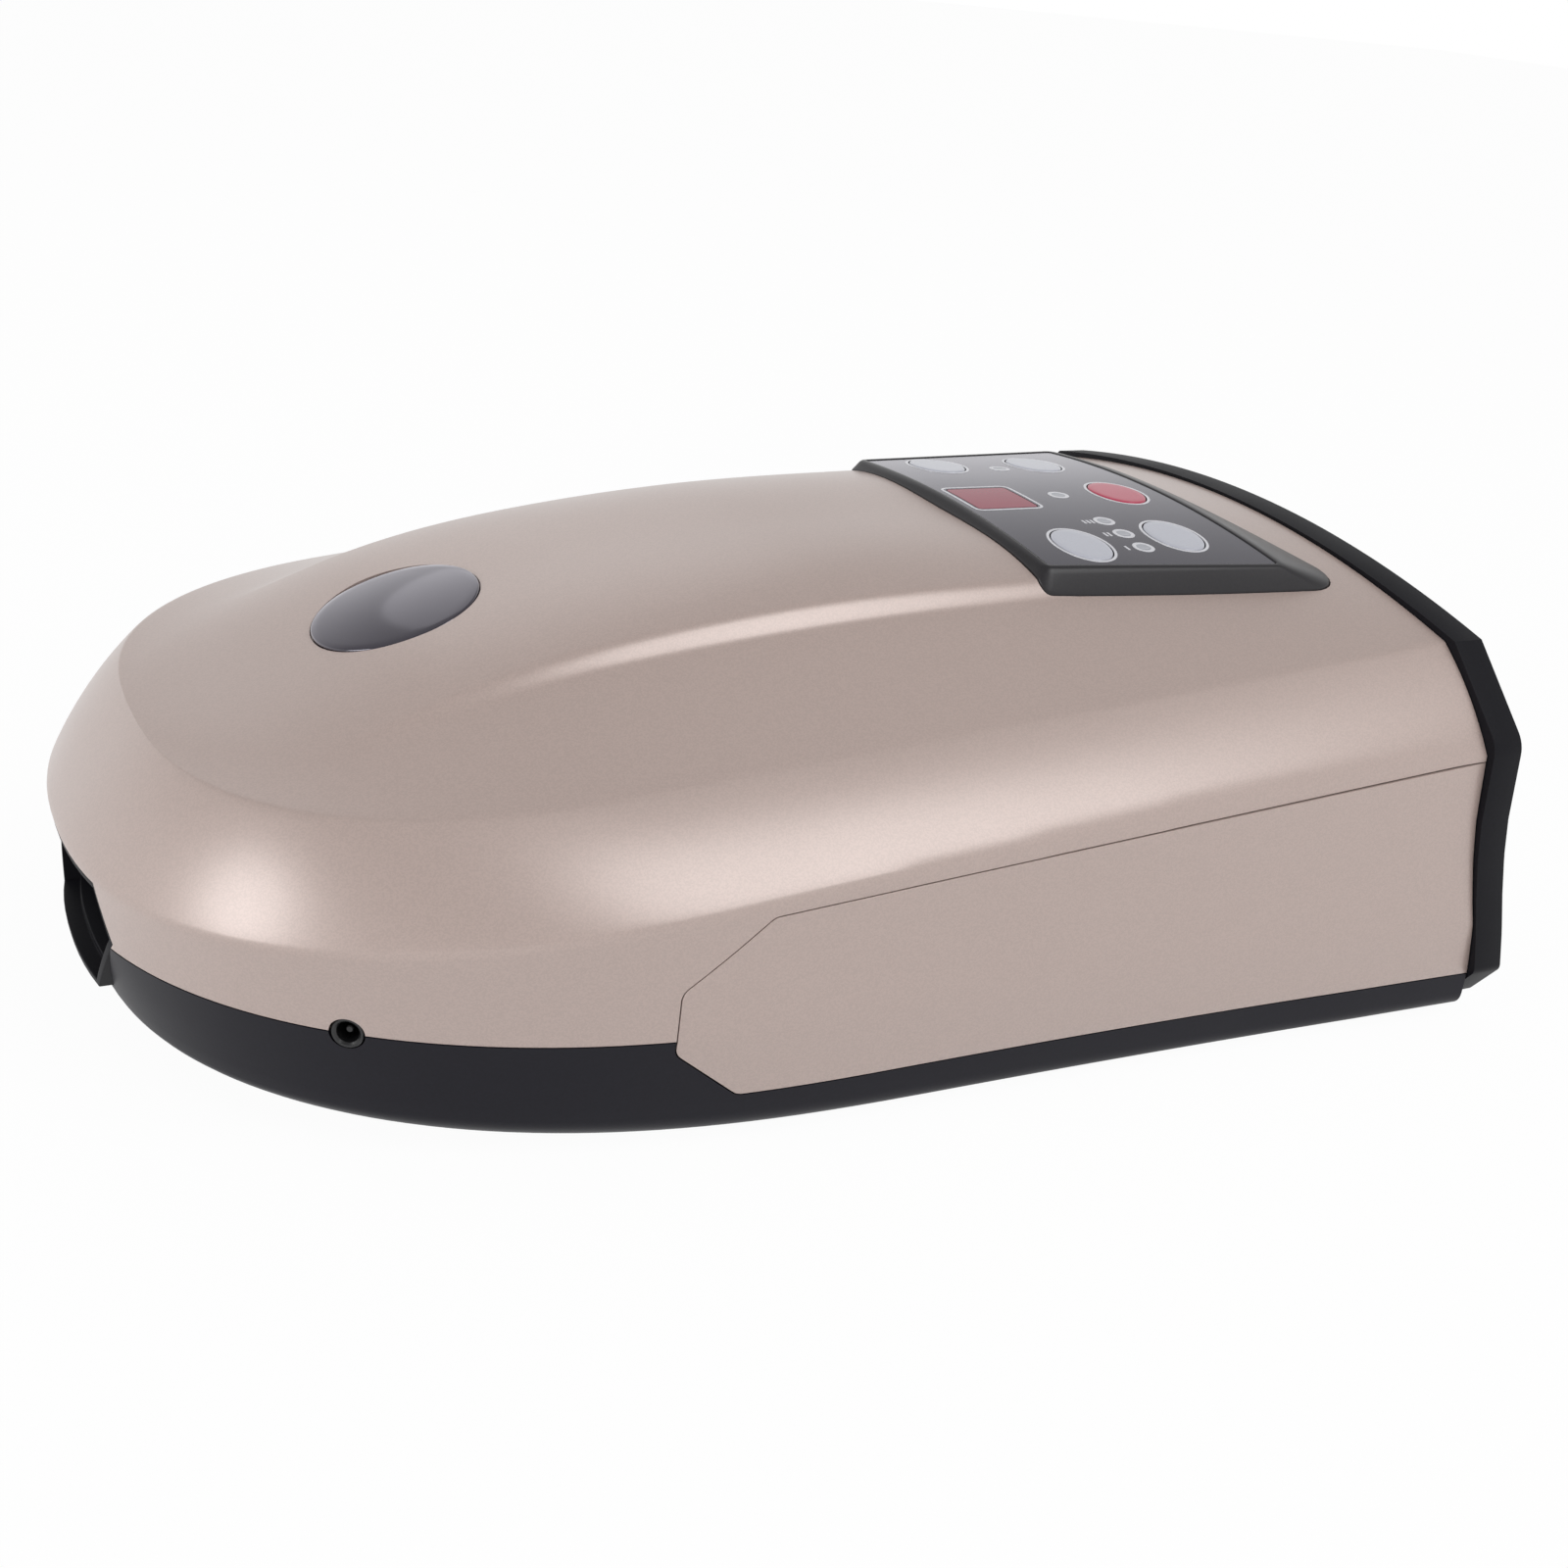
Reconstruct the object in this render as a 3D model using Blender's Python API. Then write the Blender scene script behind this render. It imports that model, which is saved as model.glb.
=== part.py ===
"""Table-top hand massager: a long casing with a hand tunnel from the entry trim to a finger window.

+X runs from the nose to the hand entry, +Z is up, the origin is on the ground under the middle.
"""

import math

import bmesh
import bpy
from mathutils import Matrix, Vector

# Whole casing
LENGTH = 0.330
HEIGHT = 0.107
HALF_WIDTH = 0.1049
WALL = 0.0025
GAP = 0.0003
OVERRUN = 0.006
REAR_LEAN = 0.0033
HEEL_REACH = 0.0084
TRIM_DEPTH = 0.0091

# Crease between the lower wall and the shoulder
CREASE_REAR_SPREAD = 0.0012
CREASE_NOSE_Z = 0.0448
CREASE_MID_Z = 0.0633
CREASE_REAR_Z = 0.0738
CREASE_STRAIGHT_SHARE = -0.14273
CREASE_POWER = 2.3

# Crease between the shoulder and the deck
DECK_INSET = 0.0214
DECK_REAR_INSET = 0.0199
DECK_NOSE_INSET = 0.0170
DECK_NOSE_Z = 0.0698
DECK_MID_Z = 0.0818
DECK_REAR_Z = 0.0958
DECK_STRAIGHT_SHARE = -0.18788
DECK_POWER = 2.5
SHOULDER_LEAN_SHARE = 0.40
SHOULDER_RISE_SHARE = 0.58

# Split line between the upper shell and the base
SPLIT_SPREAD = 0.0015
SPLIT_REAR_SPREAD = 0.0052
SPLIT_NOSE_Z = 0.0311
SPLIT_MID_Z = 0.0290
SPLIT_REAR_Z = 0.0284
SPLIT_STRAIGHT_SHARE = -0.06242

# Lowest line of the base wall, and the edge of its flat floor
SILL_INSET = 0.0010
SILL_REAR_SPREAD = 0.0011
SILL_NOSE_INSET = 0.0085
SILL_NOSE_Z = 0.0082
SILL_MID_Z = 0.0027
SILL_REAR_Z = 0.0026
SILL_STRAIGHT_SHARE = 0.02364
SILL_POWER = 2.6
FLOOR_Z = 0.0020
FLOOR_INSET = 0.0052
FLOOR_NOSE_INSET = 0.0280

# Deck along the middle, and the hood that rises from it to the controls
SPINE_TOP_Z = 0.1080
SPINE_SHARES = (
    (0.0, 0.0),
    (0.092, 0.199),
    (0.197, 0.535),
    (0.322, 0.790),
    (0.487, 0.957),
    (0.668, 1.0),
    (0.849, 0.982),
    (1.0, 0.953),
)
CROWN_POWER = 3.0
REAR_FLATNESS = 2.0
FOOT_RISE_SHARE = 0.65
HOOD_HALF = 0.0470
HOOD_FLANK = 0.0045
HOOD_RISE_SHARE = 0.103
HOOD_START_SHARE = -0.424
HOOD_FULL_SHARE = -0.212

# Control housing
BEZEL_FRONT_SHARE = 0.16515
BEZEL_REAR_SHARE = 0.43939
BEZEL_FRONT_HALF = 0.0500
BEZEL_REAR_HALF = 0.0585
BEZEL_CORNER = 0.0110
BEZEL_FRONT_CORNER = 0.0030
BEZEL_WALL = 0.0025
BEZEL_SKIRT = 0.0055
BEZEL_PROUD = 0.0004
BEZEL_REAR_BOW = 0.0100
PLATEAU_FRONT_RIM = 0.0015
PLATEAU_SIDE_FLANK = 0.0025
PLATEAU_REAR_SLOPE = 0.0200
PLATEAU_CORNER = 0.0025
FILM_TOP_Z = 0.1102
FILM_CROWN = 0.0044
FILM_RIM = 0.0016
FILM_THICK = 0.0009
CONTROL_STRIPS = 8
CONTROL_SLICE = 0.0060

# Keys, lights and display on the film
KEY_LONG = 0.0190
KEY_WIDE = 0.0140
KEY_PROUD = 0.0003
KEY_TRAVEL = 0.0004
KEY_FLANGE = 0.0010
KEY_FLANGE_THICK = 0.0009
KEY_STEM_RADIUS = 0.0020
STEM_CLEAR = 0.0001
TIMER_SHARE = 0.22099
TIMER_Y = 0.0355
PRESSURE_SHARE = 0.5558
PRESSURE_Y = 0.0330
POWER_SHARE = 0.61326
LIGHT_SHARE = 0.40331
LIGHT_FIRST_Y = 0.0214
LIGHT_PITCH = 0.0088
FAR_LIGHT_Y = 0.0292
LIGHT_RADIUS = 0.0016
LED_SIDE = 0.0020
LED_HEIGHT = 0.0010
GUIDE_SIDE = 0.0006
GUIDE_THICK = 0.0015
DISPLAY_SHARE = 0.17127
DISPLAY_LONG = 0.0180
DISPLAY_WIDE = 0.0172
DISPLAY_CORNER = 0.0010
DISPLAY_LEDGE = 0.0012

# Control board
BOARD_THICK = 0.0016
CONTROL_BOARD_TOP_Z = 0.0970
CONTROL_BOARD_HALF = 0.0445
CONTROL_BOARD_FRONT_SHARE = 0.0442
CONTROL_BOARD_REAR_SHARE = 0.75138
BOARD_POST_RADIUS = 0.0026
BOARD_POST_INSET = 0.0035
PIN_RADIUS = 0.0011
PIN_HEAD_RADIUS = 0.0019
PIN_HEAD_HEIGHT = 0.0008
SWITCH_SIDE = 0.0060
SWITCH_HEIGHT = 0.0042
SWITCH_BUTTON_RADIUS = 0.0017
SWITCH_BUTTON_HEIGHT = 0.0009

# Badge dome
BADGE_SHARE = -0.26909
BADGE_RADIUS = 0.0199
BADGE_SEAT_DEPTH = 0.0010
BADGE_DOME = 0.0012
BADGE_EDGE = 0.0003

# Side panels, as an outline in X and Z
PANEL_FRONT_SHARE = -0.17576
PANEL_LOW_Z = 0.0133
PANEL_SEAM_Z = 0.0594
PANEL_SEAM_SLOPE_SHARE = 0.0823
PANEL_TOP_CUT_RUN = 0.0193
PANEL_TOP_CUT_DROP = 0.0150
PANEL_LOW_CUT_RUN = 0.0155
PANEL_LOW_CUT_RISE = 0.0130
PANEL_CORNER = 0.0036
PANEL_REACH = 0.0075

# Finger window in the nose, and the chute behind it
WINDOW_TOP_Z = 0.0440
WINDOW_LOW_Z = 0.0150
WINDOW_SIDE_Z = 0.0325
WINDOW_TOP_HALF = 0.0320
WINDOW_SIDE_HALF = 0.0380
WINDOW_LOW_HALF = 0.0250
WINDOW_LEDGE = 0.0016
WINDOW_LEDGE_DEPTH = 0.0040
WINDOW_FRAME_DEPTH = 0.0160
WINDOW_SINK = 0.0004
WINDOW_LEAN = 0.0020
LINER_WALL = 0.0016
LINER_REAR_HALF = 0.0640
LINER_REAR_LOW_Z = 0.0270
LINER_REAR_TOP_Z = 0.0690
LINER_SIDE_INSET = 0.0060

# Power inlet
JACK_SHARE = -0.36727
JACK_HOLE_RADIUS = 0.0024
JACK_COLLAR_RADIUS = 0.0035
JACK_COLLAR_DEPTH = 0.0056
JACK_BARREL_RADIUS = 0.0048
JACK_DEPTH = 0.0140
JACK_SOCKET_DEPTH = 0.0090
JACK_PIN_RADIUS = 0.0008

# Hand tunnel and its trays
TUNNEL_HALF = 0.0660
TRAY_WALL = 0.0020
TRAY_FRONT_SHARE = -0.14545
TRAY_END_CLEAR = 0.0008
TRAY_FLOOR_Z = 0.0135
TRAY_SPLIT_Z = 0.0480
TRAY_ROOF_Z = 0.0835
TRAY_CORNER = 0.0080
TRAY_POST_RADIUS = 0.0040
TRAY_POST_FRONT_INSET = 0.0045
TRAY_POST_REAR_INSET = 0.0065
TRAY_POST_Y = 0.0530

# Entry trim
MOUTH_HALF = 0.0700
MOUTH_LOW_Z = 0.0250
MOUTH_TOP_Z = 0.0725
MOUTH_CORNER = 0.0150
TRIM_FACE = 0.0030
TRIM_RIM = 0.0028
TRIM_SHOULDER_HALF = 0.0878
TRIM_SHOULDER_Z = 0.0968
TRIM_CHEEK_Z = 0.0770
TRIM_CHEEK_HALF = 0.1079
TRIM_LOW_HALF = 0.1118
TRIM_LOW_Z = 0.0144
TRIM_FOOT_HALF = 0.1035
TRIM_FOOT_Z = 0.0032
TRIM_CHEEK_ROUND = 0.0080
TRIM_ARC_STEPS = 12

# Pads and air bags
PAD_FRONT_INSET = 0.0080
PAD_REAR_INSET = 0.0045
PAD_HALF = 0.0630
PAD_CORNER = 0.0140
BAG_INSET = 0.0080
LOWER_BAG_THICK = 0.0040
PALM_PLATE_THICK = 0.0025
HEATER_THICK = 0.0004
HEATER_INSET = 0.0100
PALM_PAD_THICK = 0.0032
UPPER_BAG_THICK = 0.0050
PRESS_PLATE_THICK = 0.0025
UPPER_PAD_THICK = 0.0034
NUB_HEIGHT = 0.0011
NUB_PITCH = 0.0240
NOZZLE_RUN = 0.0640
NOZZLE_Y = 0.0500
HOSE_RADIUS = 0.0024

# Pump in the near bay
BAY_Y = 0.0835
PUMP_RUN = 0.0820
PUMP_Z = 0.0220
PUMP_RADIUS = 0.0135
PUMP_HEAD_LENGTH = 0.0260
PUMP_NOZZLE_RADIUS = 0.0021
PUMP_NOZZLE_LENGTH = 0.0060
MOTOR_RADIUS = 0.0120
MOTOR_LENGTH = 0.0320
MOTOR_SHELL = 0.0014
ROTOR_CLEAR = 0.0006
SHAFT_RADIUS = 0.0012
CRANK_RADIUS = 0.0050
CRANK_LENGTH = 0.0050
CRANK_ROOM = 0.0012
CRADLE_SIDE = 0.0022
PUMP_CRADLE_TOP_Z = 0.0125

# Valves and manifold in the near bay
MANIFOLD_LONG = 0.0560
MANIFOLD_WIDE = 0.0162
MANIFOLD_THICK = 0.0080
MANIFOLD_FRONT_SHARE = -0.16364
VALVE_LONG = 0.0180
VALVE_WIDE = 0.0160
VALVE_HEIGHT = 0.0140
VALVE_PITCH = 0.0220
PLUNGER_RADIUS = 0.0030
PLUNGER_LENGTH = 0.0110
PLUNGER_PROUD = 0.0025
PLUNGER_TRAVEL = 0.0015

# Main board and battery
MAIN_BOARD_TOP_Z = 0.0088
MAIN_BOARD_FRONT_SHARE = -0.09091
MAIN_BOARD_LONG = 0.0920
MAIN_BOARD_HALF = 0.0400
CHIP_SIDE = 0.0100
CHIP_HEIGHT = 0.0016
COIL_SIDE = 0.0080
COIL_HEIGHT = 0.0034
MAIN_PART_SHARES = ((0.35, 0.0), (0.68, 0.25), (0.55, -0.50), (0.85, -0.30))
MAIN_PART_SIZES = ((CHIP_SIDE, CHIP_HEIGHT),) * 2 + ((COIL_SIDE, COIL_HEIGHT),) * 2
PLUG_LONG = 0.0080
PLUG_WIDE = 0.0050
PLUG_HEIGHT = 0.0034
BUZZER_RADIUS = 0.0045
BUZZER_PLACE_SHARE = 0.12
BUZZER_HEIGHT = 0.0034
CELL_RADIUS = 0.0092
CELL_PITCH = 0.0187
CELL_LENGTH = 0.0670
BATTERY_RUN = 0.0740
BATTERY_LOW_Z = 0.0071
CELL_CRADLE_TOP_Z = 0.0110
LEAD_RADIUS = 0.0011

# Casing posts, screws and feet
POST_RADIUS = 0.0045
POST_TOP_Z = 0.0300
BOSS_RADIUS = 0.0042
SCREW_RADIUS = 0.0014
SCREW_CLEAR = 0.0002
SCREW_HEAD_RADIUS = 0.0029
SCREW_HEAD_HEIGHT = 0.0020
SCREW_SEAT_Z = 0.0200
SCREW_LENGTH = 0.0160
TRAY_SCREW_LENGTH = 0.0080
FOOT_RADIUS = 0.0070
FOOT_SEAT = 0.0010
POST_PLACE_SHARES = ((-0.291, 0.59), (0.430, 0.80))
FOOT_PLACE_SHARES = ((-0.350, 0.430), (0.360, 0.800))

# Smoothness of the solids
STRAIGHT_STEPS = 6
NOSE_STEPS = 9
ROUND_STEPS = 20
HOLE_STEPS = 8
KEY_STEPS = 16
BADGE_STEPS = 30
CORNER_STEPS = 3
SPLIT_STEPS = 16
WINDOW_STEPS = 3
LINER_STEPS = 4
CRADLE_STEPS = 8
PAD_COLUMNS = 14
PAD_ROWS = 8
PAD_EDGE_POWER = 6
PAD_EDGE_SHARE = 0.45
PAD_CORNER_SHARE = 0.06
TUBE_STEP_SHARE = 6.0
SPLIT_SPARE_SHARE = 0.04
HEEL_SHARES = ((0.0, 1.0), (0.13, 0.95), (0.235, 0.70), (0.335, 0.40), (0.44, 0.14), (0.54, 0.0))
ROUND_START_SHARE = 0.18

REAR_X = LENGTH / 2
NOSE_X = -LENGTH / 2
SHELL_REAR_X = REAR_X - TRIM_DEPTH - GAP

# Places along the casing
CREASE_STRAIGHT_X = CREASE_STRAIGHT_SHARE * LENGTH
DECK_STRAIGHT_X = DECK_STRAIGHT_SHARE * LENGTH
SPLIT_STRAIGHT_X = SPLIT_STRAIGHT_SHARE * LENGTH
SILL_STRAIGHT_X = SILL_STRAIGHT_SHARE * LENGTH
BEZEL_FRONT_X = BEZEL_FRONT_SHARE * LENGTH
BEZEL_REAR_X = BEZEL_REAR_SHARE * LENGTH
BADGE_X = BADGE_SHARE * LENGTH
PANEL_FRONT_X = PANEL_FRONT_SHARE * LENGTH
JACK_X = JACK_SHARE * LENGTH
TRAY_FRONT_X = TRAY_FRONT_SHARE * LENGTH
MAIN_BOARD_FRONT_X = MAIN_BOARD_FRONT_SHARE * LENGTH
TIMER_X = BEZEL_FRONT_X + TIMER_SHARE * (BEZEL_REAR_X - BEZEL_FRONT_X)
PRESSURE_X = BEZEL_FRONT_X + PRESSURE_SHARE * (BEZEL_REAR_X - BEZEL_FRONT_X)
POWER_X = BEZEL_FRONT_X + POWER_SHARE * (BEZEL_REAR_X - BEZEL_FRONT_X)
LIGHT_X = BEZEL_FRONT_X + LIGHT_SHARE * (BEZEL_REAR_X - BEZEL_FRONT_X)
DISPLAY_X = BEZEL_FRONT_X + DISPLAY_SHARE * (BEZEL_REAR_X - BEZEL_FRONT_X)
CONTROL_BOARD_FRONT_X = BEZEL_FRONT_X + CONTROL_BOARD_FRONT_SHARE * (BEZEL_REAR_X - BEZEL_FRONT_X)
CONTROL_BOARD_REAR_X = BEZEL_FRONT_X + CONTROL_BOARD_REAR_SHARE * (BEZEL_REAR_X - BEZEL_FRONT_X)
HOOD_START_X = HOOD_START_SHARE * LENGTH
HOOD_FULL_X = HOOD_FULL_SHARE * LENGTH
TRAY_REAR_X = REAR_X - TRIM_DEPTH - REAR_LEAN * TRAY_ROOF_Z / HEIGHT - TRAY_END_CLEAR
TRAY_POST_FRONT_X = TRAY_FRONT_X + TRAY_POST_FRONT_INSET
TRAY_POST_REAR_X = TRAY_REAR_X - TRAY_POST_REAR_INSET
PAD_FRONT_X = TRAY_FRONT_X + PAD_FRONT_INSET
PAD_REAR_X = TRAY_REAR_X - PAD_REAR_INSET
MANIFOLD_FRONT_X = MANIFOLD_FRONT_SHARE * LENGTH
MANIFOLD_X = MANIFOLD_FRONT_X + MANIFOLD_LONG / 2
NOZZLE_X = MANIFOLD_FRONT_X + NOZZLE_RUN
PUMP_X = MANIFOLD_X + PUMP_RUN
MAIN_BOARD_REAR_X = MAIN_BOARD_FRONT_X + MAIN_BOARD_LONG
BATTERY_X = MAIN_BOARD_FRONT_X + BATTERY_RUN


# Start from an empty scene
for old in list(bpy.data.objects):
    bpy.data.objects.remove(old, do_unlink=True)


def material(name, color, roughness, metallic=0.0):
    made = bpy.data.materials.new(name)
    made.use_nodes = True
    shader = made.node_tree.nodes["Principled BSDF"]
    shader.inputs["Base Color"].default_value = (*color, 1.0)
    shader.inputs["Roughness"].default_value = roughness
    shader.inputs["Metallic"].default_value = metallic
    return made


CHAMPAGNE = material("champagne_paint", (0.46, 0.37, 0.33), 0.34, 0.45)
BLACK = material("satin_black", (0.020, 0.019, 0.023), 0.42)
GLOSS_BLACK = material("gloss_black", (0.012, 0.012, 0.015), 0.10)
KEY_WHITE = material("key_white", (0.62, 0.64, 0.72), 0.35)
KEY_RED = material("key_red", (0.58, 0.06, 0.10), 0.35)
WINDOW_RED = material("window_red", (0.30, 0.03, 0.07), 0.12)
LIGHT_CLEAR = material("light_pipe", (0.75, 0.76, 0.80), 0.20)
BOARD_GREEN = material("board_green", (0.02, 0.16, 0.07), 0.45)
CHIP_BLACK = material("chip_black", (0.03, 0.03, 0.03), 0.50)
STEEL = material("steel", (0.55, 0.55, 0.56), 0.30, 1.0)
RUBBER = material("rubber", (0.03, 0.03, 0.03), 0.80)
GREY_PLASTIC = material("grey_plastic", (0.16, 0.16, 0.17), 0.50)
WHITE_PLASTIC = material("white_plastic", (0.62, 0.62, 0.60), 0.45)
BAG_FILM = material("bag_film", (0.50, 0.52, 0.55), 0.40)
PAD_FABRIC = material("pad_fabric", (0.045, 0.042, 0.045), 0.90)
HEATER_FILM = material("heater_film", (0.50, 0.24, 0.06), 0.40)
CELL_WRAP = material("cell_wrap", (0.03, 0.12, 0.33), 0.35)
HOSE_RUBBER = material("hose_rubber", (0.60, 0.60, 0.58), 0.40)
LEAD_BLACK = material("lead_black", (0.02, 0.02, 0.02), 0.55)


def place(name, bm, finish, origin=(0.0, 0.0, 0.0)):
    """Turns a bmesh drawn in the casing's own frame into a named object with its origin at a point."""
    bmesh.ops.translate(bm, verts=bm.verts, vec=-Vector(origin))
    mesh = bpy.data.meshes.new(name)
    bm.to_mesh(mesh)
    bm.free()
    made = bpy.data.objects.new(name, mesh)
    made.location = Vector(origin) - Vector((MIDDLE_X, 0.0, 0.0))
    bpy.context.scene.collection.objects.link(made)
    made.data.materials.append(finish)
    mesh.shade_smooth()
    mesh.set_sharp_from_angle(angle=math.radians(35))
    return made


def cutter(name, bm):
    bmesh.ops.recalc_face_normals(bm, faces=bm.faces)
    made = place(name, bm, GREY_PLASTIC)
    made.hide_render = True
    made.display_type = "WIRE"
    return made


def combine(target, tool, operation):
    change = target.modifiers.new(tool.name, "BOOLEAN")
    change.operation = operation
    change.object = tool
    change.solver = "EXACT"


def thicken(target, thickness):
    change = target.modifiers.new("wall", "SOLIDIFY")
    change.thickness = thickness
    change.offset = -1.0
    change.use_even_offset = True


def add_box(bm, low, high):
    made = bmesh.ops.create_cube(bm, size=1.0)["verts"]
    low, high = Vector(low), Vector(high)
    size = high - low
    bmesh.ops.scale(bm, verts=made, vec=size)
    bmesh.ops.translate(bm, verts=made, vec=(low + high) / 2)
    return made


def add_rod(bm, start, end, radius, end_radius=None, steps=ROUND_STEPS):
    start, end = Vector(start), Vector(end)
    along = end - start
    turn = along.to_track_quat("Z", "Y").to_matrix().to_4x4()
    return bmesh.ops.create_cone(
        bm,
        cap_ends=True,
        segments=steps,
        radius1=radius,
        radius2=radius if end_radius is None else end_radius,
        depth=along.length,
        matrix=Matrix.Translation((start + end) / 2) @ turn,
    )["verts"]


def add_prism(bm, outline, low, high, to_point):
    """Extrudes an outline of pairs between two levels, each placed by to_point(u, v, level)."""
    lower = [bm.verts.new(to_point(u, v, low)) for u, v in outline]
    upper = [bm.verts.new(to_point(u, v, high)) for u, v in outline]
    count = len(outline)
    made = [bm.faces.new(lower[::-1]), bm.faces.new(upper)]
    for i in range(count):
        j = (i + 1) % count
        made.append(bm.faces.new((lower[i], lower[j], upper[j], upper[i])))
    return made


def add_tube(bm, loops):
    """Joins closed loops of equal count one after another, and the last back to the first."""
    rings = [[bm.verts.new(point) for point in loop] for loop in loops]
    count = len(loops[0])
    for k, ring_now in enumerate(rings):
        ring_next = rings[(k + 1) % len(rings)]
        for i in range(count):
            j = (i + 1) % count
            bm.faces.new((ring_now[i], ring_now[j], ring_next[j], ring_next[i]))
    bmesh.ops.recalc_face_normals(bm, faces=bm.faces)


def flat(u, v, level):
    return Vector((u, v, level))


def sideways(u, v, level):
    return Vector((u, level, v))


def lengthways(u, v, level):
    return Vector((level, u, v))


def rounded(corners, radii, steps=CORNER_STEPS):
    """Outline with each corner turned by an arc of its own radius, or left sharp where that is zero."""
    points = []
    count = len(corners)
    for i in range(count):
        if radii[i] == 0.0:
            points.append(corners[i])
            continue
        here = Vector(corners[i])
        back = (Vector(corners[i - 1]) - here).normalized()
        onward = (Vector(corners[(i + 1) % count]) - here).normalized()
        half = back.angle(onward) / 2
        centre = here + (back + onward).normalized() * (radii[i] / math.sin(half))
        start = here + back * (radii[i] / math.tan(half)) - centre
        end = here + onward * (radii[i] / math.tan(half)) - centre
        sweep = start.angle_signed(end)
        for k in range(steps + 1):
            turned = start.copy()
            turned.rotate(Matrix.Rotation(-sweep * k / steps, 2))
            points.append(tuple(centre + turned))
    return points


def grown(outline, distance):
    """Outline moved outwards by a distance, for an outline that runs counter-clockwise."""
    points = []
    count = len(outline)
    for i in range(count):
        here = Vector(outline[i])
        back = (here - Vector(outline[i - 1])).normalized()
        onward = (Vector(outline[(i + 1) % count]) - here).normalized()
        out_back = Vector((back.y, -back.x))
        out_onward = Vector((onward.y, -onward.x))
        middle = (out_back + out_onward).normalized()
        points.append(tuple(here + middle * (distance / middle.dot(out_back))))
    return points


def oval(x, y, wide, long, steps=KEY_STEPS):
    turns = [2 * math.pi * k / steps for k in range(steps)]
    return [(x + math.cos(t) * wide / 2, y + math.sin(t) * long / 2) for t in turns]


def blend(a, b, share):
    return a + (b - a) * share


def refined(outline, steps):
    """Outline with each of its sides cut into equal steps."""
    points = []
    for i, (u, v) in enumerate(outline):
        next_u, next_v = outline[(i + 1) % len(outline)]
        points += [(blend(u, next_u, k / steps), blend(v, next_v, k / steps)) for k in range(steps)]
    return points


def soft_step(value):
    value = min(max(value, 0.0), 1.0)
    return value * value * (3 - 2 * value)


def rear_shift(z):
    """How far the hand entry lies behind its plane at a height: it leans in, and its heel runs out."""
    share = min(max(z / HEIGHT, 0.0), 1.0)
    shift = -REAR_LEAN * share
    for (low, reach), (high, next_reach) in zip(HEEL_SHARES, HEEL_SHARES[1:]):
        if low <= share <= high:
            shift += HEEL_REACH * blend(reach, next_reach, (share - low) / (high - low))
            break
    return shift


# Middle of the whole part in the casing's own frame, which is set over the origin
MIDDLE_X = (NOSE_X + REAR_X + rear_shift(TRIM_FOOT_Z)) / 2


# The casing is drawn from closed lines round it: each has a straight side and a superellipse nose
class Line:
    def __init__(self, half, rear_half, nose_x, straight_x, power, heights, lift=0.0):
        self.half = half
        self.rear_half = rear_half
        self.nose_x = nose_x
        self.straight_x = straight_x
        self.power = power
        self.heights = heights
        self.lift = lift
        self.rear_x = SHELL_REAR_X - REAR_LEAN * heights[2] / HEIGHT

    def height(self, x):
        nose_z, mid_z, rear_z = self.heights
        run = (x - self.nose_x) / (self.rear_x - self.nose_x)
        mid = -self.nose_x / (self.rear_x - self.nose_x)
        at_nose = nose_z * (run - mid) * (run - 1) / mid
        at_mid = mid_z * run * (run - 1) / (mid * (mid - 1))
        at_rear = rear_z * run * (run - mid) / (1 - mid)
        return at_nose + at_mid + at_rear + self.lift

    def at(self, station):
        """Point of the line: station 0 is the rear end, 1 the start of the nose and 2 its tip."""
        if station <= 1:
            x = blend(self.rear_x, self.straight_x, station)
            y = blend(self.half, self.rear_half, (1 - station) ** 2)
        else:
            turn = (station - 1) * math.pi / 2
            x = self.straight_x - (self.straight_x - self.nose_x) * math.sin(turn) ** (2 / self.power)
            y = self.half * max(math.cos(turn), 0.0) ** (2 / self.power)
        return Vector((x, y, self.height(x)))

    def half_at(self, x):
        if x >= self.straight_x:
            back = (x - self.straight_x) / (self.rear_x - self.straight_x)
            return blend(self.half, self.rear_half, back * back)
        run = min((self.straight_x - x) / (self.straight_x - self.nose_x), 1.0)
        return self.half * (1 - run**self.power) ** (1 / self.power)

    def nose_at(self, y):
        across = min(abs(y) / self.half, 1.0)
        bow = (1 - across**self.power) ** (1 / self.power)
        return self.straight_x - (self.straight_x - self.nose_x) * bow


CREASE = Line(
    HALF_WIDTH,
    HALF_WIDTH + CREASE_REAR_SPREAD,
    NOSE_X,
    CREASE_STRAIGHT_X,
    CREASE_POWER,
    (CREASE_NOSE_Z, CREASE_MID_Z, CREASE_REAR_Z),
)
DECK = Line(
    HALF_WIDTH - DECK_INSET,
    HALF_WIDTH - DECK_REAR_INSET,
    NOSE_X + DECK_NOSE_INSET,
    DECK_STRAIGHT_X,
    DECK_POWER,
    (DECK_NOSE_Z, DECK_MID_Z, DECK_REAR_Z),
)
DECK.rear_x = SHELL_REAR_X - REAR_LEAN
SPLIT = Line(
    HALF_WIDTH + SPLIT_SPREAD,
    HALF_WIDTH + SPLIT_REAR_SPREAD,
    NOSE_X,
    SPLIT_STRAIGHT_X,
    CREASE_POWER,
    (SPLIT_NOSE_Z, SPLIT_MID_Z, SPLIT_REAR_Z),
)
SILL = Line(
    HALF_WIDTH - SILL_INSET,
    HALF_WIDTH + SILL_REAR_SPREAD,
    NOSE_X + SILL_NOSE_INSET,
    SILL_STRAIGHT_X,
    SILL_POWER,
    (SILL_NOSE_Z, SILL_MID_Z, SILL_REAR_Z),
)
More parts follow.
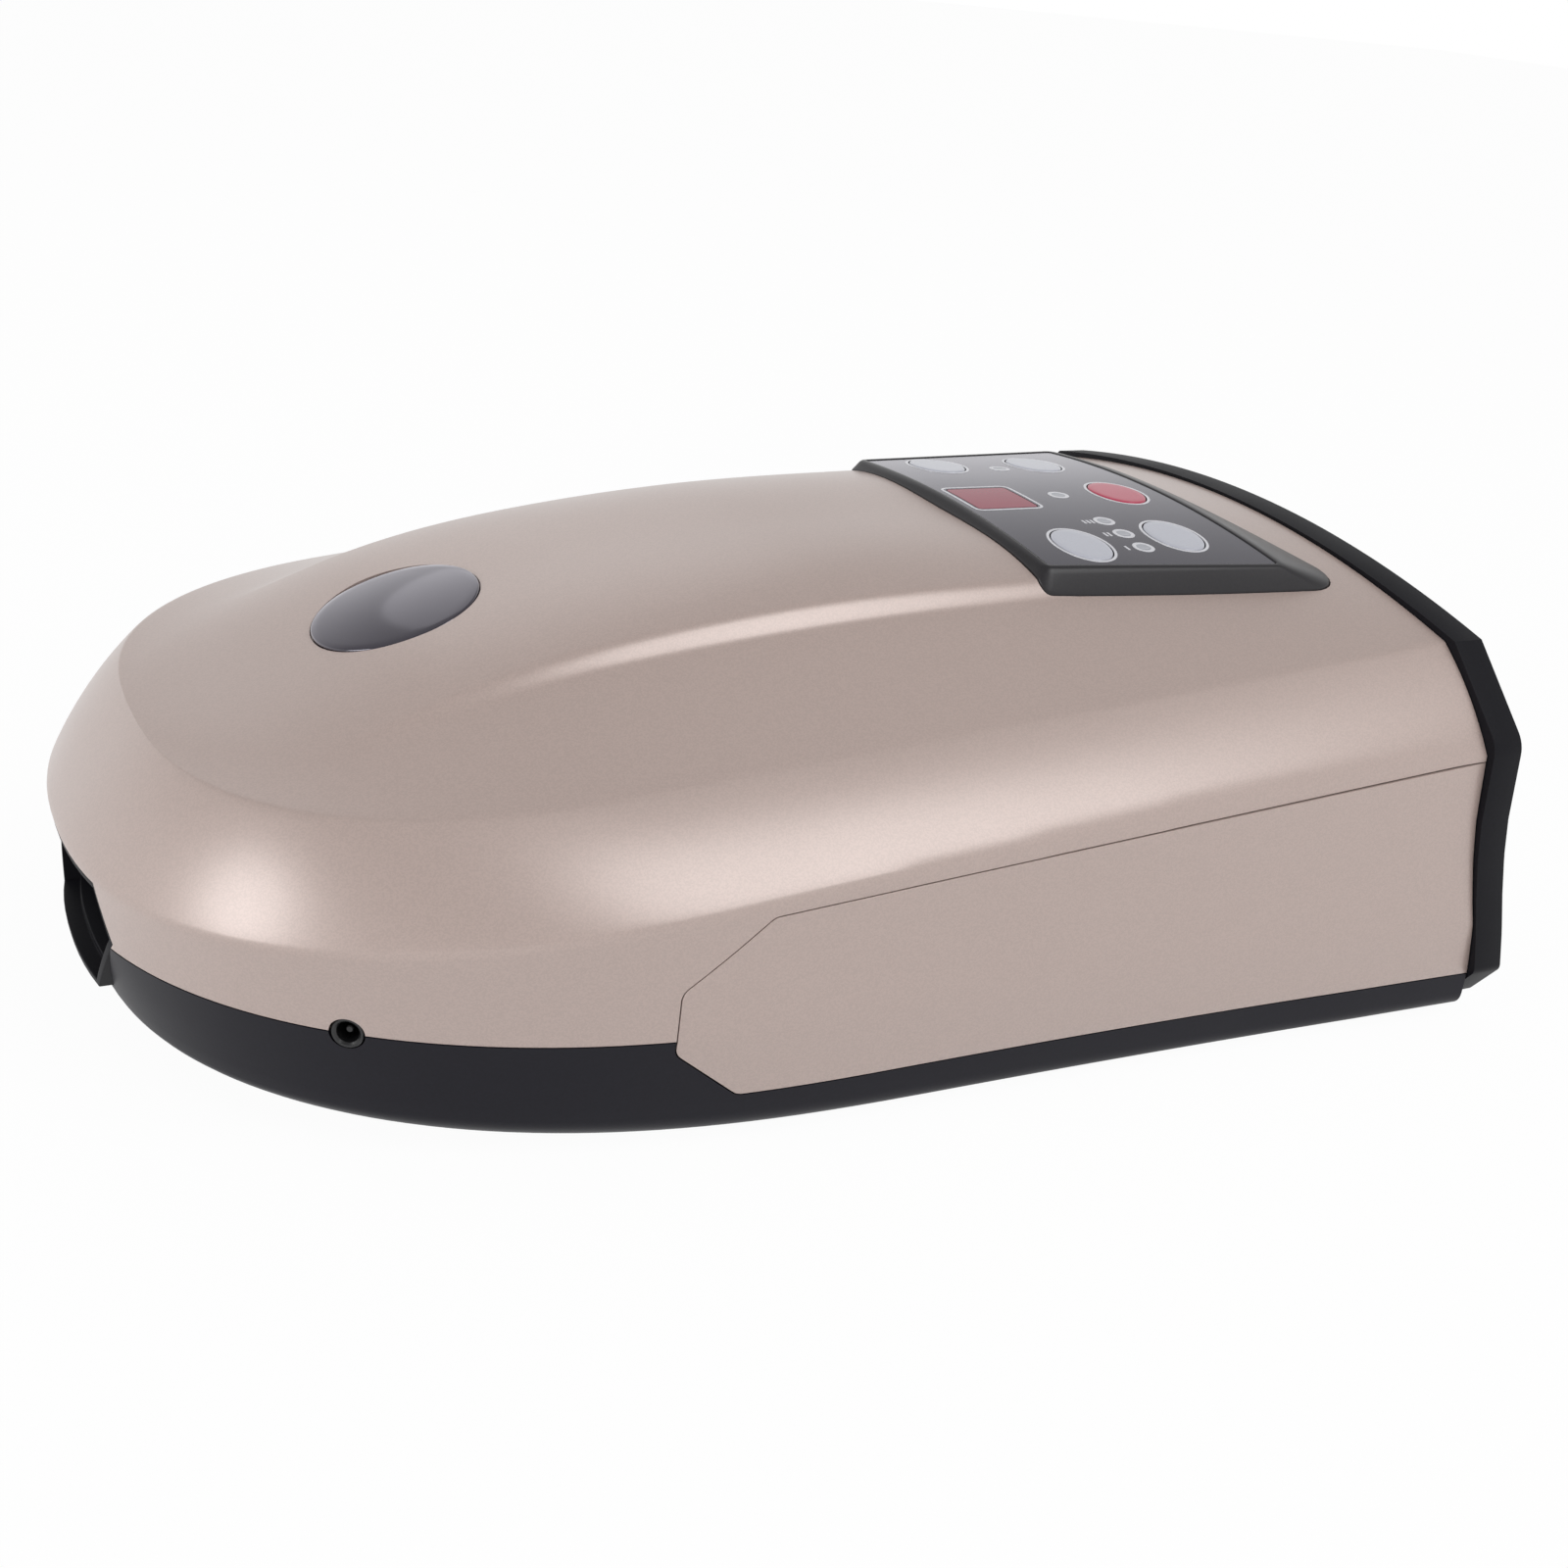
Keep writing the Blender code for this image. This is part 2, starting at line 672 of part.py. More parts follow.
FLOOR = Line(
    HALF_WIDTH - FLOOR_INSET,
    HALF_WIDTH - FLOOR_INSET,
    NOSE_X + FLOOR_NOSE_INSET,
    SILL_STRAIGHT_X,
    SILL_POWER,
    (FLOOR_Z, FLOOR_Z, FLOOR_Z),
)


def spine_height(x):
    """Height of the deck along the middle: a cubic through the shares, with the slope of its neighbours."""
    run = (x - DECK.nose_x) / (DECK.rear_x - DECK.nose_x)
    run = min(max(run, 0.0), 1.0)
    last = len(SPINE_SHARES) - 1
    i = max(k for k in range(last) if SPINE_SHARES[k][0] <= run)
    before, after = SPINE_SHARES[i], SPINE_SHARES[i + 1]
    first = SPINE_SHARES[max(i - 1, 0)]
    final = SPINE_SHARES[min(i + 2, last)]
    width = after[0] - before[0]
    t = (run - before[0]) / width
    slope_in = (after[1] - first[1]) / (after[0] - first[0]) * width
    slope_out = (final[1] - before[1]) / (final[0] - before[0]) * width
    rise = (
        before[1] * (2 * t**3 - 3 * t**2 + 1)
        + slope_in * (t**3 - 2 * t**2 + t)
        + after[1] * (3 * t**2 - 2 * t**3)
        + slope_out * (t**3 - t**2)
    )
    return blend(DECK_NOSE_Z, SPINE_TOP_Z, rise)


def deck_height(x, y):
    """Height of the deck: a crown with the hood's ridge, then a straight band to the crease."""
    half = DECK.half_at(x)
    across = min(abs(y) / half, 1.0) if half > GAP else 0.0
    foot = (HOOD_HALF + HOOD_FLANK) / DECK.half
    if across < foot:
        rise = 1 - (1 - FOOT_RISE_SHARE) * (across / foot) ** CROWN_POWER
    else:
        rise = FOOT_RISE_SHARE * (1 - across) / (1 - foot)
    forward = soft_step((x - HOOD_START_X) / (HOOD_FULL_X - HOOD_START_X))
    inward = soft_step((HOOD_HALF + HOOD_FLANK - abs(y)) / HOOD_FLANK)
    rise += HOOD_RISE_SHARE * forward * inward * min(abs(y) / HOOD_HALF, 1.0) ** 2
    rearward = soft_step((x - BEZEL_FRONT_X) / (BEZEL_REAR_X - BEZEL_FRONT_X))
    edge = DECK.height(x)
    return edge + (spine_height(x) - edge) * blend(rise, 1 - across**REAR_FLATNESS, rearward)


def wall_line(low_line, high_line, share):
    def row(station):
        return low_line.at(station).lerp(high_line.at(station), share)

    return row


def shoulder_line(share):
    """Row of the shoulder: a curve from the wall crease to the deck crease."""

    def row(station):
        low, high = CREASE.at(station), DECK.at(station)
        bend = low.lerp(high, SHOULDER_LEAN_SHARE)
        bend.z = blend(low.z, high.z, SHOULDER_RISE_SHARE)
        return low * (1 - share) ** 2 + bend * (2 * share * (1 - share)) + high * share**2

    return row


def deck_line(share):
    """Row of the deck, from its crease at 0 to the middle at 1. The nose rows fan out from one point."""

    def row(station):
        edge = DECK.at(station)
        middle_x = edge.x if station <= 1 else DECK_STRAIGHT_X
        x, y = blend(edge.x, middle_x, share), edge.y * (1 - share)
        return Vector((x, y, deck_height(x, y)))

    return row


def floor_line(share):
    def row(station):
        edge = FLOOR.at(station)
        middle_x = edge.x if station <= 1 else SILL_STRAIGHT_X
        return Vector((blend(edge.x, middle_x, share), edge.y * (1 - share), edge.z))

    return row


def round_line(share):
    """Row of the rounded lower edge, from the base wall under to the floor."""

    def row(station):
        high = SILL.at(station).lerp(SPLIT.at(station), ROUND_START_SHARE)
        middle = SILL.at(station) * (2 * share * (1 - share))
        return high * (1 - share) ** 2 + middle + FLOOR.at(station) * share**2

    return row


def skin(rows, sides=(-1, 1)):
    """Surface through rows from the near rear corner round the nose to the far rear corner."""
    straight = [k / STRAIGHT_STEPS for k in range(STRAIGHT_STEPS)]
    nose = [1 + k / NOSE_STEPS for k in range(NOSE_STEPS + 1)]
    stations = [(station, sides[0]) for station in straight + nose]
    if len(sides) > 1:
        stations += [(station, sides[1]) for station in reversed(straight + nose[:-1])]
    bm = bmesh.new()
    columns, levels = len(stations) - 1, len(rows) - 1
    bmesh.ops.create_grid(bm, x_segments=columns, y_segments=levels, size=1.0)
    for vert in bm.verts:
        station, side = stations[round((vert.co.x + 1) / 2 * columns)]
        point = rows[round((vert.co.y + 1) / 2 * levels)](station)
        x = point.x if station else SHELL_REAR_X + rear_shift(point.z)
        vert.co = (x, point.y * side, point.z)
    bmesh.ops.remove_doubles(bm, verts=bm.verts, dist=GAP / 30)
    bmesh.ops.dissolve_degenerate(bm, dist=GAP / 30, edges=bm.edges)
    bmesh.ops.recalc_face_normals(bm, faces=bm.faces)
    wall = max(bm.faces, key=lambda face: sides[0] * face.calc_center_median().y)
    if wall.normal.y * sides[0] < 0:
        bmesh.ops.reverse_faces(bm, faces=bm.faces)
    return bm


def split_ends(sign):
    """Outline in X and Z of all that lies beyond the split line, above it for +1 and below it for -1."""
    front, rear = NOSE_X - OVERRUN, REAR_X + OVERRUN
    far_z = HEIGHT + OVERRUN if sign > 0 else -OVERRUN
    xs = [blend(front, rear, k / SPLIT_STEPS) for k in range(SPLIT_STEPS + 1)]
    line = [(x, SPLIT.height(x) - sign * GAP / 2) for x in xs]
    return line + [(rear, far_z), (front, far_z)]


def panel_outline():
    rear_x = REAR_X + OVERRUN
    seam_front_x = PANEL_FRONT_X + PANEL_TOP_CUT_RUN

    def seam(x):
        return PANEL_SEAM_Z + PANEL_SEAM_SLOPE_SHARE * x

    corners = [
        (PANEL_FRONT_X, PANEL_LOW_Z + PANEL_LOW_CUT_RISE),
        (PANEL_FRONT_X + PANEL_LOW_CUT_RUN, PANEL_LOW_Z),
        (rear_x, PANEL_LOW_Z),
        (rear_x, seam(rear_x)),
        (seam_front_x, seam(seam_front_x)),
        (PANEL_FRONT_X, seam(seam_front_x) - PANEL_TOP_CUT_DROP),
    ]
    radii = [PANEL_CORNER, PANEL_CORNER, 0.0, 0.0, PANEL_CORNER, PANEL_CORNER]
    return rounded(corners, radii, steps=2)


def window_outline(inset=0.0):
    corners = [
        (-WINDOW_LOW_HALF, WINDOW_LOW_Z),
        (WINDOW_LOW_HALF, WINDOW_LOW_Z),
        (WINDOW_SIDE_HALF, WINDOW_SIDE_Z),
        (WINDOW_TOP_HALF, WINDOW_TOP_Z),
        (-WINDOW_TOP_HALF, WINDOW_TOP_Z),
        (-WINDOW_SIDE_HALF, WINDOW_SIDE_Z),
    ]
    return refined(grown(corners, -inset), WINDOW_STEPS)


def liner_rear_outline(inset=0.0):
    narrow = LINER_REAR_HALF - LINER_SIDE_INSET
    middle_z = (LINER_REAR_LOW_Z + LINER_REAR_TOP_Z) / 2
    corners = [
        (-narrow, LINER_REAR_LOW_Z),
        (narrow, LINER_REAR_LOW_Z),
        (LINER_REAR_HALF, middle_z),
        (narrow, LINER_REAR_TOP_Z),
        (-narrow, LINER_REAR_TOP_Z),
        (-LINER_REAR_HALF, middle_z),
    ]
    return refined(grown(corners, -inset), WINDOW_STEPS)


def mouth_outline(inset=0.0):
    corners = [
        (-MOUTH_HALF, MOUTH_LOW_Z),
        (MOUTH_HALF, MOUTH_LOW_Z),
        (MOUTH_HALF, MOUTH_TOP_Z),
        (-MOUTH_HALF, MOUTH_TOP_Z),
    ]
    return grown(rounded(corners, [MOUTH_CORNER] * 4), -inset)


def trim_outline(inset=0.0):
    points = [
        (-TRIM_FOOT_HALF, TRIM_FOOT_Z),
        (TRIM_FOOT_HALF, TRIM_FOOT_Z),
        (TRIM_LOW_HALF, TRIM_LOW_Z),
        (TRIM_CHEEK_HALF, TRIM_CHEEK_Z),
    ]
    for k in range(TRIM_ARC_STEPS + 1):
        across = 1 - 2 * k / TRIM_ARC_STEPS
        points.append((TRIM_SHOULDER_HALF * across, blend(HEIGHT, TRIM_SHOULDER_Z, across * across)))
    points.append((-TRIM_CHEEK_HALF, TRIM_CHEEK_Z))
    points.append((-TRIM_LOW_HALF, TRIM_LOW_Z))
    radii = [TRIM_CHEEK_ROUND if abs(point[0]) == TRIM_CHEEK_HALF else 0.0 for point in points]
    return grown(rounded(points, radii), -inset)


def pad_outline(inset=0.0):
    near = [(PAD_FRONT_X, -PAD_HALF), (PAD_REAR_X, -PAD_HALF)]
    corners = near + [(PAD_REAR_X, PAD_HALF), (PAD_FRONT_X, PAD_HALF)]
    return grown(rounded(corners, [PAD_CORNER] * 4), -inset)


def display_outline(grow=0.0):
    half_x, half_y = DISPLAY_LONG / 2 + grow, DISPLAY_WIDE / 2 + grow
    corners = [
        (DISPLAY_X - half_x, -half_y),
        (DISPLAY_X + half_x, -half_y),
        (DISPLAY_X + half_x, half_y),
        (DISPLAY_X - half_x, half_y),
    ]
    return rounded(corners, [max(DISPLAY_CORNER + grow, 0.0)] * 4, steps=2)


# Places of what repeats
def both_sides(x, y):
    return [(x, -y), (x, y)]


def post_places():
    return [p for x, y in POST_PLACE_SHARES for p in both_sides(x * LENGTH, y * HALF_WIDTH)]


def foot_places():
    return [p for x, y in FOOT_PLACE_SHARES for p in both_sides(x * LENGTH, y * HALF_WIDTH)]


def tray_post_places():
    return [p for x in (TRAY_POST_FRONT_X, TRAY_POST_REAR_X) for p in both_sides(x, TRAY_POST_Y)]


def main_board_post_places():
    xs = (MAIN_BOARD_FRONT_X + BOARD_POST_INSET, MAIN_BOARD_REAR_X - BOARD_POST_INSET)
    return [p for x in xs for p in both_sides(x, MAIN_BOARD_HALF - BOARD_POST_INSET)]


def control_post_places():
    xs = (CONTROL_BOARD_FRONT_X + BOARD_POST_INSET, CONTROL_BOARD_REAR_X - BOARD_POST_INSET)
    return [p for x in xs for p in both_sides(x, CONTROL_BOARD_HALF - BOARD_POST_INSET)]


def light_places():
    near = [(LIGHT_X, -LIGHT_FIRST_Y - k * LIGHT_PITCH) for k in range(3)]
    return near + [(LIGHT_X, 0.0), (LIGHT_X, FAR_LIGHT_Y)]


KEY_PLACES = {
    "key_timer": (TIMER_X, -TIMER_Y),
    "key_pressure": (PRESSURE_X, -PRESSURE_Y),
    "key_heat": (TIMER_X, TIMER_Y),
    "key_mode": (PRESSURE_X, PRESSURE_Y),
    "key_power": (POWER_X, 0.0),
}


# Heights that follow from the stack of pieces in the tunnel
LOWER_BAG_Z = TRAY_FLOOR_Z + TRAY_WALL + GAP
PALM_PLATE_Z = LOWER_BAG_Z + LOWER_BAG_THICK + GAP
HEATER_Z = PALM_PLATE_Z + PALM_PLATE_THICK + GAP
PALM_PAD_Z = HEATER_Z + HEATER_THICK + GAP
UPPER_BAG_Z = TRAY_ROOF_Z - TRAY_WALL - GAP - UPPER_BAG_THICK
PRESS_PLATE_Z = UPPER_BAG_Z - GAP - PRESS_PLATE_THICK
UPPER_PAD_Z = PRESS_PLATE_Z - GAP

# Heights of the controls, from the top of the film down
PLATE_TOP = -(FILM_THICK + GAP)
PLATE_BOTTOM = PLATE_TOP - BEZEL_WALL
FLANGE_TOP = PLATE_BOTTOM - GAP
FLANGE_BOTTOM = FLANGE_TOP - KEY_FLANGE_THICK
SWITCH_TOP_Z = CONTROL_BOARD_TOP_Z + SWITCH_HEIGHT + SWITCH_BUTTON_HEIGHT
STEM_LOW_Z = SWITCH_TOP_Z + KEY_TRAVEL + STEM_CLEAR


def edge_chain(x, half, corner, inward):
    """Points across one end of the controls, from the near side to the far side, with turned corners."""
    points = []
    quarter = [math.pi / 2 * k / CORNER_STEPS for k in range(CORNER_STEPS + 1)]
    for turn in reversed(quarter):
        y = -(half - corner) - corner * math.sin(turn)
        points.append((x + inward * corner * (1 - math.cos(turn)), y))
    for k in range(1, CONTROL_STRIPS):
        points.append((x, blend(-(half - corner), half - corner, k / CONTROL_STRIPS)))
    for turn in quarter:
        points.append((x + inward * corner * (1 - math.cos(turn)), half - corner + corner * math.sin(turn)))
    return points


def control_loop(inset, on_plateau=True):
    """Rear and front chains of the raised plateau or of the bezel's foot, drawn in by an inset."""
    slant = (BEZEL_REAR_HALF - BEZEL_FRONT_HALF) / (BEZEL_REAR_X - BEZEL_FRONT_X)
    front_x, rear_x, flank = BEZEL_FRONT_X, BEZEL_REAR_X, 0.0
    front_corner, rear_corner = BEZEL_FRONT_CORNER, BEZEL_CORNER
    if on_plateau:
        front_x += PLATEAU_FRONT_RIM
        rear_x -= PLATEAU_REAR_SLOPE
        flank = PLATEAU_SIDE_FLANK
        front_corner = rear_corner = PLATEAU_CORNER
    front_half = BEZEL_FRONT_HALF + slant * (front_x - BEZEL_FRONT_X) - flank
    rear_half = BEZEL_FRONT_HALF + slant * (rear_x - BEZEL_FRONT_X) - flank
    least = GAP
    rear = edge_chain(rear_x - inset, rear_half - inset, max(rear_corner - inset, least), -1)
    if not on_plateau:
        rear = [(x - BEZEL_REAR_BOW * max(1 - (y / rear_half) ** 2, 0.0), y) for x, y in rear]
    front = edge_chain(front_x + inset, front_half - inset, max(front_corner - inset, least), 1)
    return rear, front


def crown(y):
    return FILM_TOP_Z - FILM_CROWN * (y / BEZEL_REAR_HALF) ** 2


def on_film(level):
    return lambda x, y: crown(y) + level


def on_deck(level):
    return lambda x, y: deck_height(x, y) + level


def add_ring(bm, chains, height):
    rear, front = chains
    loop = rear + front[::-1]
    return [bm.verts.new((x, y, height(x, y))) for x, y in loop]


def join_rings(bm, first, second):
    count = len(first)
    for i in range(count):
        j = (i + 1) % count
        bm.faces.new((first[i], first[j], second[j], second[i]))


def cap_ring(bm, ring):
    """Closes a ring of rear and front chains with flat triangles that run from front to rear."""
    half = len(ring) // 2
    rear, front = ring[:half], ring[half:][::-1]
    for k in range(half - 1):
        bm.faces.new((rear[k], rear[k + 1], front[k + 1]))
        bm.faces.new((rear[k], front[k + 1], front[k]))


def slice_across(bm):
    """Cuts a flat piece into strips, so that it can take the crown of the controls."""
    count = math.ceil(BEZEL_REAR_HALF / CONTROL_SLICE)
    for k in range(-count, count + 1):
        bmesh.ops.bisect_plane(
            bm,
            geom=bm.verts[:] + bm.edges[:] + bm.faces[:],
            dist=GAP / 30,
            plane_co=(0.0, k * CONTROL_SLICE, 0.0),
            plane_no=(0.0, 1.0, 0.0),
        )


def crowned(bm):
    """Lifts a piece drawn flat, at heights from the film's top, onto the crown of the controls."""
    slice_across(bm)
    for vert in bm.verts:
        vert.co.z += crown(vert.co.y)
    bmesh.ops.recalc_face_normals(bm, faces=bm.faces)
    return bm


def leaned(bm, whole=True):
    """Bends a piece at the hand entry to the end of the casing, or no more than its rear end."""
    for level in HEEL_SHARES[1:]:
        bmesh.ops.bisect_plane(
            bm,
            geom=bm.verts[:] + bm.edges[:] + bm.faces[:],
            dist=GAP / 30,
            plane_co=(0.0, 0.0, level[0] * HEIGHT),
            plane_no=(0.0, 0.0, 1.0),
        )
    for vert in bm.verts:
        lean = -REAR_LEAN * vert.co.z / HEIGHT
        moves = whole or vert.co.x > REAR_X - TRIM_DEPTH / 2
        vert.co.x += rear_shift(vert.co.z) if moves else lean
    return bm


def add_turned(bm, frame, profile, steps=ROUND_STEPS, turn=0.0):
    """Turns a profile of (radius, height) pairs round a frame's Z. It starts and ends on the axis."""
    rings = []
    for radius, height in profile:
        if radius == 0.0:
            rings.append([bm.verts.new(frame @ Vector((0.0, 0.0, height)))])
            continue
        angles = [turn + 2 * math.pi * k / steps for k in range(steps)]
        points = [Vector((radius * math.cos(t), radius * math.sin(t), height)) for t in angles]
        rings.append([bm.verts.new(frame @ point) for point in points])
    for low, high in zip(rings, rings[1:]):
        for i in range(steps):
            j = (i + 1) % steps
            corners = [low[i % len(low)], low[j % len(low)], high[j % len(high)], high[i % len(high)]]
            bm.faces.new(list(dict.fromkeys(corners)))
    return rings


def turned(name, profile, frame, finish, origin=(0.0, 0.0, 0.0), steps=ROUND_STEPS):
    bm = bmesh.new()
    add_turned(bm, frame, profile, steps)
    bmesh.ops.recalc_face_normals(bm, faces=bm.faces)
    return place(name, bm, finish, origin)


def block(profile_side, height, top_side=0.0, top_height=0.0):
    """Profile of a square block, with a smaller square on it, for four steps of turning."""
    corner = profile_side / math.sqrt(2)
    profile = [(0.0, 0.0), (corner, 0.0), (corner, height)]
    if top_side:
        top_corner = top_side / math.sqrt(2)
        profile += [(top_corner, height), (top_corner, height + top_height)]
    return profile + [(0.0, profile[-1][1])]


def at(x, y, z):
    return Matrix.Translation((x, y, z))


def along_x(x, y, z, sign=1):
    return Matrix.Translation((x, y, z)) @ Matrix.Rotation(sign * math.pi / 2, 4, "Y")


def badge_frame():
    """Matrix of the badge's seat: its centre on the deck, and Z square to the deck there."""
    reach = BADGE_RADIUS
    ahead, behind = spine_height(BADGE_X - reach), spine_height(BADGE_X + reach)
    slope = (behind - ahead) / (2 * reach)
    middle = ((ahead + behind) / 2 + spine_height(BADGE_X)) / 2
    return at(BADGE_X, 0.0, middle) @ Matrix.Rotation(-math.atan(slope), 4, "Y")


def jack_frame():
    """Matrix of the power inlet: its centre on the split line, and Z out of the casing."""
    ahead = SPLIT.half_at(JACK_X + JACK_COLLAR_RADIUS)
    behind = SPLIT.half_at(JACK_X - JACK_COLLAR_RADIUS)
    outward = Vector((behind - ahead, -2 * JACK_COLLAR_RADIUS, 0.0)).normalized()
    seat = Vector((JACK_X, -SPLIT.half_at(JACK_X), SPLIT.height(JACK_X)))
    return Matrix.Translation(seat) @ outward.to_track_quat("Z", "X").to_matrix().to_4x4()


def shell_top(x, y):
    """Height of the shell's outer face over a point, on the deck or on the shoulder beyond it."""
    half = DECK.half_at(x)
    if abs(y) <= half:
        return deck_height(x, y)
    out = (abs(y) - half) / (CREASE.half_at(x) - half)
    return blend(DECK.height(x), CREASE.height(x), out * out)


def nose_wall_x(y, z):
    """Place along X of the finger window's face: on the nose wall, and nearly upright below the split."""
    if z > SPLIT_NOSE_Z:
        share = (z - SPLIT_NOSE_Z) / (CREASE_NOSE_Z - SPLIT_NOSE_Z)
        return blend(SPLIT.nose_at(y), CREASE.nose_at(y), share)
    return SPLIT.nose_at(y) + WINDOW_LEAN * (SPLIT_NOSE_Z - z) / (SPLIT_NOSE_Z - WINDOW_LOW_Z)


# Casing
def build_shared_cutters():
    """Cutters that more than one casing piece shares."""
    shared = {}
    bm = bmesh.new()
    for side in (-1, 1):
        reach = side * (HALF_WIDTH - PANEL_REACH), side * (SPLIT.rear_half + OVERRUN)
        add_prism(bm, grown(panel_outline(), GAP), min(reach), max(reach), sideways)
    shared["panels"] = cutter("panel_cutter", bm)
    bm = bmesh.new()
    rear_x = NOSE_X + WINDOW_FRAME_DEPTH + OVERRUN
    add_prism(bm, grown(window_outline(), GAP), NOSE_X - OVERRUN, rear_x, lengthways)
    shared["window"] = cutter("window_cutter", bm)
    bm = bmesh.new()
    add_rod_in(bm, jack_frame(), JACK_COLLAR_RADIUS + GAP, -OVERRUN, OVERRUN)
    shared["jack"] = cutter("jack_cutter", bm)
    return shared


def add_rod_in(bm, frame, radius, low, high, steps=ROUND_STEPS):
    add_rod(bm, frame @ Vector((0.0, 0.0, low)), frame @ Vector((0.0, 0.0, high)), radius, steps=steps)


def build_upper_shell(shared):
    foot_share = 1 - (HOOD_HALF + HOOD_FLANK) / DECK.half
    ridge_share = 1 - HOOD_HALF / DECK.half
    rows = [
        wall_line(SPLIT, CREASE, -SPLIT_SPARE_SHARE),
        wall_line(SPLIT, CREASE, 0.5),
        wall_line(SPLIT, CREASE, 1.0),
        shoulder_line(0.3),
        shoulder_line(0.65),
        shoulder_line(1.0),
        deck_line(foot_share * 0.33),
        deck_line(foot_share * 0.67),
        deck_line(foot_share),
        deck_line(ridge_share),
        deck_line(blend(ridge_share, 1, 0.35)),
        deck_line(blend(ridge_share, 1, 0.7)),
        deck_line(1.0),
    ]
    shell = place("upper_shell", skin(rows), CHAMPAGNE)
    thicken(shell, WALL)
    bosses = bmesh.new()
    for x, y in post_places():
        boss_top_z = shell_top(x, y) - WALL * 0.8
        add_rod(bosses, (x, y, POST_TOP_Z + GAP), (x, y, boss_top_z), BOSS_RADIUS, steps=HOLE_STEPS)
    combine(shell, cutter("shell_bosses", bosses), "UNION")
    bores = bmesh.new()
    for x, y in post_places():
        top_z = SCREW_SEAT_Z + SCREW_LENGTH + WALL
        add_rod(bores, (x, y, POST_TOP_Z - WALL), (x, y, top_z), SCREW_RADIUS + SCREW_CLEAR, steps=HOLE_STEPS)
    combine(shell, cutter("shell_bores", bores), "DIFFERENCE")
    opening = bmesh.new()
    rear, front = control_loop(-GAP, on_plateau=False)
    add_prism(opening, rear + front[::-1], CONTROL_BOARD_TOP_Z - OVERRUN * 2, FILM_TOP_Z + OVERRUN, flat)
    combine(shell, cutter("bezel_opening", opening), "DIFFERENCE")
    seat = bmesh.new()
    add_rod_in(seat, badge_frame(), BADGE_RADIUS + GAP, -BADGE_SEAT_DEPTH - GAP, OVERRUN, steps=BADGE_STEPS)
    combine(shell, cutter("badge_seat", seat), "DIFFERENCE")
    below = bmesh.new()
    add_prism(below, split_ends(-1), -SPLIT.rear_half - OVERRUN, SPLIT.rear_half + OVERRUN, sideways)
    combine(shell, cutter("below_split", below), "DIFFERENCE")
    for name in ("panels", "window", "jack"):
        combine(shell, shared[name], "DIFFERENCE")


def build_base_tray(shared):
    rows = [
        wall_line(SPLIT, SILL, -SPLIT_SPARE_SHARE),
        wall_line(SPLIT, SILL, (1 - ROUND_START_SHARE) / 2),
        round_line(0.0),
        round_line(0.35),
        round_line(0.7),
        round_line(1.0),
        floor_line(0.35),
        floor_line(1.0),
    ]
    base = place("base_tray", skin(rows), BLACK)
    thicken(base, WALL)
    posts = bmesh.new()
    low_z = FLOOR_Z + WALL / 2
    for x, y in post_places():
        add_rod(posts, (x, y, low_z), (x, y, POST_TOP_Z), POST_RADIUS, steps=HOLE_STEPS)
    for x, y in tray_post_places():
        add_rod(posts, (x, y, low_z), (x, y, TRAY_FLOOR_Z - GAP), TRAY_POST_RADIUS, steps=HOLE_STEPS)
    under_z = MAIN_BOARD_TOP_Z - BOARD_THICK
    for x, y in main_board_post_places():
        add_staked_post(posts, x, y, under_z, 1, under_z - low_z)
    combine(base, cutter("base_posts", posts), "UNION")
    holes = bmesh.new()
    bore = SCREW_RADIUS + SCREW_CLEAR
    for x, y in post_places():
        head = SCREW_HEAD_RADIUS + GAP
        top_z = POST_TOP_Z + WALL
        profile = [(0.0, -WALL), (head, -WALL), (head, SCREW_SEAT_Z)]
        profile += [(bore, SCREW_SEAT_Z), (bore, top_z), (0.0, top_z)]
        add_turned(holes, at(x, y, 0.0), profile, steps=HOLE_STEPS)
    for x, y in tray_post_places():
        add_rod(holes, (x, y, FLOOR_Z + WALL), (x, y, TRAY_FLOOR_Z + WALL), bore, steps=HOLE_STEPS)
    for x, y in foot_places():
        add_rod(holes, (x, y, -WALL), (x, y, FLOOR_Z + FOOT_SEAT), FOOT_RADIUS + GAP)
    combine(base, cutter("base_holes", holes), "DIFFERENCE")
    above = bmesh.new()
    add_prism(above, split_ends(1), -SPLIT.rear_half - OVERRUN, SPLIT.rear_half + OVERRUN, sideways)
    combine(base, cutter("above_split", above), "DIFFERENCE")
    for name in ("panels", "window", "jack"):
        combine(base, shared[name], "DIFFERENCE")


def build_side_panels():
    rows = [
        round_line(0.0),
        wall_line(SPLIT, SILL, (1 - ROUND_START_SHARE) / 2),
        wall_line(SPLIT, SILL, 0.0),
        wall_line(SPLIT, CREASE, 0.25),
        wall_line(SPLIT, CREASE, 0.5),
        wall_line(SPLIT, CREASE, 0.65),
        wall_line(SPLIT, CREASE, 1.0),
    ]
    for name, side in (("side_panel_near", -1), ("side_panel_far", 1)):
        panel = place(name, skin(rows, sides=(side,)), CHAMPAGNE)
        thicken(panel, WALL)
        bm = bmesh.new()
        reach = side * (HALF_WIDTH - PANEL_REACH), side * (SPLIT.rear_half + OVERRUN)
        add_prism(bm, panel_outline(), min(reach), max(reach), sideways)
        combine(panel, cutter(name + "_outline", bm), "INTERSECT")


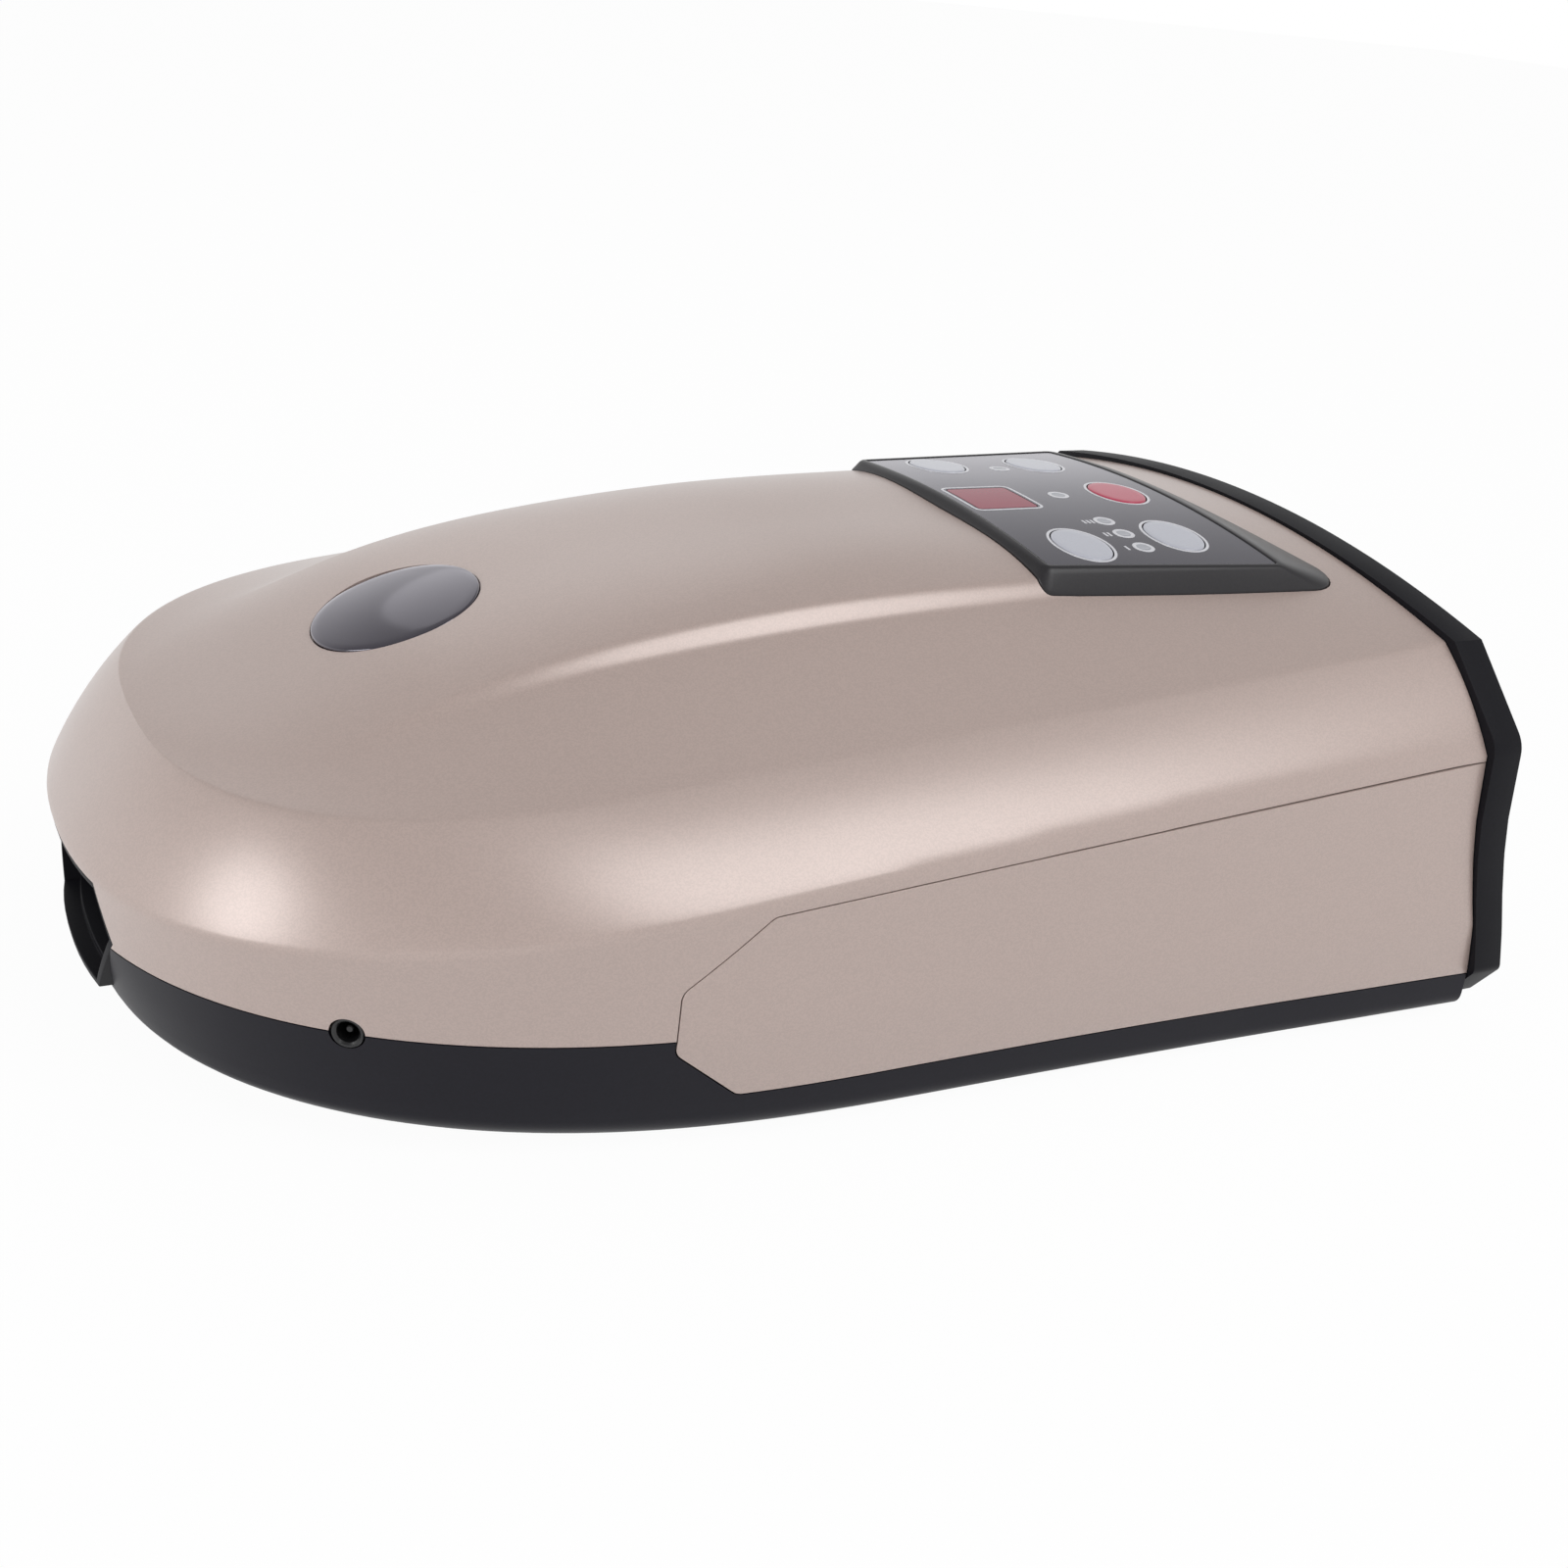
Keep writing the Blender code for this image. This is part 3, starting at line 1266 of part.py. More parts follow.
def build_entry_trim():
    bm = bmesh.new()
    add_prism(bm, trim_outline(), REAR_X - TRIM_DEPTH, REAR_X, lengthways)
    bmesh.ops.recalc_face_normals(bm, faces=bm.faces)
    trim = place("entry_trim", leaned(bm), BLACK)
    pocket = bmesh.new()
    add_prism(pocket, trim_outline(TRIM_RIM), REAR_X - TRIM_DEPTH - OVERRUN, REAR_X - TRIM_FACE, lengthways)
    pocket_tool = cutter("trim_pocket", leaned(pocket))
    collar = bmesh.new()
    add_prism(collar, mouth_outline(-TRAY_WALL), REAR_X - TRIM_DEPTH, REAR_X - TRIM_FACE / 2, lengthways)
    combine(trim, pocket_tool, "DIFFERENCE")
    combine(trim, cutter("trim_collar", leaned(collar, whole=False)), "UNION")
    mouth = bmesh.new()
    add_prism(mouth, mouth_outline(), REAR_X - TRIM_DEPTH - OVERRUN, REAR_X + OVERRUN, lengthways)
    combine(trim, cutter("trim_mouth", leaned(mouth, whole=False)), "DIFFERENCE")


def window_loop(inset, depth):
    return [Vector((nose_wall_x(y, z) + WINDOW_SINK + depth, y, z)) for y, z in window_outline(inset)]


def build_finger_window():
    ledge, step = WINDOW_LEDGE, WINDOW_LEDGE_DEPTH
    loops = [
        window_loop(0.0, WINDOW_FRAME_DEPTH),
        window_loop(0.0, 0.0),
        window_loop(ledge, 0.0),
        window_loop(ledge, step),
        window_loop(ledge * 2, step),
        window_loop(ledge * 2, step * 2),
        window_loop(ledge * 3, step * 2),
        window_loop(ledge * 3, WINDOW_FRAME_DEPTH),
    ]
    bm = bmesh.new()
    add_tube(bm, loops)
    place("finger_window_frame", bm, BLACK)


def build_tunnel_liner():
    """Soft duct from the frame of the finger window to the trays."""
    front_inset = WINDOW_LEDGE * 2 - LINER_WALL

    def section(share, inset):
        front = window_loop(front_inset + inset, WINDOW_FRAME_DEPTH + GAP)
        rear = [Vector((TRAY_FRONT_X - GAP, y, z)) for y, z in liner_rear_outline(inset)]
        swell = soft_step(share)
        loop = []
        for a, b in zip(front, rear):
            loop.append(Vector((blend(a.x, b.x, share), blend(a.y, b.y, swell), blend(a.z, b.z, swell))))
        return loop

    shares = [k / LINER_STEPS for k in range(LINER_STEPS + 1)]
    bm = bmesh.new()
    add_tube(bm, [section(s, 0.0) for s in shares] + [section(s, LINER_WALL) for s in reversed(shares)])
    place("tunnel_liner", bm, PAD_FABRIC)


def build_badge():
    edge_z = BADGE_EDGE
    profile = [(0.0, -BADGE_SEAT_DEPTH), (BADGE_RADIUS, -BADGE_SEAT_DEPTH)]
    for k in range(5):
        share = 1 - k / 4
        profile.append((BADGE_RADIUS * share, edge_z + BADGE_DOME * (1 - share * share)))
    turned("badge_cap", profile, badge_frame(), GLOSS_BLACK, steps=BADGE_STEPS)


# Controls
def build_bezel():
    bm = bmesh.new()
    foot = control_loop(0.0, on_plateau=False)
    inner_foot = control_loop(BEZEL_WALL, on_plateau=False)
    top, rim = control_loop(0.0), control_loop(FILM_RIM)
    under = control_loop(BEZEL_WALL)
    skirt = add_ring(bm, foot, on_deck(-BEZEL_SKIRT))
    outer = add_ring(bm, foot, on_deck(BEZEL_PROUD))
    crest = add_ring(bm, top, on_film(0.0))
    lip = add_ring(bm, rim, on_film(0.0))
    floor = add_ring(bm, rim, on_film(PLATE_TOP))
    ceiling = add_ring(bm, under, on_film(PLATE_BOTTOM))
    shoulder = add_ring(bm, inner_foot, on_deck(BEZEL_PROUD - BEZEL_WALL))
    inner = add_ring(bm, inner_foot, on_deck(-BEZEL_SKIRT))
    for first, second in zip((skirt, outer, crest, lip), (outer, crest, lip, floor)):
        join_rings(bm, first, second)
    cap_ring(bm, floor)
    cap_ring(bm, ceiling)
    join_rings(bm, ceiling, shoulder)
    join_rings(bm, shoulder, inner)
    join_rings(bm, inner, skirt)
    bmesh.ops.recalc_face_normals(bm, faces=bm.faces)
    bezel = place("control_bezel", bm, BLACK)
    posts = bmesh.new()
    for x, y in control_post_places():
        top_z = crown(y) + (PLATE_TOP + PLATE_BOTTOM) / 2
        add_staked_post(posts, x, y, CONTROL_BOARD_TOP_Z, -1, top_z - CONTROL_BOARD_TOP_Z)
    combine(bezel, cutter("bezel_posts", posts), "UNION")
    holes = bmesh.new()
    for x, y in KEY_PLACES.values():
        outline = grown(oval(x, y, KEY_WIDE, KEY_LONG), GAP)
        add_prism(holes, outline, CONTROL_BOARD_TOP_Z + SWITCH_HEIGHT, FILM_TOP_Z + OVERRUN, flat)
    for x, y in light_places():
        low_z = CONTROL_BOARD_TOP_Z + SWITCH_HEIGHT
        add_rod(holes, (x, y, low_z), (x, y, FILM_TOP_Z + OVERRUN), LIGHT_RADIUS + GAP, steps=HOLE_STEPS)
    add_prism(holes, display_outline(-DISPLAY_LEDGE), CONTROL_BOARD_TOP_Z, FILM_TOP_Z + OVERRUN, flat)
    combine(bezel, cutter("bezel_holes", holes), "DIFFERENCE")


def build_film():
    bm = bmesh.new()
    loop = control_loop(FILM_RIM + GAP)
    low = add_ring(bm, loop, on_film(-FILM_THICK))
    high = add_ring(bm, loop, on_film(0.0))
    join_rings(bm, low, high)
    cap_ring(bm, low)
    cap_ring(bm, high)
    bmesh.ops.recalc_face_normals(bm, faces=bm.faces)
    film = place("control_film", bm, GLOSS_BLACK)
    holes = bmesh.new()
    low_z, high_z = CONTROL_BOARD_TOP_Z, FILM_TOP_Z + OVERRUN
    for x, y in KEY_PLACES.values():
        add_prism(holes, grown(oval(x, y, KEY_WIDE, KEY_LONG), GAP), low_z, high_z, flat)
    for x, y in light_places():
        add_rod(holes, (x, y, low_z), (x, y, high_z), LIGHT_RADIUS + GAP, steps=HOLE_STEPS)
    add_prism(holes, display_outline(GAP), low_z, high_z, flat)
    combine(film, cutter("film_holes", holes), "DIFFERENCE")
    window = bmesh.new()
    add_prism(window, display_outline(), -FILM_THICK, 0.0, flat)
    place("display_window", crowned(window), WINDOW_RED)


def build_keys():
    for name, (x, y) in KEY_PLACES.items():
        bm = bmesh.new()
        cap = oval(x, y, KEY_WIDE, KEY_LONG)
        flange = grown(cap, KEY_FLANGE)
        levels = [(cap, KEY_PROUD), (cap, FLANGE_TOP), (flange, FLANGE_TOP), (flange, FLANGE_BOTTOM)]
        rings = [[bm.verts.new((u, v, level)) for u, v in outline] for outline, level in levels]
        for first, second in zip(rings, rings[1:]):
            join_rings(bm, first, second)
        bm.faces.new(rings[0])
        bm.faces.new(rings[-1])
        key = place(name, crowned(bm), KEY_RED if name == "key_power" else KEY_WHITE, (x, y, crown(y)))
        stem = bmesh.new()
        top_z = crown(y) + (FLANGE_TOP + FLANGE_BOTTOM) / 2
        add_rod(stem, (x, y, STEM_LOW_Z), (x, y, top_z), KEY_STEM_RADIUS, steps=HOLE_STEPS)
        combine(key, cutter(name + "_stem", stem), "UNION")


def build_light_guide():
    """One clear moulding: a bar under the plate with a light pipe up, and a foot down, at each light."""
    places = light_places()
    ys = [y for x, y in places]
    half = LIGHT_RADIUS + GUIDE_SIDE
    level = PLATE_BOTTOM - GAP - GUIDE_THICK
    bm = bmesh.new()
    outline = [(LIGHT_X - half, min(ys) - half), (LIGHT_X + half, min(ys) - half)]
    outline += [(LIGHT_X + half, max(ys) + half), (LIGHT_X - half, max(ys) + half)]
    add_prism(bm, outline, level, level + GUIDE_THICK, flat)
    guide = place("light_guide", crowned(bm), LIGHT_CLEAR)
    pipes = bmesh.new()
    for x, y in places:
        low = (x, y, CONTROL_BOARD_TOP_Z + LED_HEIGHT + GAP)
        add_rod(pipes, low, (x, y, crown(y)), LIGHT_RADIUS, steps=HOLE_STEPS)
    combine(guide, cutter("light_pipes", pipes), "UNION")


def add_staked_post(bm, x, y, face_z, direction, reach):
    """Post whose shoulder meets a board's face, with a pin through the board that ends in a melted head.

    Direction is that from the shoulder to the board, and reach is the post's height off the face.
    """
    frame = at(x, y, face_z)
    if direction < 0:
        frame = frame @ Matrix.Rotation(math.pi, 4, "X")
    under = BOARD_THICK + GAP
    profile = [
        (0.0, -reach),
        (BOARD_POST_RADIUS, -reach),
        (BOARD_POST_RADIUS, -GAP),
        (PIN_RADIUS, -GAP),
        (PIN_RADIUS, under),
        (PIN_HEAD_RADIUS, under),
        (PIN_HEAD_RADIUS, under + PIN_HEAD_HEIGHT),
        (0.0, under + PIN_HEAD_HEIGHT),
    ]
    add_turned(bm, frame, profile, steps=HOLE_STEPS)
    bmesh.ops.recalc_face_normals(bm, faces=bm.faces)


def build_control_board():
    bm = bmesh.new()
    low = (CONTROL_BOARD_FRONT_X, -CONTROL_BOARD_HALF, CONTROL_BOARD_TOP_Z - BOARD_THICK)
    add_box(bm, low, (CONTROL_BOARD_REAR_X, CONTROL_BOARD_HALF, CONTROL_BOARD_TOP_Z))
    board = place("control_board", bm, BOARD_GREEN)
    holes = PIN_RADIUS + GAP
    drill(board, control_post_places(), CONTROL_BOARD_TOP_Z - WALL, CONTROL_BOARD_TOP_Z + WALL, holes)
    soldered = bmesh.new()
    root_z = CONTROL_BOARD_TOP_Z - BOARD_THICK / 2
    sunk = BOARD_THICK / 2
    switch = block(SWITCH_SIDE, sunk + SWITCH_HEIGHT, SWITCH_BUTTON_RADIUS * 2, SWITCH_BUTTON_HEIGHT)
    for x, y in KEY_PLACES.values():
        add_turned(soldered, at(x, y, root_z), switch, 4, math.pi / 4)
    for x, y in light_places():
        add_turned(soldered, at(x, y, root_z), block(LED_SIDE, sunk + LED_HEIGHT), 4, math.pi / 4)
    combine(board, cutter("control_soldered", soldered), "UNION")
    module = bmesh.new()
    top_z = crown(DISPLAY_WIDE / 2) - FILM_THICK - GAP
    add_prism(module, display_outline(-DISPLAY_LEDGE - GAP), CONTROL_BOARD_TOP_Z + GAP, top_z, flat)
    bmesh.ops.recalc_face_normals(module, faces=module.faces)
    place("display_module", module, CHIP_BLACK)


def drill(target, places, low_z, high_z, radius=SCREW_RADIUS + SCREW_CLEAR, steps=HOLE_STEPS):
    bm = bmesh.new()
    for x, y in places:
        add_rod(bm, (x, y, low_z), (x, y, high_z), radius, steps=steps)
    combine(target, cutter(target.name + "_drill", bm), "DIFFERENCE")


# Power inlet and feet
def build_jack():
    collar, barrel, hole = JACK_COLLAR_RADIUS, JACK_BARREL_RADIUS, JACK_HOLE_RADIUS
    tip_z = -JACK_COLLAR_DEPTH / 3
    profile = [
        (0.0, tip_z),
        (JACK_PIN_RADIUS, tip_z),
        (JACK_PIN_RADIUS, -JACK_SOCKET_DEPTH),
        (hole, -JACK_SOCKET_DEPTH),
        (hole, -GAP),
        (collar, -GAP),
        (collar, -JACK_COLLAR_DEPTH),
        (barrel, -JACK_COLLAR_DEPTH),
        (barrel, -JACK_DEPTH),
        (0.0, -JACK_DEPTH),
    ]
    turned("dc_jack", profile, jack_frame(), CHIP_BLACK)


def build_feet():
    for k, (x, y) in enumerate(foot_places()):
        bm = bmesh.new()
        add_rod(bm, (x, y, 0.0), (x, y, FLOOR_Z + FOOT_SEAT - GAP), FOOT_RADIUS)
        place(f"rubber_foot_{k + 1}", bm, RUBBER)


# Tunnel
def tray_profile(low_z, high_z, closed_low):
    """Outline in Y and Z of a tray, a U that is closed at its floor or at its roof."""
    outer, inner = TUNNEL_HALF + TRAY_WALL, TUNNEL_HALF
    closed_z, open_z = (low_z, high_z) if closed_low else (high_z, low_z)
    inside_z = closed_z + TRAY_WALL if closed_low else closed_z - TRAY_WALL
    corner = TRAY_CORNER
    corners = [(outer, open_z), (outer, closed_z), (-outer, closed_z), (-outer, open_z)]
    corners += [(-inner, open_z), (-inner, inside_z), (inner, inside_z), (inner, open_z)]
    inner_corner = corner - TRAY_WALL
    radii = [0.0, corner, corner, 0.0, 0.0, inner_corner, inner_corner, 0.0]
    return rounded(corners, radii, steps=3)


def build_trays():
    for name, low_z, high_z, closed_low in (
        ("lower_tray", TRAY_FLOOR_Z, TRAY_SPLIT_Z - GAP / 2, True),
        ("upper_tray", TRAY_SPLIT_Z + GAP / 2, TRAY_ROOF_Z, False),
    ):
        bm = bmesh.new()
        add_prism(bm, tray_profile(low_z, high_z, closed_low), TRAY_FRONT_X, TRAY_REAR_X, lengthways)
        bmesh.ops.recalc_face_normals(bm, faces=bm.faces)
        tray = place(name, bm, GREY_PLASTIC)
        closed_z = low_z if closed_low else high_z
        hose_hole = [(NOZZLE_X, -NOZZLE_Y)]
        drill(tray, hose_hole, closed_z - OVERRUN, closed_z + OVERRUN, HOSE_RADIUS + GAP, ROUND_STEPS)
        if closed_low:
            bm = bmesh.new()
            for x, y in tray_post_places():
                bore = SCREW_RADIUS + SCREW_CLEAR
                add_rod(bm, (x, y, closed_z - WALL), (x, y, closed_z + OVERRUN), bore, steps=HOLE_STEPS)
            combine(tray, cutter("tray_bores", bm), "DIFFERENCE")


def plate(name, outline, low_z, high_z, finish):
    bm = bmesh.new()
    add_prism(bm, outline, low_z, high_z, flat)
    bmesh.ops.recalc_face_normals(bm, faces=bm.faces)
    return place(name, bm, finish)


def padded(name, base_z, thick, direction, nubs, finish):
    """Pad with a flat back, a crowned face and drawn-in edges, and a field of low round nubs."""
    bm = bmesh.new()
    bmesh.ops.create_grid(bm, x_segments=PAD_COLUMNS, y_segments=PAD_ROWS, size=1.0)
    middle_x = (PAD_FRONT_X + PAD_REAR_X) / 2
    half_x = (PAD_REAR_X - PAD_FRONT_X) / 2
    for vert in bm.verts:
        u, v = vert.co.x, vert.co.y
        edge = (1 - abs(u) ** PAD_EDGE_POWER) * (1 - abs(v) ** PAD_EDGE_POWER)
        pull = 1 - PAD_CORNER_SHARE * u * u * v * v
        x, y = middle_x + half_x * u * pull, PAD_HALF * v * pull
        rise = thick * (PAD_EDGE_SHARE + (1 - PAD_EDGE_SHARE) * edge**0.5)
        if nubs and edge > PAD_EDGE_SHARE:
            wave = math.cos(math.pi * (x - middle_x) / NUB_PITCH) * math.cos(math.pi * y / NUB_PITCH)
            rise += NUB_HEIGHT * (wave * wave - 1)
        vert.co = (x, y, base_z + direction * rise)
    rim = [edge for edge in bm.edges if edge.is_boundary]
    made = bmesh.ops.extrude_edge_only(bm, edges=rim)["geom"]
    low = [item for item in made if isinstance(item, bmesh.types.BMVert)]
    for vert in low:
        vert.co.z = base_z
    bmesh.ops.holes_fill(bm, edges=[edge for edge in bm.edges if edge.is_boundary])
    bmesh.ops.recalc_face_normals(bm, faces=bm.faces)
    return place(name, bm, finish)


def build_pads():
    plate("lower_airbag", pad_outline(BAG_INSET), LOWER_BAG_Z, LOWER_BAG_Z + LOWER_BAG_THICK, BAG_FILM)
    plate("palm_plate", pad_outline(), PALM_PLATE_Z, PALM_PLATE_Z + PALM_PLATE_THICK, WHITE_PLASTIC)
    plate("heating_film", pad_outline(HEATER_INSET), HEATER_Z, HEATER_Z + HEATER_THICK, HEATER_FILM)
    padded("palm_pad", PALM_PAD_Z, PALM_PAD_THICK, 1, True, PAD_FABRIC)
    plate("upper_airbag", pad_outline(BAG_INSET), UPPER_BAG_Z, UPPER_BAG_Z + UPPER_BAG_THICK, BAG_FILM)
    plate("press_plate", pad_outline(), PRESS_PLATE_Z, PRESS_PLATE_Z + PRESS_PLATE_THICK, WHITE_PLASTIC)
    padded("press_pad", UPPER_PAD_Z, UPPER_PAD_THICK, -1, False, PAD_FABRIC)


# Pump
def build_pump():
    y, z = -BAY_Y, PUMP_Z
    head_front_x = PUMP_X - PUMP_HEAD_LENGTH
    room = CRANK_RADIUS + CRANK_ROOM
    depth = CRANK_LENGTH + CRANK_ROOM
    radius = PUMP_RADIUS
    nozzle = PUMP_NOZZLE_RADIUS
    head = [(0.0, -PUMP_NOZZLE_LENGTH), (nozzle, -PUMP_NOZZLE_LENGTH), (nozzle, 0.0), (radius, 0.0)]
    head += [(radius, PUMP_HEAD_LENGTH), (room, PUMP_HEAD_LENGTH)]
    head += [(room, PUMP_HEAD_LENGTH - depth), (0.0, PUMP_HEAD_LENGTH - depth)]
    turned("pump_head", head, along_x(head_front_x, y, z), WHITE_PLASTIC)
    shell, inner = MOTOR_RADIUS, MOTOR_RADIUS - MOTOR_SHELL
    shaft_hole = SHAFT_RADIUS + GAP
    back, end = MOTOR_LENGTH - MOTOR_SHELL, MOTOR_LENGTH
    can = [(0.0, end), (shell, end), (shell, 0.0), (shaft_hole, 0.0), (shaft_hole, MOTOR_SHELL)]
    can += [(inner, MOTOR_SHELL), (inner, back), (0.0, back)]
    motor_x = PUMP_X + GAP
    turned("pump_motor", can, along_x(motor_x, y, z), STEEL)
    core = inner - ROTOR_CLEAR
    core_low, core_high = MOTOR_SHELL + ROTOR_CLEAR, back - ROTOR_CLEAR
    crank_low, crank_high = -GAP - CRANK_ROOM / 2 - CRANK_LENGTH, -GAP - CRANK_ROOM / 2
    rotor = [(0.0, crank_low), (CRANK_RADIUS, crank_low)]
    rotor += [(CRANK_RADIUS, crank_high), (SHAFT_RADIUS, crank_high)]
    rotor += [(SHAFT_RADIUS, core_low), (core, core_low), (core, core_high), (0.0, core_high)]
    turned("motor_rotor", rotor, along_x(motor_x, y, z), STEEL, (motor_x, y, z))
    saddle("pump_cradle", head_front_x, PUMP_X, y, z, radius + GAP, PUMP_CRADLE_TOP_Z)


def saddle(name, front_x, rear_x, y, z, radius, top_z):
    """Cradle on the base floor, hollowed to the round piece that lies in it."""
    low_z = FLOOR_Z + WALL + GAP
    reach = math.acos((z - top_z) / radius)
    outer = radius * math.sin(reach) + CRADLE_SIDE
    points = [(y - outer, low_z), (y + outer, low_z), (y + outer, top_z)]
    for k in range(CRADLE_STEPS + 1):
        turn = blend(reach, -reach, k / CRADLE_STEPS)
        points.append((y + radius * math.sin(turn), z - radius * math.cos(turn)))
    points.append((y - outer, top_z))
    bm = bmesh.new()
    add_prism(bm, points, front_x, rear_x, lengthways)
    bmesh.ops.recalc_face_normals(bm, faces=bm.faces)
    place(name, bm, GREY_PLASTIC)


def build_valves():
    bm = bmesh.new()
    low_z = FLOOR_Z + WALL + GAP
    top_z = low_z + MANIFOLD_THICK
    half = MANIFOLD_LONG / 2, MANIFOLD_WIDE / 2
    low = (MANIFOLD_X - half[0], -BAY_Y - half[1], low_z)
    add_box(bm, low, (MANIFOLD_X + half[0], -BAY_Y + half[1], top_z))
    place("air_manifold", bm, GREY_PLASTIC)
    seat_z = top_z + GAP
    for name, x in (("front", MANIFOLD_X - VALVE_PITCH / 2), ("rear", MANIFOLD_X + VALVE_PITCH / 2)):
        body = bmesh.new()
        low = (x - VALVE_LONG / 2, -BAY_Y - VALVE_WIDE / 2, seat_z)
        add_box(body, low, (x + VALVE_LONG / 2, -BAY_Y + VALVE_WIDE / 2, seat_z + VALVE_HEIGHT))
        valve = place(name + "_valve_body", body, WHITE_PLASTIC)
        plunger_z = seat_z + VALVE_HEIGHT + PLUNGER_PROUD - PLUNGER_LENGTH
        bore_z = plunger_z - PLUNGER_TRAVEL - GAP
        drill(valve, [(x, -BAY_Y)], bore_z, seat_z + VALVE_HEIGHT + OVERRUN, PLUNGER_RADIUS + GAP, 16)
        rod = bmesh.new()
        tip = (x, -BAY_Y, plunger_z + PLUNGER_LENGTH)
        add_rod(rod, (x, -BAY_Y, plunger_z), tip, PLUNGER_RADIUS, steps=HOLE_STEPS * 2)
        place(name + "_valve_plunger", rod, STEEL, (x, -BAY_Y, plunger_z + PLUNGER_LENGTH))


# Main board and battery
def build_main_board():
    bm = bmesh.new()
    under_z = MAIN_BOARD_TOP_Z - BOARD_THICK
    low = (MAIN_BOARD_FRONT_X, -MAIN_BOARD_HALF, under_z)
    add_box(bm, low, (MAIN_BOARD_REAR_X, MAIN_BOARD_HALF, MAIN_BOARD_TOP_Z))
    board = place("main_board", bm, BOARD_GREEN)
    drill(board, main_board_post_places(), under_z - WALL, MAIN_BOARD_TOP_Z + WALL, PIN_RADIUS + GAP)
    parts = bmesh.new()
    root_z = MAIN_BOARD_TOP_Z - BOARD_THICK / 2
    sunk = BOARD_THICK / 2
    for (x_share, y_share), (side, height) in zip(MAIN_PART_SHARES, MAIN_PART_SIZES):
        x = blend(MAIN_BOARD_FRONT_X, MAIN_BOARD_REAR_X, x_share)
        frame = at(x, y_share * MAIN_BOARD_HALF, root_z)
        add_turned(parts, frame, block(side, sunk + height), 4, math.pi / 4)
    for x, y in board_plugs().values():
        low = (x - PLUG_LONG / 2, y - PLUG_WIDE / 2, root_z)
        add_box(parts, low, (x + PLUG_LONG / 2, y + PLUG_WIDE / 2, MAIN_BOARD_TOP_Z + PLUG_HEIGHT))
    x = blend(MAIN_BOARD_FRONT_X, MAIN_BOARD_REAR_X, BUZZER_PLACE_SHARE)
    add_rod(parts, (x, 0.0, root_z), (x, 0.0, MAIN_BOARD_TOP_Z + BUZZER_HEIGHT), BUZZER_RADIUS)
    bmesh.ops.recalc_face_normals(parts, faces=parts.faces)
    combine(board, cutter("main_soldered", parts), "UNION")


def board_plugs():
    """Centres of the plugs on the main board, each with its open side at the board's edge."""
    edge = MAIN_BOARD_HALF - PLUG_WIDE / 2
    span = MAIN_BOARD_REAR_X - MAIN_BOARD_FRONT_X
    front, rear = MAIN_BOARD_FRONT_X + span * 0.25, MAIN_BOARD_FRONT_X + span * 0.75
    return {"control": (rear, edge), "battery": (front, edge), "motor": (rear, -edge), "jack": (front, -edge)}


def battery_section():
    """Outline in Y and Z of two stacked cells in their wrap."""
    low_z = BATTERY_LOW_Z + CELL_RADIUS
    points = []
    for middle_z, start in ((low_z, math.pi), (low_z + CELL_PITCH, 0.0)):
        for k in range(CRADLE_STEPS + 1):
            turn = start + math.pi * k / CRADLE_STEPS
            points.append((BAY_Y + CELL_RADIUS * math.cos(turn), middle_z + CELL_RADIUS * math.sin(turn)))
    return points


def build_battery():
    bm = bmesh.new()
    front_x, rear_x = BATTERY_X - CELL_LENGTH / 2, BATTERY_X + CELL_LENGTH / 2
    add_prism(bm, battery_section(), front_x, rear_x, lengthways)
    bmesh.ops.recalc_face_normals(bm, faces=bm.faces)
    place("battery_pack", bm, CELL_WRAP)
    low_z = BATTERY_LOW_Z + CELL_RADIUS
    saddle("battery_cradle", front_x, rear_x, BAY_Y, low_z, CELL_RADIUS + GAP, CELL_CRADLE_TOP_Z)


# Hoses and leads that the casing holds all the way
def run_tube(name, points, radius, finish):
    """Tube along a smooth curve through points, with even steps of about two diameters."""
    points = [Vector(point) for point in points]
    padded_points = [points[0] * 2 - points[1], *points, points[-1] * 2 - points[-2]]
    route = [points[0]]
    for i in range(1, len(padded_points) - 2):
        before, start, end, after = padded_points[i - 1 : i + 3]
        steps = max(2, round((end - start).length / (radius * TUBE_STEP_SHARE)))
        for k in range(1, steps + 1):
            t = k / steps
            curve = (end - before) * t + (before * 2 - start * 5 + end * 4 - after) * t**2
            curve += (start * 3 - before - end * 3 + after) * t**3
            route.append(start + curve / 2)
    curve = bpy.data.curves.new(name, "CURVE")
    curve.dimensions = "3D"
    curve.bevel_depth = radius
    curve.bevel_resolution = 1
    curve.use_fill_caps = True
    spline = curve.splines.new("POLY")
    spline.points.add(len(route) - 1)
    for spot, point in zip(spline.points, route):
        spot.co = (*point, 1.0)
    made = bpy.data.objects.new(name, curve)
    made.location.x = -MIDDLE_X
    bpy.context.scene.collection.objects.link(made)
    made.data.materials.append(finish)


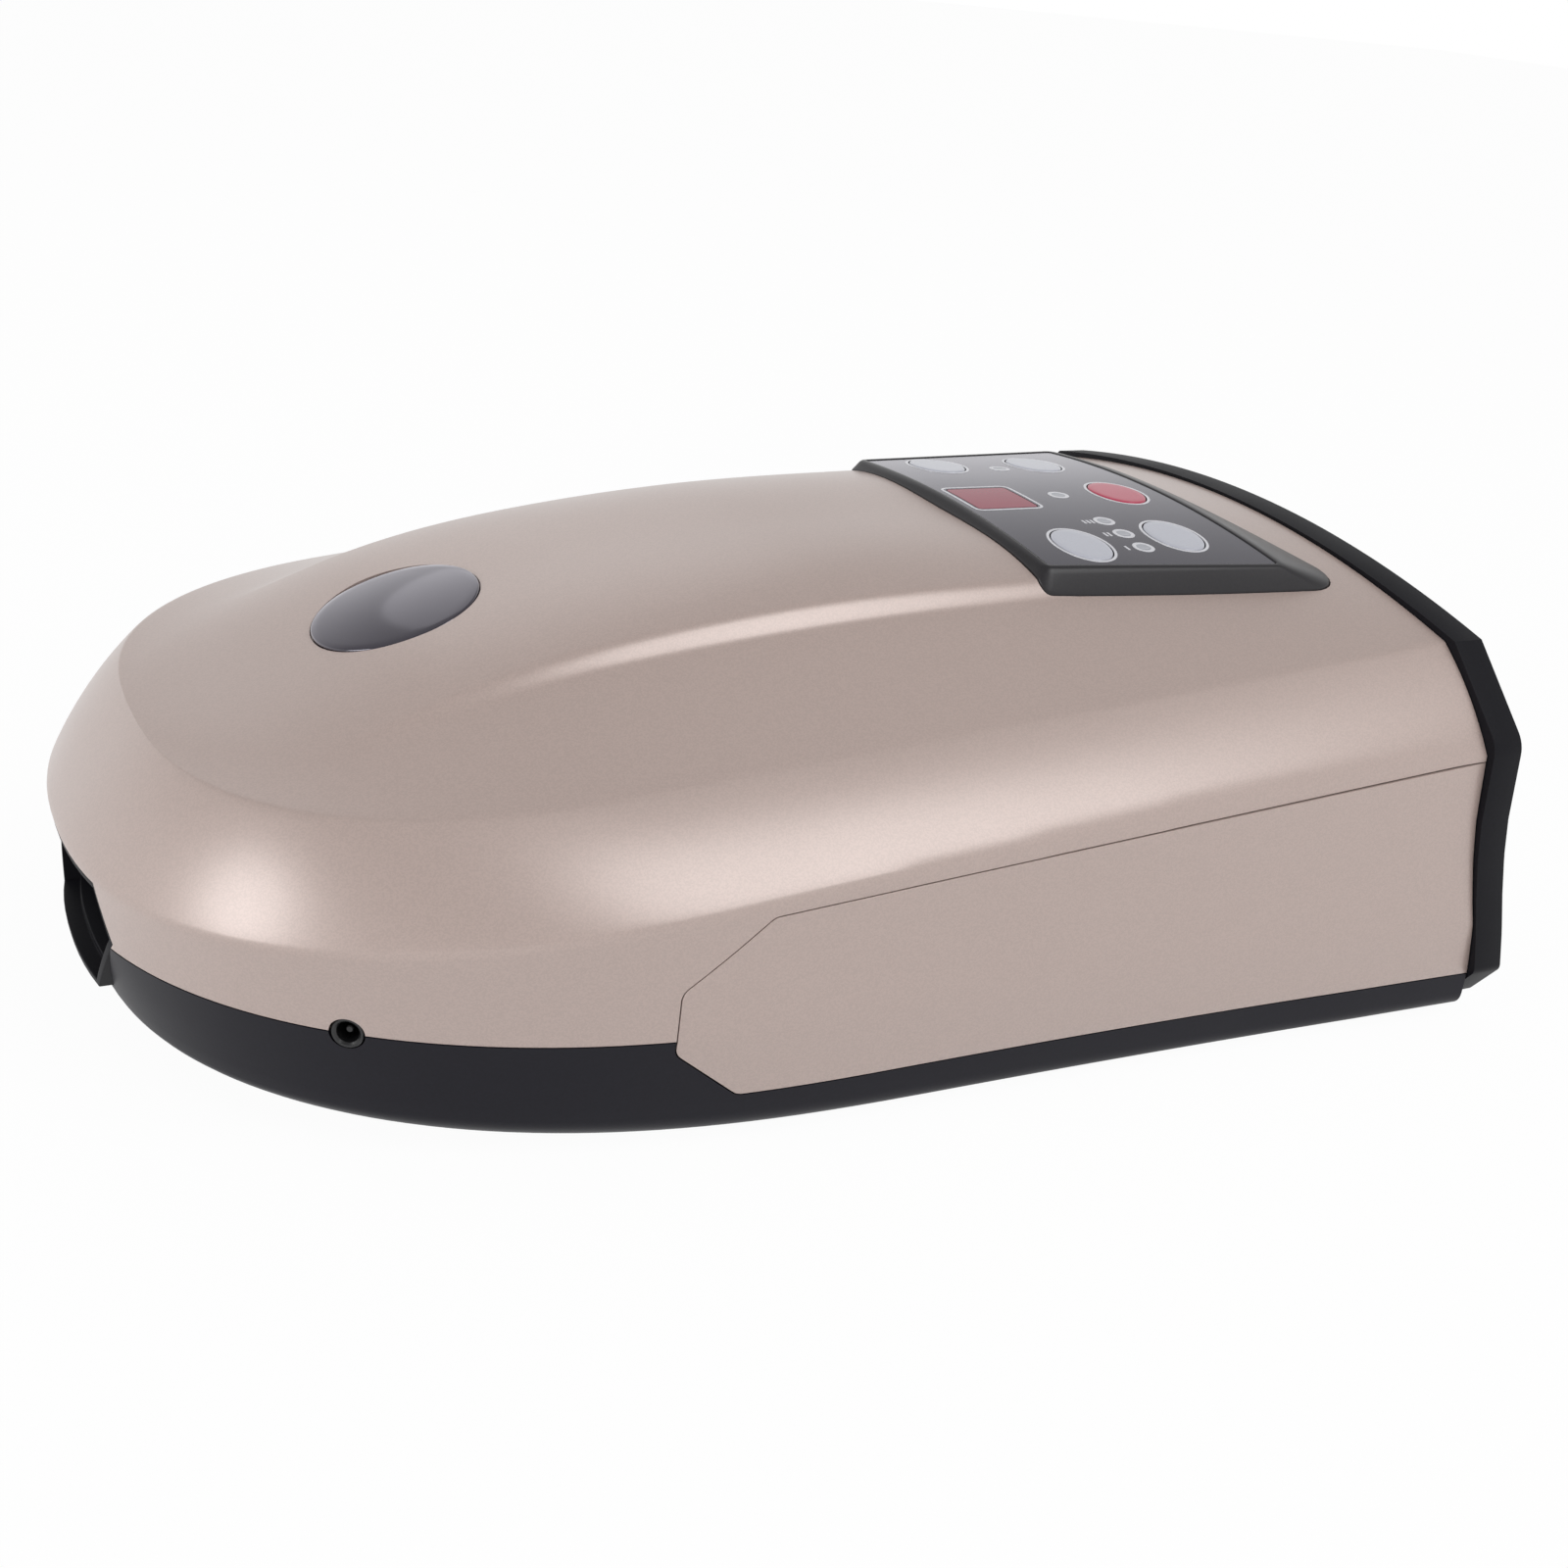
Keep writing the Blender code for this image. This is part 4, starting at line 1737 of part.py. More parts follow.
def build_hoses():
    floor_z = FLOOR_Z + WALL
    manifold_z = floor_z + GAP + MANIFOLD_THICK / 2
    run = HOSE_RADIUS
    rise_y = TUNNEL_HALF + TRAY_WALL + run * 2
    roof_z = TRAY_ROOF_Z + run + GAP * 2
    front_x = MANIFOLD_X - MANIFOLD_LONG / 2 - GAP
    rear_x = MANIFOLD_X + MANIFOLD_LONG / 2 + GAP
    nozzle_x = PUMP_X - PUMP_HEAD_LENGTH - PUMP_NOZZLE_LENGTH - GAP
    middle = blend(nozzle_x, rear_x, 0.5)
    pump_route = [
        (nozzle_x, -BAY_Y, PUMP_Z),
        (blend(nozzle_x, middle, 0.6), -BAY_Y, PUMP_Z - run / 2),
        (middle, -BAY_Y, (PUMP_Z + manifold_z) / 2),
        (blend(rear_x, middle, 0.6), -BAY_Y, manifold_z + run / 2),
        (rear_x, -BAY_Y, manifold_z),
    ]
    run_tube("pump_hose", pump_route, run, HOSE_RUBBER)
    wall_z = blend(TRAY_FLOOR_Z, TRAY_ROOF_Z, 0.55)
    bend = TRAY_CORNER + run + GAP * 2
    corner_bend = []
    for turn in (math.radians(80), math.radians(55), math.radians(28)):
        bend_y = TUNNEL_HALF + TRAY_WALL - TRAY_CORNER + bend * math.sin(turn)
        bend_z = TRAY_ROOF_Z - TRAY_CORNER + bend * math.cos(turn)
        corner_bend.append((NOZZLE_X, -bend_y, bend_z))
    upper_route = [
        (front_x, -BAY_Y, manifold_z),
        (front_x - run * 3, -BAY_Y + run / 2, manifold_z + run / 2),
        (front_x - run * 4, -BAY_Y + run * 2, manifold_z + run * 4),
        (front_x, -rise_y - run, blend(manifold_z, wall_z, 0.75)),
        (blend(front_x, NOZZLE_X, 0.5), -rise_y, wall_z),
        (blend(front_x, NOZZLE_X, 0.9), -rise_y, blend(wall_z, roof_z, 0.45)),
        *corner_bend,
        (NOZZLE_X, -blend(rise_y, NOZZLE_Y, 0.65), roof_z + run * 0.4),
        (NOZZLE_X, -NOZZLE_Y - run * 0.7, roof_z + run * 0.2),
        (NOZZLE_X, -NOZZLE_Y, roof_z - run),
        (NOZZLE_X, -NOZZLE_Y, TRAY_ROOF_Z - TRAY_WALL),
    ]
    run_tube("upper_bag_hose", upper_route, run, HOSE_RUBBER)
    crawl_z = floor_z + run + GAP * 2
    side_y = -BAY_Y + MANIFOLD_WIDE / 2 + GAP
    lower_route = [
        (rear_x - run * 5, side_y, manifold_z),
        (rear_x - run * 4.4, side_y + run * 2, manifold_z),
        (blend(rear_x, NOZZLE_X, 0.4), -NOZZLE_Y - run * 4, crawl_z),
        (NOZZLE_X - run * 0.6, -NOZZLE_Y - run * 1.4, crawl_z + run * 0.3),
        (NOZZLE_X, -NOZZLE_Y, crawl_z + run * 1.6),
        (NOZZLE_X, -NOZZLE_Y, TRAY_FLOOR_Z + TRAY_WALL),
    ]
    run_tube("lower_bag_hose", lower_route, run, HOSE_RUBBER)


def build_leads():
    plugs = board_plugs()
    run = LEAD_RADIUS
    plug_z = MAIN_BOARD_TOP_Z + PLUG_HEIGHT / 2
    edge_y = MAIN_BOARD_HALF + GAP * 2
    crawl_z = FLOOR_Z + WALL + run * 2
    gap_y = TUNNEL_HALF + TRAY_WALL + run * 2
    control_x = plugs["control"][0]
    board_z = CONTROL_BOARD_TOP_Z - BOARD_THICK - GAP - run
    ahead_x = BATTERY_X - CELL_LENGTH / 2 - run * 8
    control_route = [
        (CONTROL_BOARD_FRONT_X + run * 6, CONTROL_BOARD_HALF - run * 2, board_z),
        (CONTROL_BOARD_FRONT_X + run, CONTROL_BOARD_HALF + run * 8, board_z - run),
        (CONTROL_BOARD_FRONT_X - run * 12, gap_y, TRAY_ROOF_Z - run * 3),
        (blend(CONTROL_BOARD_FRONT_X, ahead_x, 0.7), gap_y, blend(TRAY_ROOF_Z, TRAY_SPLIT_Z, 0.7)),
        (ahead_x, gap_y, TRAY_SPLIT_Z - run * 8),
        (ahead_x + run, gap_y, TRAY_FLOOR_Z),
        (ahead_x + run * 5, gap_y - run * 6, crawl_z),
        (blend(ahead_x, control_x, 0.8), edge_y + run * 7, crawl_z + run),
        (control_x, edge_y + run * 3, plug_z),
        (control_x, edge_y, plug_z),
    ]
    run_tube("control_lead", control_route, run, LEAD_BLACK)
    battery_x = plugs["battery"][0]
    pack_x = BATTERY_X - CELL_LENGTH / 2 - GAP
    battery_route = [
        (pack_x, BAY_Y, BATTERY_LOW_Z + CELL_RADIUS),
        (pack_x - run * 4, BAY_Y - run, BATTERY_LOW_Z + CELL_RADIUS),
        (blend(pack_x, battery_x, 0.6), BAY_Y - run * 7, crawl_z + run * 2),
        (battery_x, edge_y + run * 12, crawl_z),
        (battery_x, edge_y + run * 3, plug_z),
        (battery_x, edge_y, plug_z),
    ]
    run_tube("battery_lead", battery_route, run, LEAD_BLACK)
    motor_x, motor_end_x = plugs["motor"][0], PUMP_X + GAP + MOTOR_LENGTH + GAP
    motor_route = [
        (motor_end_x, -BAY_Y, PUMP_Z + MOTOR_RADIUS / 2),
        (motor_end_x + run * 3, -BAY_Y, PUMP_Z + MOTOR_RADIUS / 2),
        (motor_end_x + run * 5, -BAY_Y + run * 3, PUMP_Z),
        (motor_end_x + run * 2, -gap_y - run, crawl_z + run * 3),
        (blend(motor_end_x, motor_x, 0.4), -gap_y + run * 5, crawl_z),
        (motor_x + run * 3, -edge_y - run * 7, crawl_z + run),
        (motor_x, -edge_y - run * 3, plug_z),
        (motor_x, -edge_y, plug_z),
    ]
    run_tube("motor_lead", motor_route, run, LEAD_BLACK)
    back = jack_frame() @ Vector((0.0, 0.0, -JACK_DEPTH - GAP * 4))
    inward = jack_frame() @ Vector((0.0, 0.0, -JACK_DEPTH - run * 4))
    jack_x = plugs["jack"][0]
    post_x, post_y = post_places()[0]
    clear = POST_RADIUS + run * 2
    jack_route = [
        back,
        inward,
        (blend(back.x, post_x, 0.5), post_y + clear * 1.4, crawl_z + run * 7),
        (post_x + clear, post_y + clear * 2.4, crawl_z),
        (TRAY_FRONT_X, -edge_y - run * 4, crawl_z),
        (jack_x - run * 4, -edge_y - run * 5, crawl_z + run),
        (jack_x, -edge_y - run * 2, plug_z),
        (jack_x, -edge_y, plug_z),
    ]
    run_tube("jack_lead", jack_route, run, LEAD_BLACK)


# Fasteners
def add_screw(bm, x, y, seat_z, direction, length):
    """Screw whose head bears on a seat, with its shank running in a direction along Z."""
    head, shank = SCREW_HEAD_RADIUS, SCREW_RADIUS
    frame = at(x, y, seat_z - direction * GAP)
    if direction < 0:
        frame = frame @ Matrix.Rotation(math.pi, 4, "X")
    profile = [(0.0, -SCREW_HEAD_HEIGHT), (head * 0.8, -SCREW_HEAD_HEIGHT), (head, -SCREW_HEAD_HEIGHT * 0.6)]
    profile += [(head, 0.0), (shank, 0.0), (shank, length - shank), (shank / 3, length), (0.0, length)]
    add_turned(bm, frame, profile, steps=HOLE_STEPS)


def build_screws():
    for k, (x, y) in enumerate(post_places()):
        bm = bmesh.new()
        add_screw(bm, x, y, SCREW_SEAT_Z, 1, SCREW_LENGTH)
        bmesh.ops.recalc_face_normals(bm, faces=bm.faces)
        place(f"casing_screw_{k + 1}", bm, STEEL)
    for k, (x, y) in enumerate(tray_post_places()):
        bm = bmesh.new()
        add_screw(bm, x, y, TRAY_FLOOR_Z + TRAY_WALL, -1, TRAY_SCREW_LENGTH)
        bmesh.ops.recalc_face_normals(bm, faces=bm.faces)
        place(f"tray_screw_{k + 1}", bm, STEEL)


def build():
    shared = build_shared_cutters()
    build_upper_shell(shared)
    build_base_tray(shared)
    build_side_panels()
    build_entry_trim()
    build_finger_window()
    build_tunnel_liner()
    build_badge()
    build_bezel()
    build_film()
    build_keys()
    build_light_guide()
    build_control_board()
    build_jack()
    build_feet()
    build_trays()
    build_pads()
    build_pump()
    build_valves()
    build_main_board()
    build_battery()
    build_hoses()
    build_leads()
    build_screws()


build()
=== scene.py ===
import math

import bmesh
import bpy
from mathutils import Matrix, Vector


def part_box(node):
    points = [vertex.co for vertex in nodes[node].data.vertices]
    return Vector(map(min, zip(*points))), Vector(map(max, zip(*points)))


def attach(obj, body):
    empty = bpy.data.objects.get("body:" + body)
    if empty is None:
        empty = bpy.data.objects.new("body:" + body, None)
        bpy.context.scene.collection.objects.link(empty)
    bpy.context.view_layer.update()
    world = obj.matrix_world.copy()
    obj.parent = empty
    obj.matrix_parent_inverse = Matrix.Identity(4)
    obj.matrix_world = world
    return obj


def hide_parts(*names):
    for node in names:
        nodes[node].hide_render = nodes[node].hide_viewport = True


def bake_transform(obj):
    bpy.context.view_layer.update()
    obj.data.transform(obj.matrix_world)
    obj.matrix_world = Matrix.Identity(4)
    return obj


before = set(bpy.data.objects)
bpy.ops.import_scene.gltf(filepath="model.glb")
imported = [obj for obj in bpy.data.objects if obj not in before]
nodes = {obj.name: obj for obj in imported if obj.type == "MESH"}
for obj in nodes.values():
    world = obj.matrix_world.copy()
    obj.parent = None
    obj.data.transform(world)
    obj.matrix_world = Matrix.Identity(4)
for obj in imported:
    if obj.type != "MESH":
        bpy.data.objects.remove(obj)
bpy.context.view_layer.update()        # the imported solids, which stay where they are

mm = 0.001

# every shape below is drawn in millimetres, with +X towards the hand entry and +Z up
casing = {
    "height": 107.0,
    "rear": 155.6,
    "rearLean": 3.3,
    "footZ": 3.2,
    "heel": 8.4,
    "heelShares": ((0.0, 1.0), (0.13, 0.95), (0.235, 0.70), (0.335, 0.40), (0.44, 0.14), (0.54, 0.0)),
    "gap": 0.3,
    "wall": 1.2,
}
gap = casing["gap"]

# how far the tools that cut reach past what they cut
cutReach = {
    "side": 118.0,
    "rear": 171.0,
    "noseFront": -171.0,
    "noseBack": -143.0,
    "under": -2.0,
    "shell": (85.0, 118.0),
    "controls": (90.0, 114.0),
    "printing": (96.0, 112.0),
}


def mix(a, b, share):
    return a + (b - a) * share


def softStep(value):
    value = min(max(value, 0.0), 1.0)
    return value * value * (3 - 2 * value)


# how far the hand entry lies behind its plane: it leans in, and its heel runs out
def rearShift(z):
    share = min(max(z / casing["height"], 0.0), 1.0)
    shift = -casing["rearLean"] * share
    table = casing["heelShares"]
    for (low, reach), (high, nextReach) in zip(table, table[1:]):
        if low <= share <= high:
            shift += casing["heel"] * mix(reach, nextReach, (share - low) / (high - low))
            break
    return shift


# the shapes are drawn in the casing's own frame, whose middle is then set over the origin
boxMiddle = Vector((rearShift(casing["footZ"]) / 2, 0.0, 0.0))


def casingLine(half, rearHalf, nose, straight, power, heights):
    line = {"half": half, "rearHalf": rearHalf, "nose": nose, "straight": straight}
    line["power"] = power
    line["heights"] = heights
    line["rear"] = casing["rear"] - casing["rearLean"] * heights[2] / casing["height"]
    return line


creaseLine = casingLine(104.9, 106.1, -165.0, -47.1, 2.3, (44.8, 63.3, 73.8))
deckLine = casingLine(83.5, 85.0, -148.0, -62.0, 2.5, (69.8, 81.8, 95.8))
splitLine = casingLine(106.4, 110.1, -165.0, -20.6, 2.3, (31.1, 29.0, 28.4))
sillLine = casingLine(103.9, 109.4, -156.5, 7.8, 2.6, (8.2, 2.7, 2.6))
floorLine = casingLine(99.7, 103.5, -137.0, 7.8, 2.6, (2.0, 2.0, 2.0))
deckLine["rear"] = casing["rear"] - casing["rearLean"]


def lineHeight(line, x):
    noseZ, midZ, rearZ = line["heights"]
    run = (x - line["nose"]) / (line["rear"] - line["nose"])
    mid = -line["nose"] / (line["rear"] - line["nose"])
    atNose = noseZ * (run - mid) * (run - 1) / mid
    atMid = midZ * run * (run - 1) / (mid * (mid - 1))
    return atNose + atMid + rearZ * run * (run - mid) / (1 - mid)


# station 0 is the rear end of a line, 1 the start of the nose and 2 the tip of the nose
def linePoint(line, station):
    if station <= 1:
        x = mix(line["rear"], line["straight"], station)
        y = mix(line["half"], line["rearHalf"], (1 - station) ** 2)
    else:
        turn = (station - 1) * math.pi / 2
        bow = 2 / line["power"]
        x = line["straight"] - (line["straight"] - line["nose"]) * math.sin(turn) ** bow
        y = line["half"] * max(math.cos(turn), 0.0) ** bow
    return Vector((x, y, lineHeight(line, x)))


def lineHalf(line, x):
    if x >= line["straight"]:
        back = (x - line["straight"]) / (line["rear"] - line["straight"])
        return mix(line["half"], line["rearHalf"], back * back)
    run = min((line["straight"] - x) / (line["straight"] - line["nose"]), 1.0)
    return line["half"] * (1 - run ** line["power"]) ** (1 / line["power"])


def lineNose(line, y):
    across = min(abs(y) / line["half"], 1.0)
    bow = (1 - across ** line["power"]) ** (1 / line["power"])
    return line["straight"] - (line["straight"] - line["nose"]) * bow


# materials: each named input of a node is set to a value or to the output that feeds it
def feed(tree, node, inputs):
    for name, value in inputs.items():
        if isinstance(value, bpy.types.NodeSocket):
            tree.links.new(value, node.inputs[name])
        else:
            node.inputs[name].default_value = value


def addNode(tree, kind, inputs):
    made = tree.nodes.new(f"ShaderNode{kind}")
    feed(tree, made, inputs)
    return made


def addMath(tree, operation, *values):
    made = addNode(tree, "Math", dict(enumerate(values)))
    made.operation = operation
    return made.outputs[0]


def startFinish(name):
    made = bpy.data.materials.new(name)
    made.use_nodes = True
    tree = made.node_tree
    place = addNode(tree, "TexCoord", {})
    return made, tree, tree.nodes["Principled BSDF"], place.outputs["Object"]


def addNoise(tree, place, scale, detail=2.0, stretch=None):
    if stretch:
        place = addNode(tree, "Mapping", {"Vector": place, "Scale": stretch}).outputs["Vector"]
    noise = addNode(tree, "TexNoise", {"Vector": place, "Scale": scale, "Detail": detail})
    return noise.outputs["Fac"]


def addRange(tree, value, low, high, fromLow=0.3, fromHigh=0.7):
    spread = addNode(tree, "MapRange", {
        "Value": value, "From Min": fromLow, "From Max": fromHigh, "To Min": low, "To Max": high,
    })
    return spread.outputs["Result"]


# the colour, from a darker share of it to a lighter one
def addTones(tree, value, colour, dark, light):
    ramp = addNode(tree, "ValToRGB", {"Fac": value})
    for stop, position, share in zip(ramp.color_ramp.elements, (0.3, 0.7), (dark, light)):
        stop.position = position
        stop.color = (*(min(c * share, 1.0) for c in colour), 1.0)
    return ramp.outputs["Color"]


def addBump(tree, value, strength, distance):
    bump = addNode(tree, "Bump", {"Height": value, "Strength": strength, "Distance": distance})
    return bump.outputs["Normal"]


# moulded, painted or printed surface: grain in the colour, the gloss and the relief
def grainFinish(
    name, colour, rough, metal=0.0, grain=1500.0, spread=0.08, relief=0.01, coat=0.0, specular=0.5,
    stretch=None, tint=(1.0, 1.0, 1.0),
):
    made, tree, shader, place = startFinish(name)
    fine = addNoise(tree, place, grain, 2.0, stretch)
    cloud = addNoise(tree, place, grain / 60, 3.0, stretch)
    feed(tree, shader, {
        "Base Color": addTones(tree, fine, colour, 1 - spread, 1 + spread),
        "Roughness": addRange(tree, cloud, rough * 0.92, rough * 1.08),
        "Metallic": metal,
        "Specular IOR Level": specular,
        "Specular Tint": (*tint, 1.0),
        "Coat Weight": coat,
        "Coat Roughness": 0.12,
        "Coat Tint": (*tint, 1.0),
        "Normal": addBump(tree, fine, relief, 0.0002),
    })
    return made


# champagne lacquer: fine flakes under a satin coat
paint = {
    "colour": (0.450, 0.352, 0.318),
    "flake": 3200.0,
    "spread": 0.045,
    "rough": 0.36,
    "roughSpread": 0.04,
    "metal": 0.16,
    "specular": 0.9,
    "coat": 0.5,
    "coatRough": 0.28,
}


def lacquerFinish(name):
    made, tree, shader, place = startFinish(name)
    flakes = addNode(tree, "TexVoronoi", {"Vector": place, "Scale": paint["flake"]})
    split = addNode(tree, "SeparateColor", {"Color": flakes.outputs["Color"]})
    cloud = addNoise(tree, place, 30.0, 3.0)
    spread, rough, roughSpread = paint["spread"], paint["rough"], paint["roughSpread"]
    feed(tree, shader, {
        "Base Color": addTones(tree, split.outputs["Red"], paint["colour"], 1 - spread, 1 + spread),
        "Roughness": addRange(tree, cloud, rough * (1 - roughSpread), rough * (1 + roughSpread)),
        "Metallic": paint["metal"],
        "Specular IOR Level": paint["specular"],
        "Coat Weight": paint["coat"],
        "Coat Roughness": paint["coatRough"],
        "Normal": addBump(tree, split.outputs["Green"], 0.02, 0.0001),
    })
    return made


# woven cloth: two sets of threads that cross, with a little fuzz
def clothFinish(name, colour, thread=0.0006):
    made, tree, shader, place = startFinish(name)
    threads = []
    for direction in ("X", "Y"):
        wave = addNode(tree, "TexWave", {
            "Vector": place, "Scale": 0.314 / thread, "Distortion": 0.6, "Detail": 1.0,
        })
        wave.bands_direction = direction
        threads.append(wave.outputs["Fac"])
    fuzz = addNoise(tree, place, 700.0, 4.0)
    weave = addMath(tree, "MULTIPLY_ADD", fuzz, 0.4, addMath(tree, "MULTIPLY", *threads))
    feed(tree, shader, {
        "Base Color": addTones(tree, weave, colour, 0.7, 1.35),
        "Roughness": 0.9,
        "Sheen Weight": 0.25,
        "Sheen Roughness": 0.5,
        "Specular IOR Level": 0.2,
        "Normal": addBump(tree, weave, 0.5, 0.0003),
    })
    return made


# circuit board: lacquer with faint copper runs under it
def boardFinish(name):
    made, tree, shader, place = startFinish(name)
    runs = addNode(tree, "TexBrick", {
        "Vector": place,
        "Scale": 260.0,
        "Mortar Size": 0.03,
        "Color1": (0.012, 0.115, 0.045, 1.0),
        "Color2": (0.016, 0.135, 0.055, 1.0),
        "Mortar": (0.05, 0.26, 0.11, 1.0),
    })
    feed(tree, shader, {
        "Base Color": runs.outputs["Color"],
        "Roughness": addRange(tree, addNoise(tree, place, 300.0), 0.32, 0.42),
        "Normal": addBump(tree, runs.outputs["Fac"], 0.15, 0.0002),
    })
    return made


# welded bag film: clear grey with soft creases
def filmFinish(name, colour, rough):
    made, tree, shader, place = startFinish(name)
    creases = addNoise(tree, place, 45.0, 5.0)
    feed(tree, shader, {
        "Base Color": addTones(tree, creases, colour, 0.85, 1.1),
        "Roughness": addRange(tree, creases, rough * 0.8, rough * 1.2),
        "Coat Weight": 0.3,
        "Normal": addBump(tree, creases, 0.35, 0.001),
    })
    return made


finishes = {
    "lacquer": lacquerFinish("champagneLacquer"),
    "base": grainFinish(
        "satinBlackBase", (0.0088, 0.0082, 0.0135), 0.44, grain=1300.0, relief=0.05, specular=0.18,
    ),
    "trim": grainFinish(
        "matteBlackTrim", (0.0080, 0.0078, 0.0105), 0.50, grain=1300.0, relief=0.06, specular=0.11,
    ),
    "housing": grainFinish(
        "satinBlackHousing", (0.0215, 0.0200, 0.0225), 0.34, relief=0.02, specular=0.36,
    ),
    "overlay": grainFinish(
        "glossOverlay", (0.013, 0.012, 0.017), 0.14, relief=0.004, coat=0.3, specular=0.6,
        tint=(0.90, 0.87, 1.0),
    ),
    "badge": grainFinish(
        "glossBadge", (0.012, 0.009, 0.015), 0.10, relief=0.003, coat=1.0, specular=0.8,
        tint=(0.94, 0.91, 1.0),
    ),
    "silver": grainFinish("silverPrint", (0.72, 0.72, 0.76), 0.35, metal=0.3, grain=2200.0),
    "keyPale": grainFinish("paleKey", (0.48, 0.49, 0.55), 0.32, spread=0.03, coat=0.3),
    "keyRed": grainFinish("redKey", (0.46, 0.036, 0.085), 0.30, spread=0.04, coat=0.3),
    "window": grainFinish(
        "smokedRedWindow", (0.26, 0.014, 0.045), 0.14, spread=0.04, relief=0.004, coat=0.05,
        specular=0.25,
    ),
    "pipe": grainFinish("milkyPipe", (0.36, 0.37, 0.41), 0.30, spread=0.05, coat=0.2),
    "socket": grainFinish("socketBlack", (0.012, 0.012, 0.013), 0.28, relief=0.02),
    "tray": grainFinish("greyMoulding", (0.050, 0.050, 0.055), 0.55, grain=900.0, relief=0.10),
    "pale": grainFinish("paleMoulding", (0.60, 0.60, 0.57), 0.48, grain=900.0, spread=0.03, relief=0.06),
    "steel": grainFinish(
        "platedSteel", (0.56, 0.56, 0.57), 0.30, metal=1.0, grain=700.0, relief=0.04,
        stretch=(1.0, 1.0, 9.0),
    ),
    "rubber": grainFinish(
        "blackRubber", (0.024, 0.024, 0.025), 0.82, grain=1100.0, spread=0.15, relief=0.25, specular=0.3,
    ),
    "hose": grainFinish("paleSilicone", (0.62, 0.62, 0.59), 0.42, grain=600.0, spread=0.03, relief=0.04),
    "lead": grainFinish("leadSleeve", (0.017, 0.017, 0.018), 0.55, grain=900.0, spread=0.1, relief=0.08),
    "module": grainFinish("moduleBlack", (0.020, 0.020, 0.021), 0.50, grain=1100.0, relief=0.05),
    "cells": grainFinish(
        "shrinkWrap", (0.025, 0.105, 0.30), 0.30, grain=160.0, spread=0.10, relief=0.10, coat=0.4,
    ),
    "heater": grainFinish("heaterFilm", (0.45, 0.22, 0.05), 0.35, grain=240.0, spread=0.12, relief=0.03),
    "board": boardFinish("circuitBoard"),
    "bag": filmFinish("bagFilm", (0.42, 0.45, 0.50), 0.35),
    "liner": clothFinish("linerCloth", (0.020, 0.020, 0.022)),
    "pad": clothFinish("padCloth", (0.030, 0.029, 0.031), thread=0.0009),
}
print("finishes made:", len(finishes))


# helpers that turn a bmesh into a finished piece
def addToScene(name, data):
    made = bpy.data.objects.new(name, data)
    bpy.context.scene.collection.objects.link(made)
    return made


def newObject(name, bm):
    mesh = bpy.data.meshes.new(name)
    bmesh.ops.translate(bm, vec=-boxMiddle, verts=bm.verts)
    bmesh.ops.scale(bm, vec=(mm, mm, mm), verts=bm.verts)
    bm.to_mesh(mesh)
    bm.free()
    return addToScene(name, mesh)


def faceOut(bm):
    bmesh.ops.recalc_face_normals(bm, faces=bm.faces)


# applies the object's modifiers and the cuts, each a pair of an operation and a bmesh
def settle(piece, cuts=()):
    tools = []
    for number, (operation, bm) in enumerate(cuts):
        faceOut(bm)
        tool = newObject(f"{piece.name}Cut{number}", bm)
        change = piece.modifiers.new(tool.name, "BOOLEAN")
        change.operation = operation
        change.solver = "EXACT"
        change.object = tool
        tools.append(tool)
    bpy.context.view_layer.update()
    shaped = piece.evaluated_get(bpy.context.evaluated_depsgraph_get())
    mesh = bpy.data.meshes.new_from_object(shaped)
    piece.modifiers.clear()
    piece.data = mesh
    for tool in tools:
        bpy.data.objects.remove(tool, do_unlink=True)


def dress(piece, finish, replaced, body="casing", sharp=32):
    piece.data.materials.clear()
    piece.data.materials.append(finishes[finish])
    piece.data.shade_smooth()
    piece.data.set_sharp_from_angle(angle=math.radians(sharp))
    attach(piece, body)
    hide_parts(*replaced)
    return piece


def cutAlong(bm, point, normal, clear=False):
    bmesh.ops.bisect_plane(
        bm, geom=bm.verts[:] + bm.edges[:] + bm.faces[:], dist=0.001,
        plane_co=point, plane_no=normal, clear_outer=clear,
    )


def addWall(piece, thickness):
    change = piece.modifiers.new("wall", "SOLIDIFY")
    change.thickness = thickness * mm
    change.offset = -1.0


def addRound(piece, width):
    change = piece.modifiers.new("round", "BEVEL")
    change.width = width * mm
    change.segments = 3
    change.limit_method = "ANGLE"
    change.angle_limit = math.radians(40)
    change.use_clamp_overlap = True


# a flat grid whose points are then set one by one
def drapedGrid(columns, rows, pointAt):
    bm = bmesh.new()
    bmesh.ops.create_grid(bm, x_segments=columns, y_segments=rows, size=1.0)
    row = bm.verts.layers.int.new("row")
    for vert in bm.verts:
        vert[row] = round((vert.co.y + 1) / 2 * rows)
        vert.co = pointAt(round((vert.co.x + 1) / 2 * columns), vert[row])
    return bm


# edges of a closed loop of points
def loopEdges(bm, points):
    verts = [bm.verts.new(point) for point in points]
    return [bm.edges.new((verts[k - 1], verts[k])) for k in range(len(verts))]


# a tube through loops that have the same number of points
def loft(loops, closed=False):
    rows = list(loops) + ([loops[0]] if closed else [])
    count = len(rows[0])
    bm = drapedGrid(count, len(rows) - 1, lambda column, row: rows[row][column % count])
    bmesh.ops.remove_doubles(bm, verts=bm.verts, dist=0.002)
    faceOut(bm)
    return bm


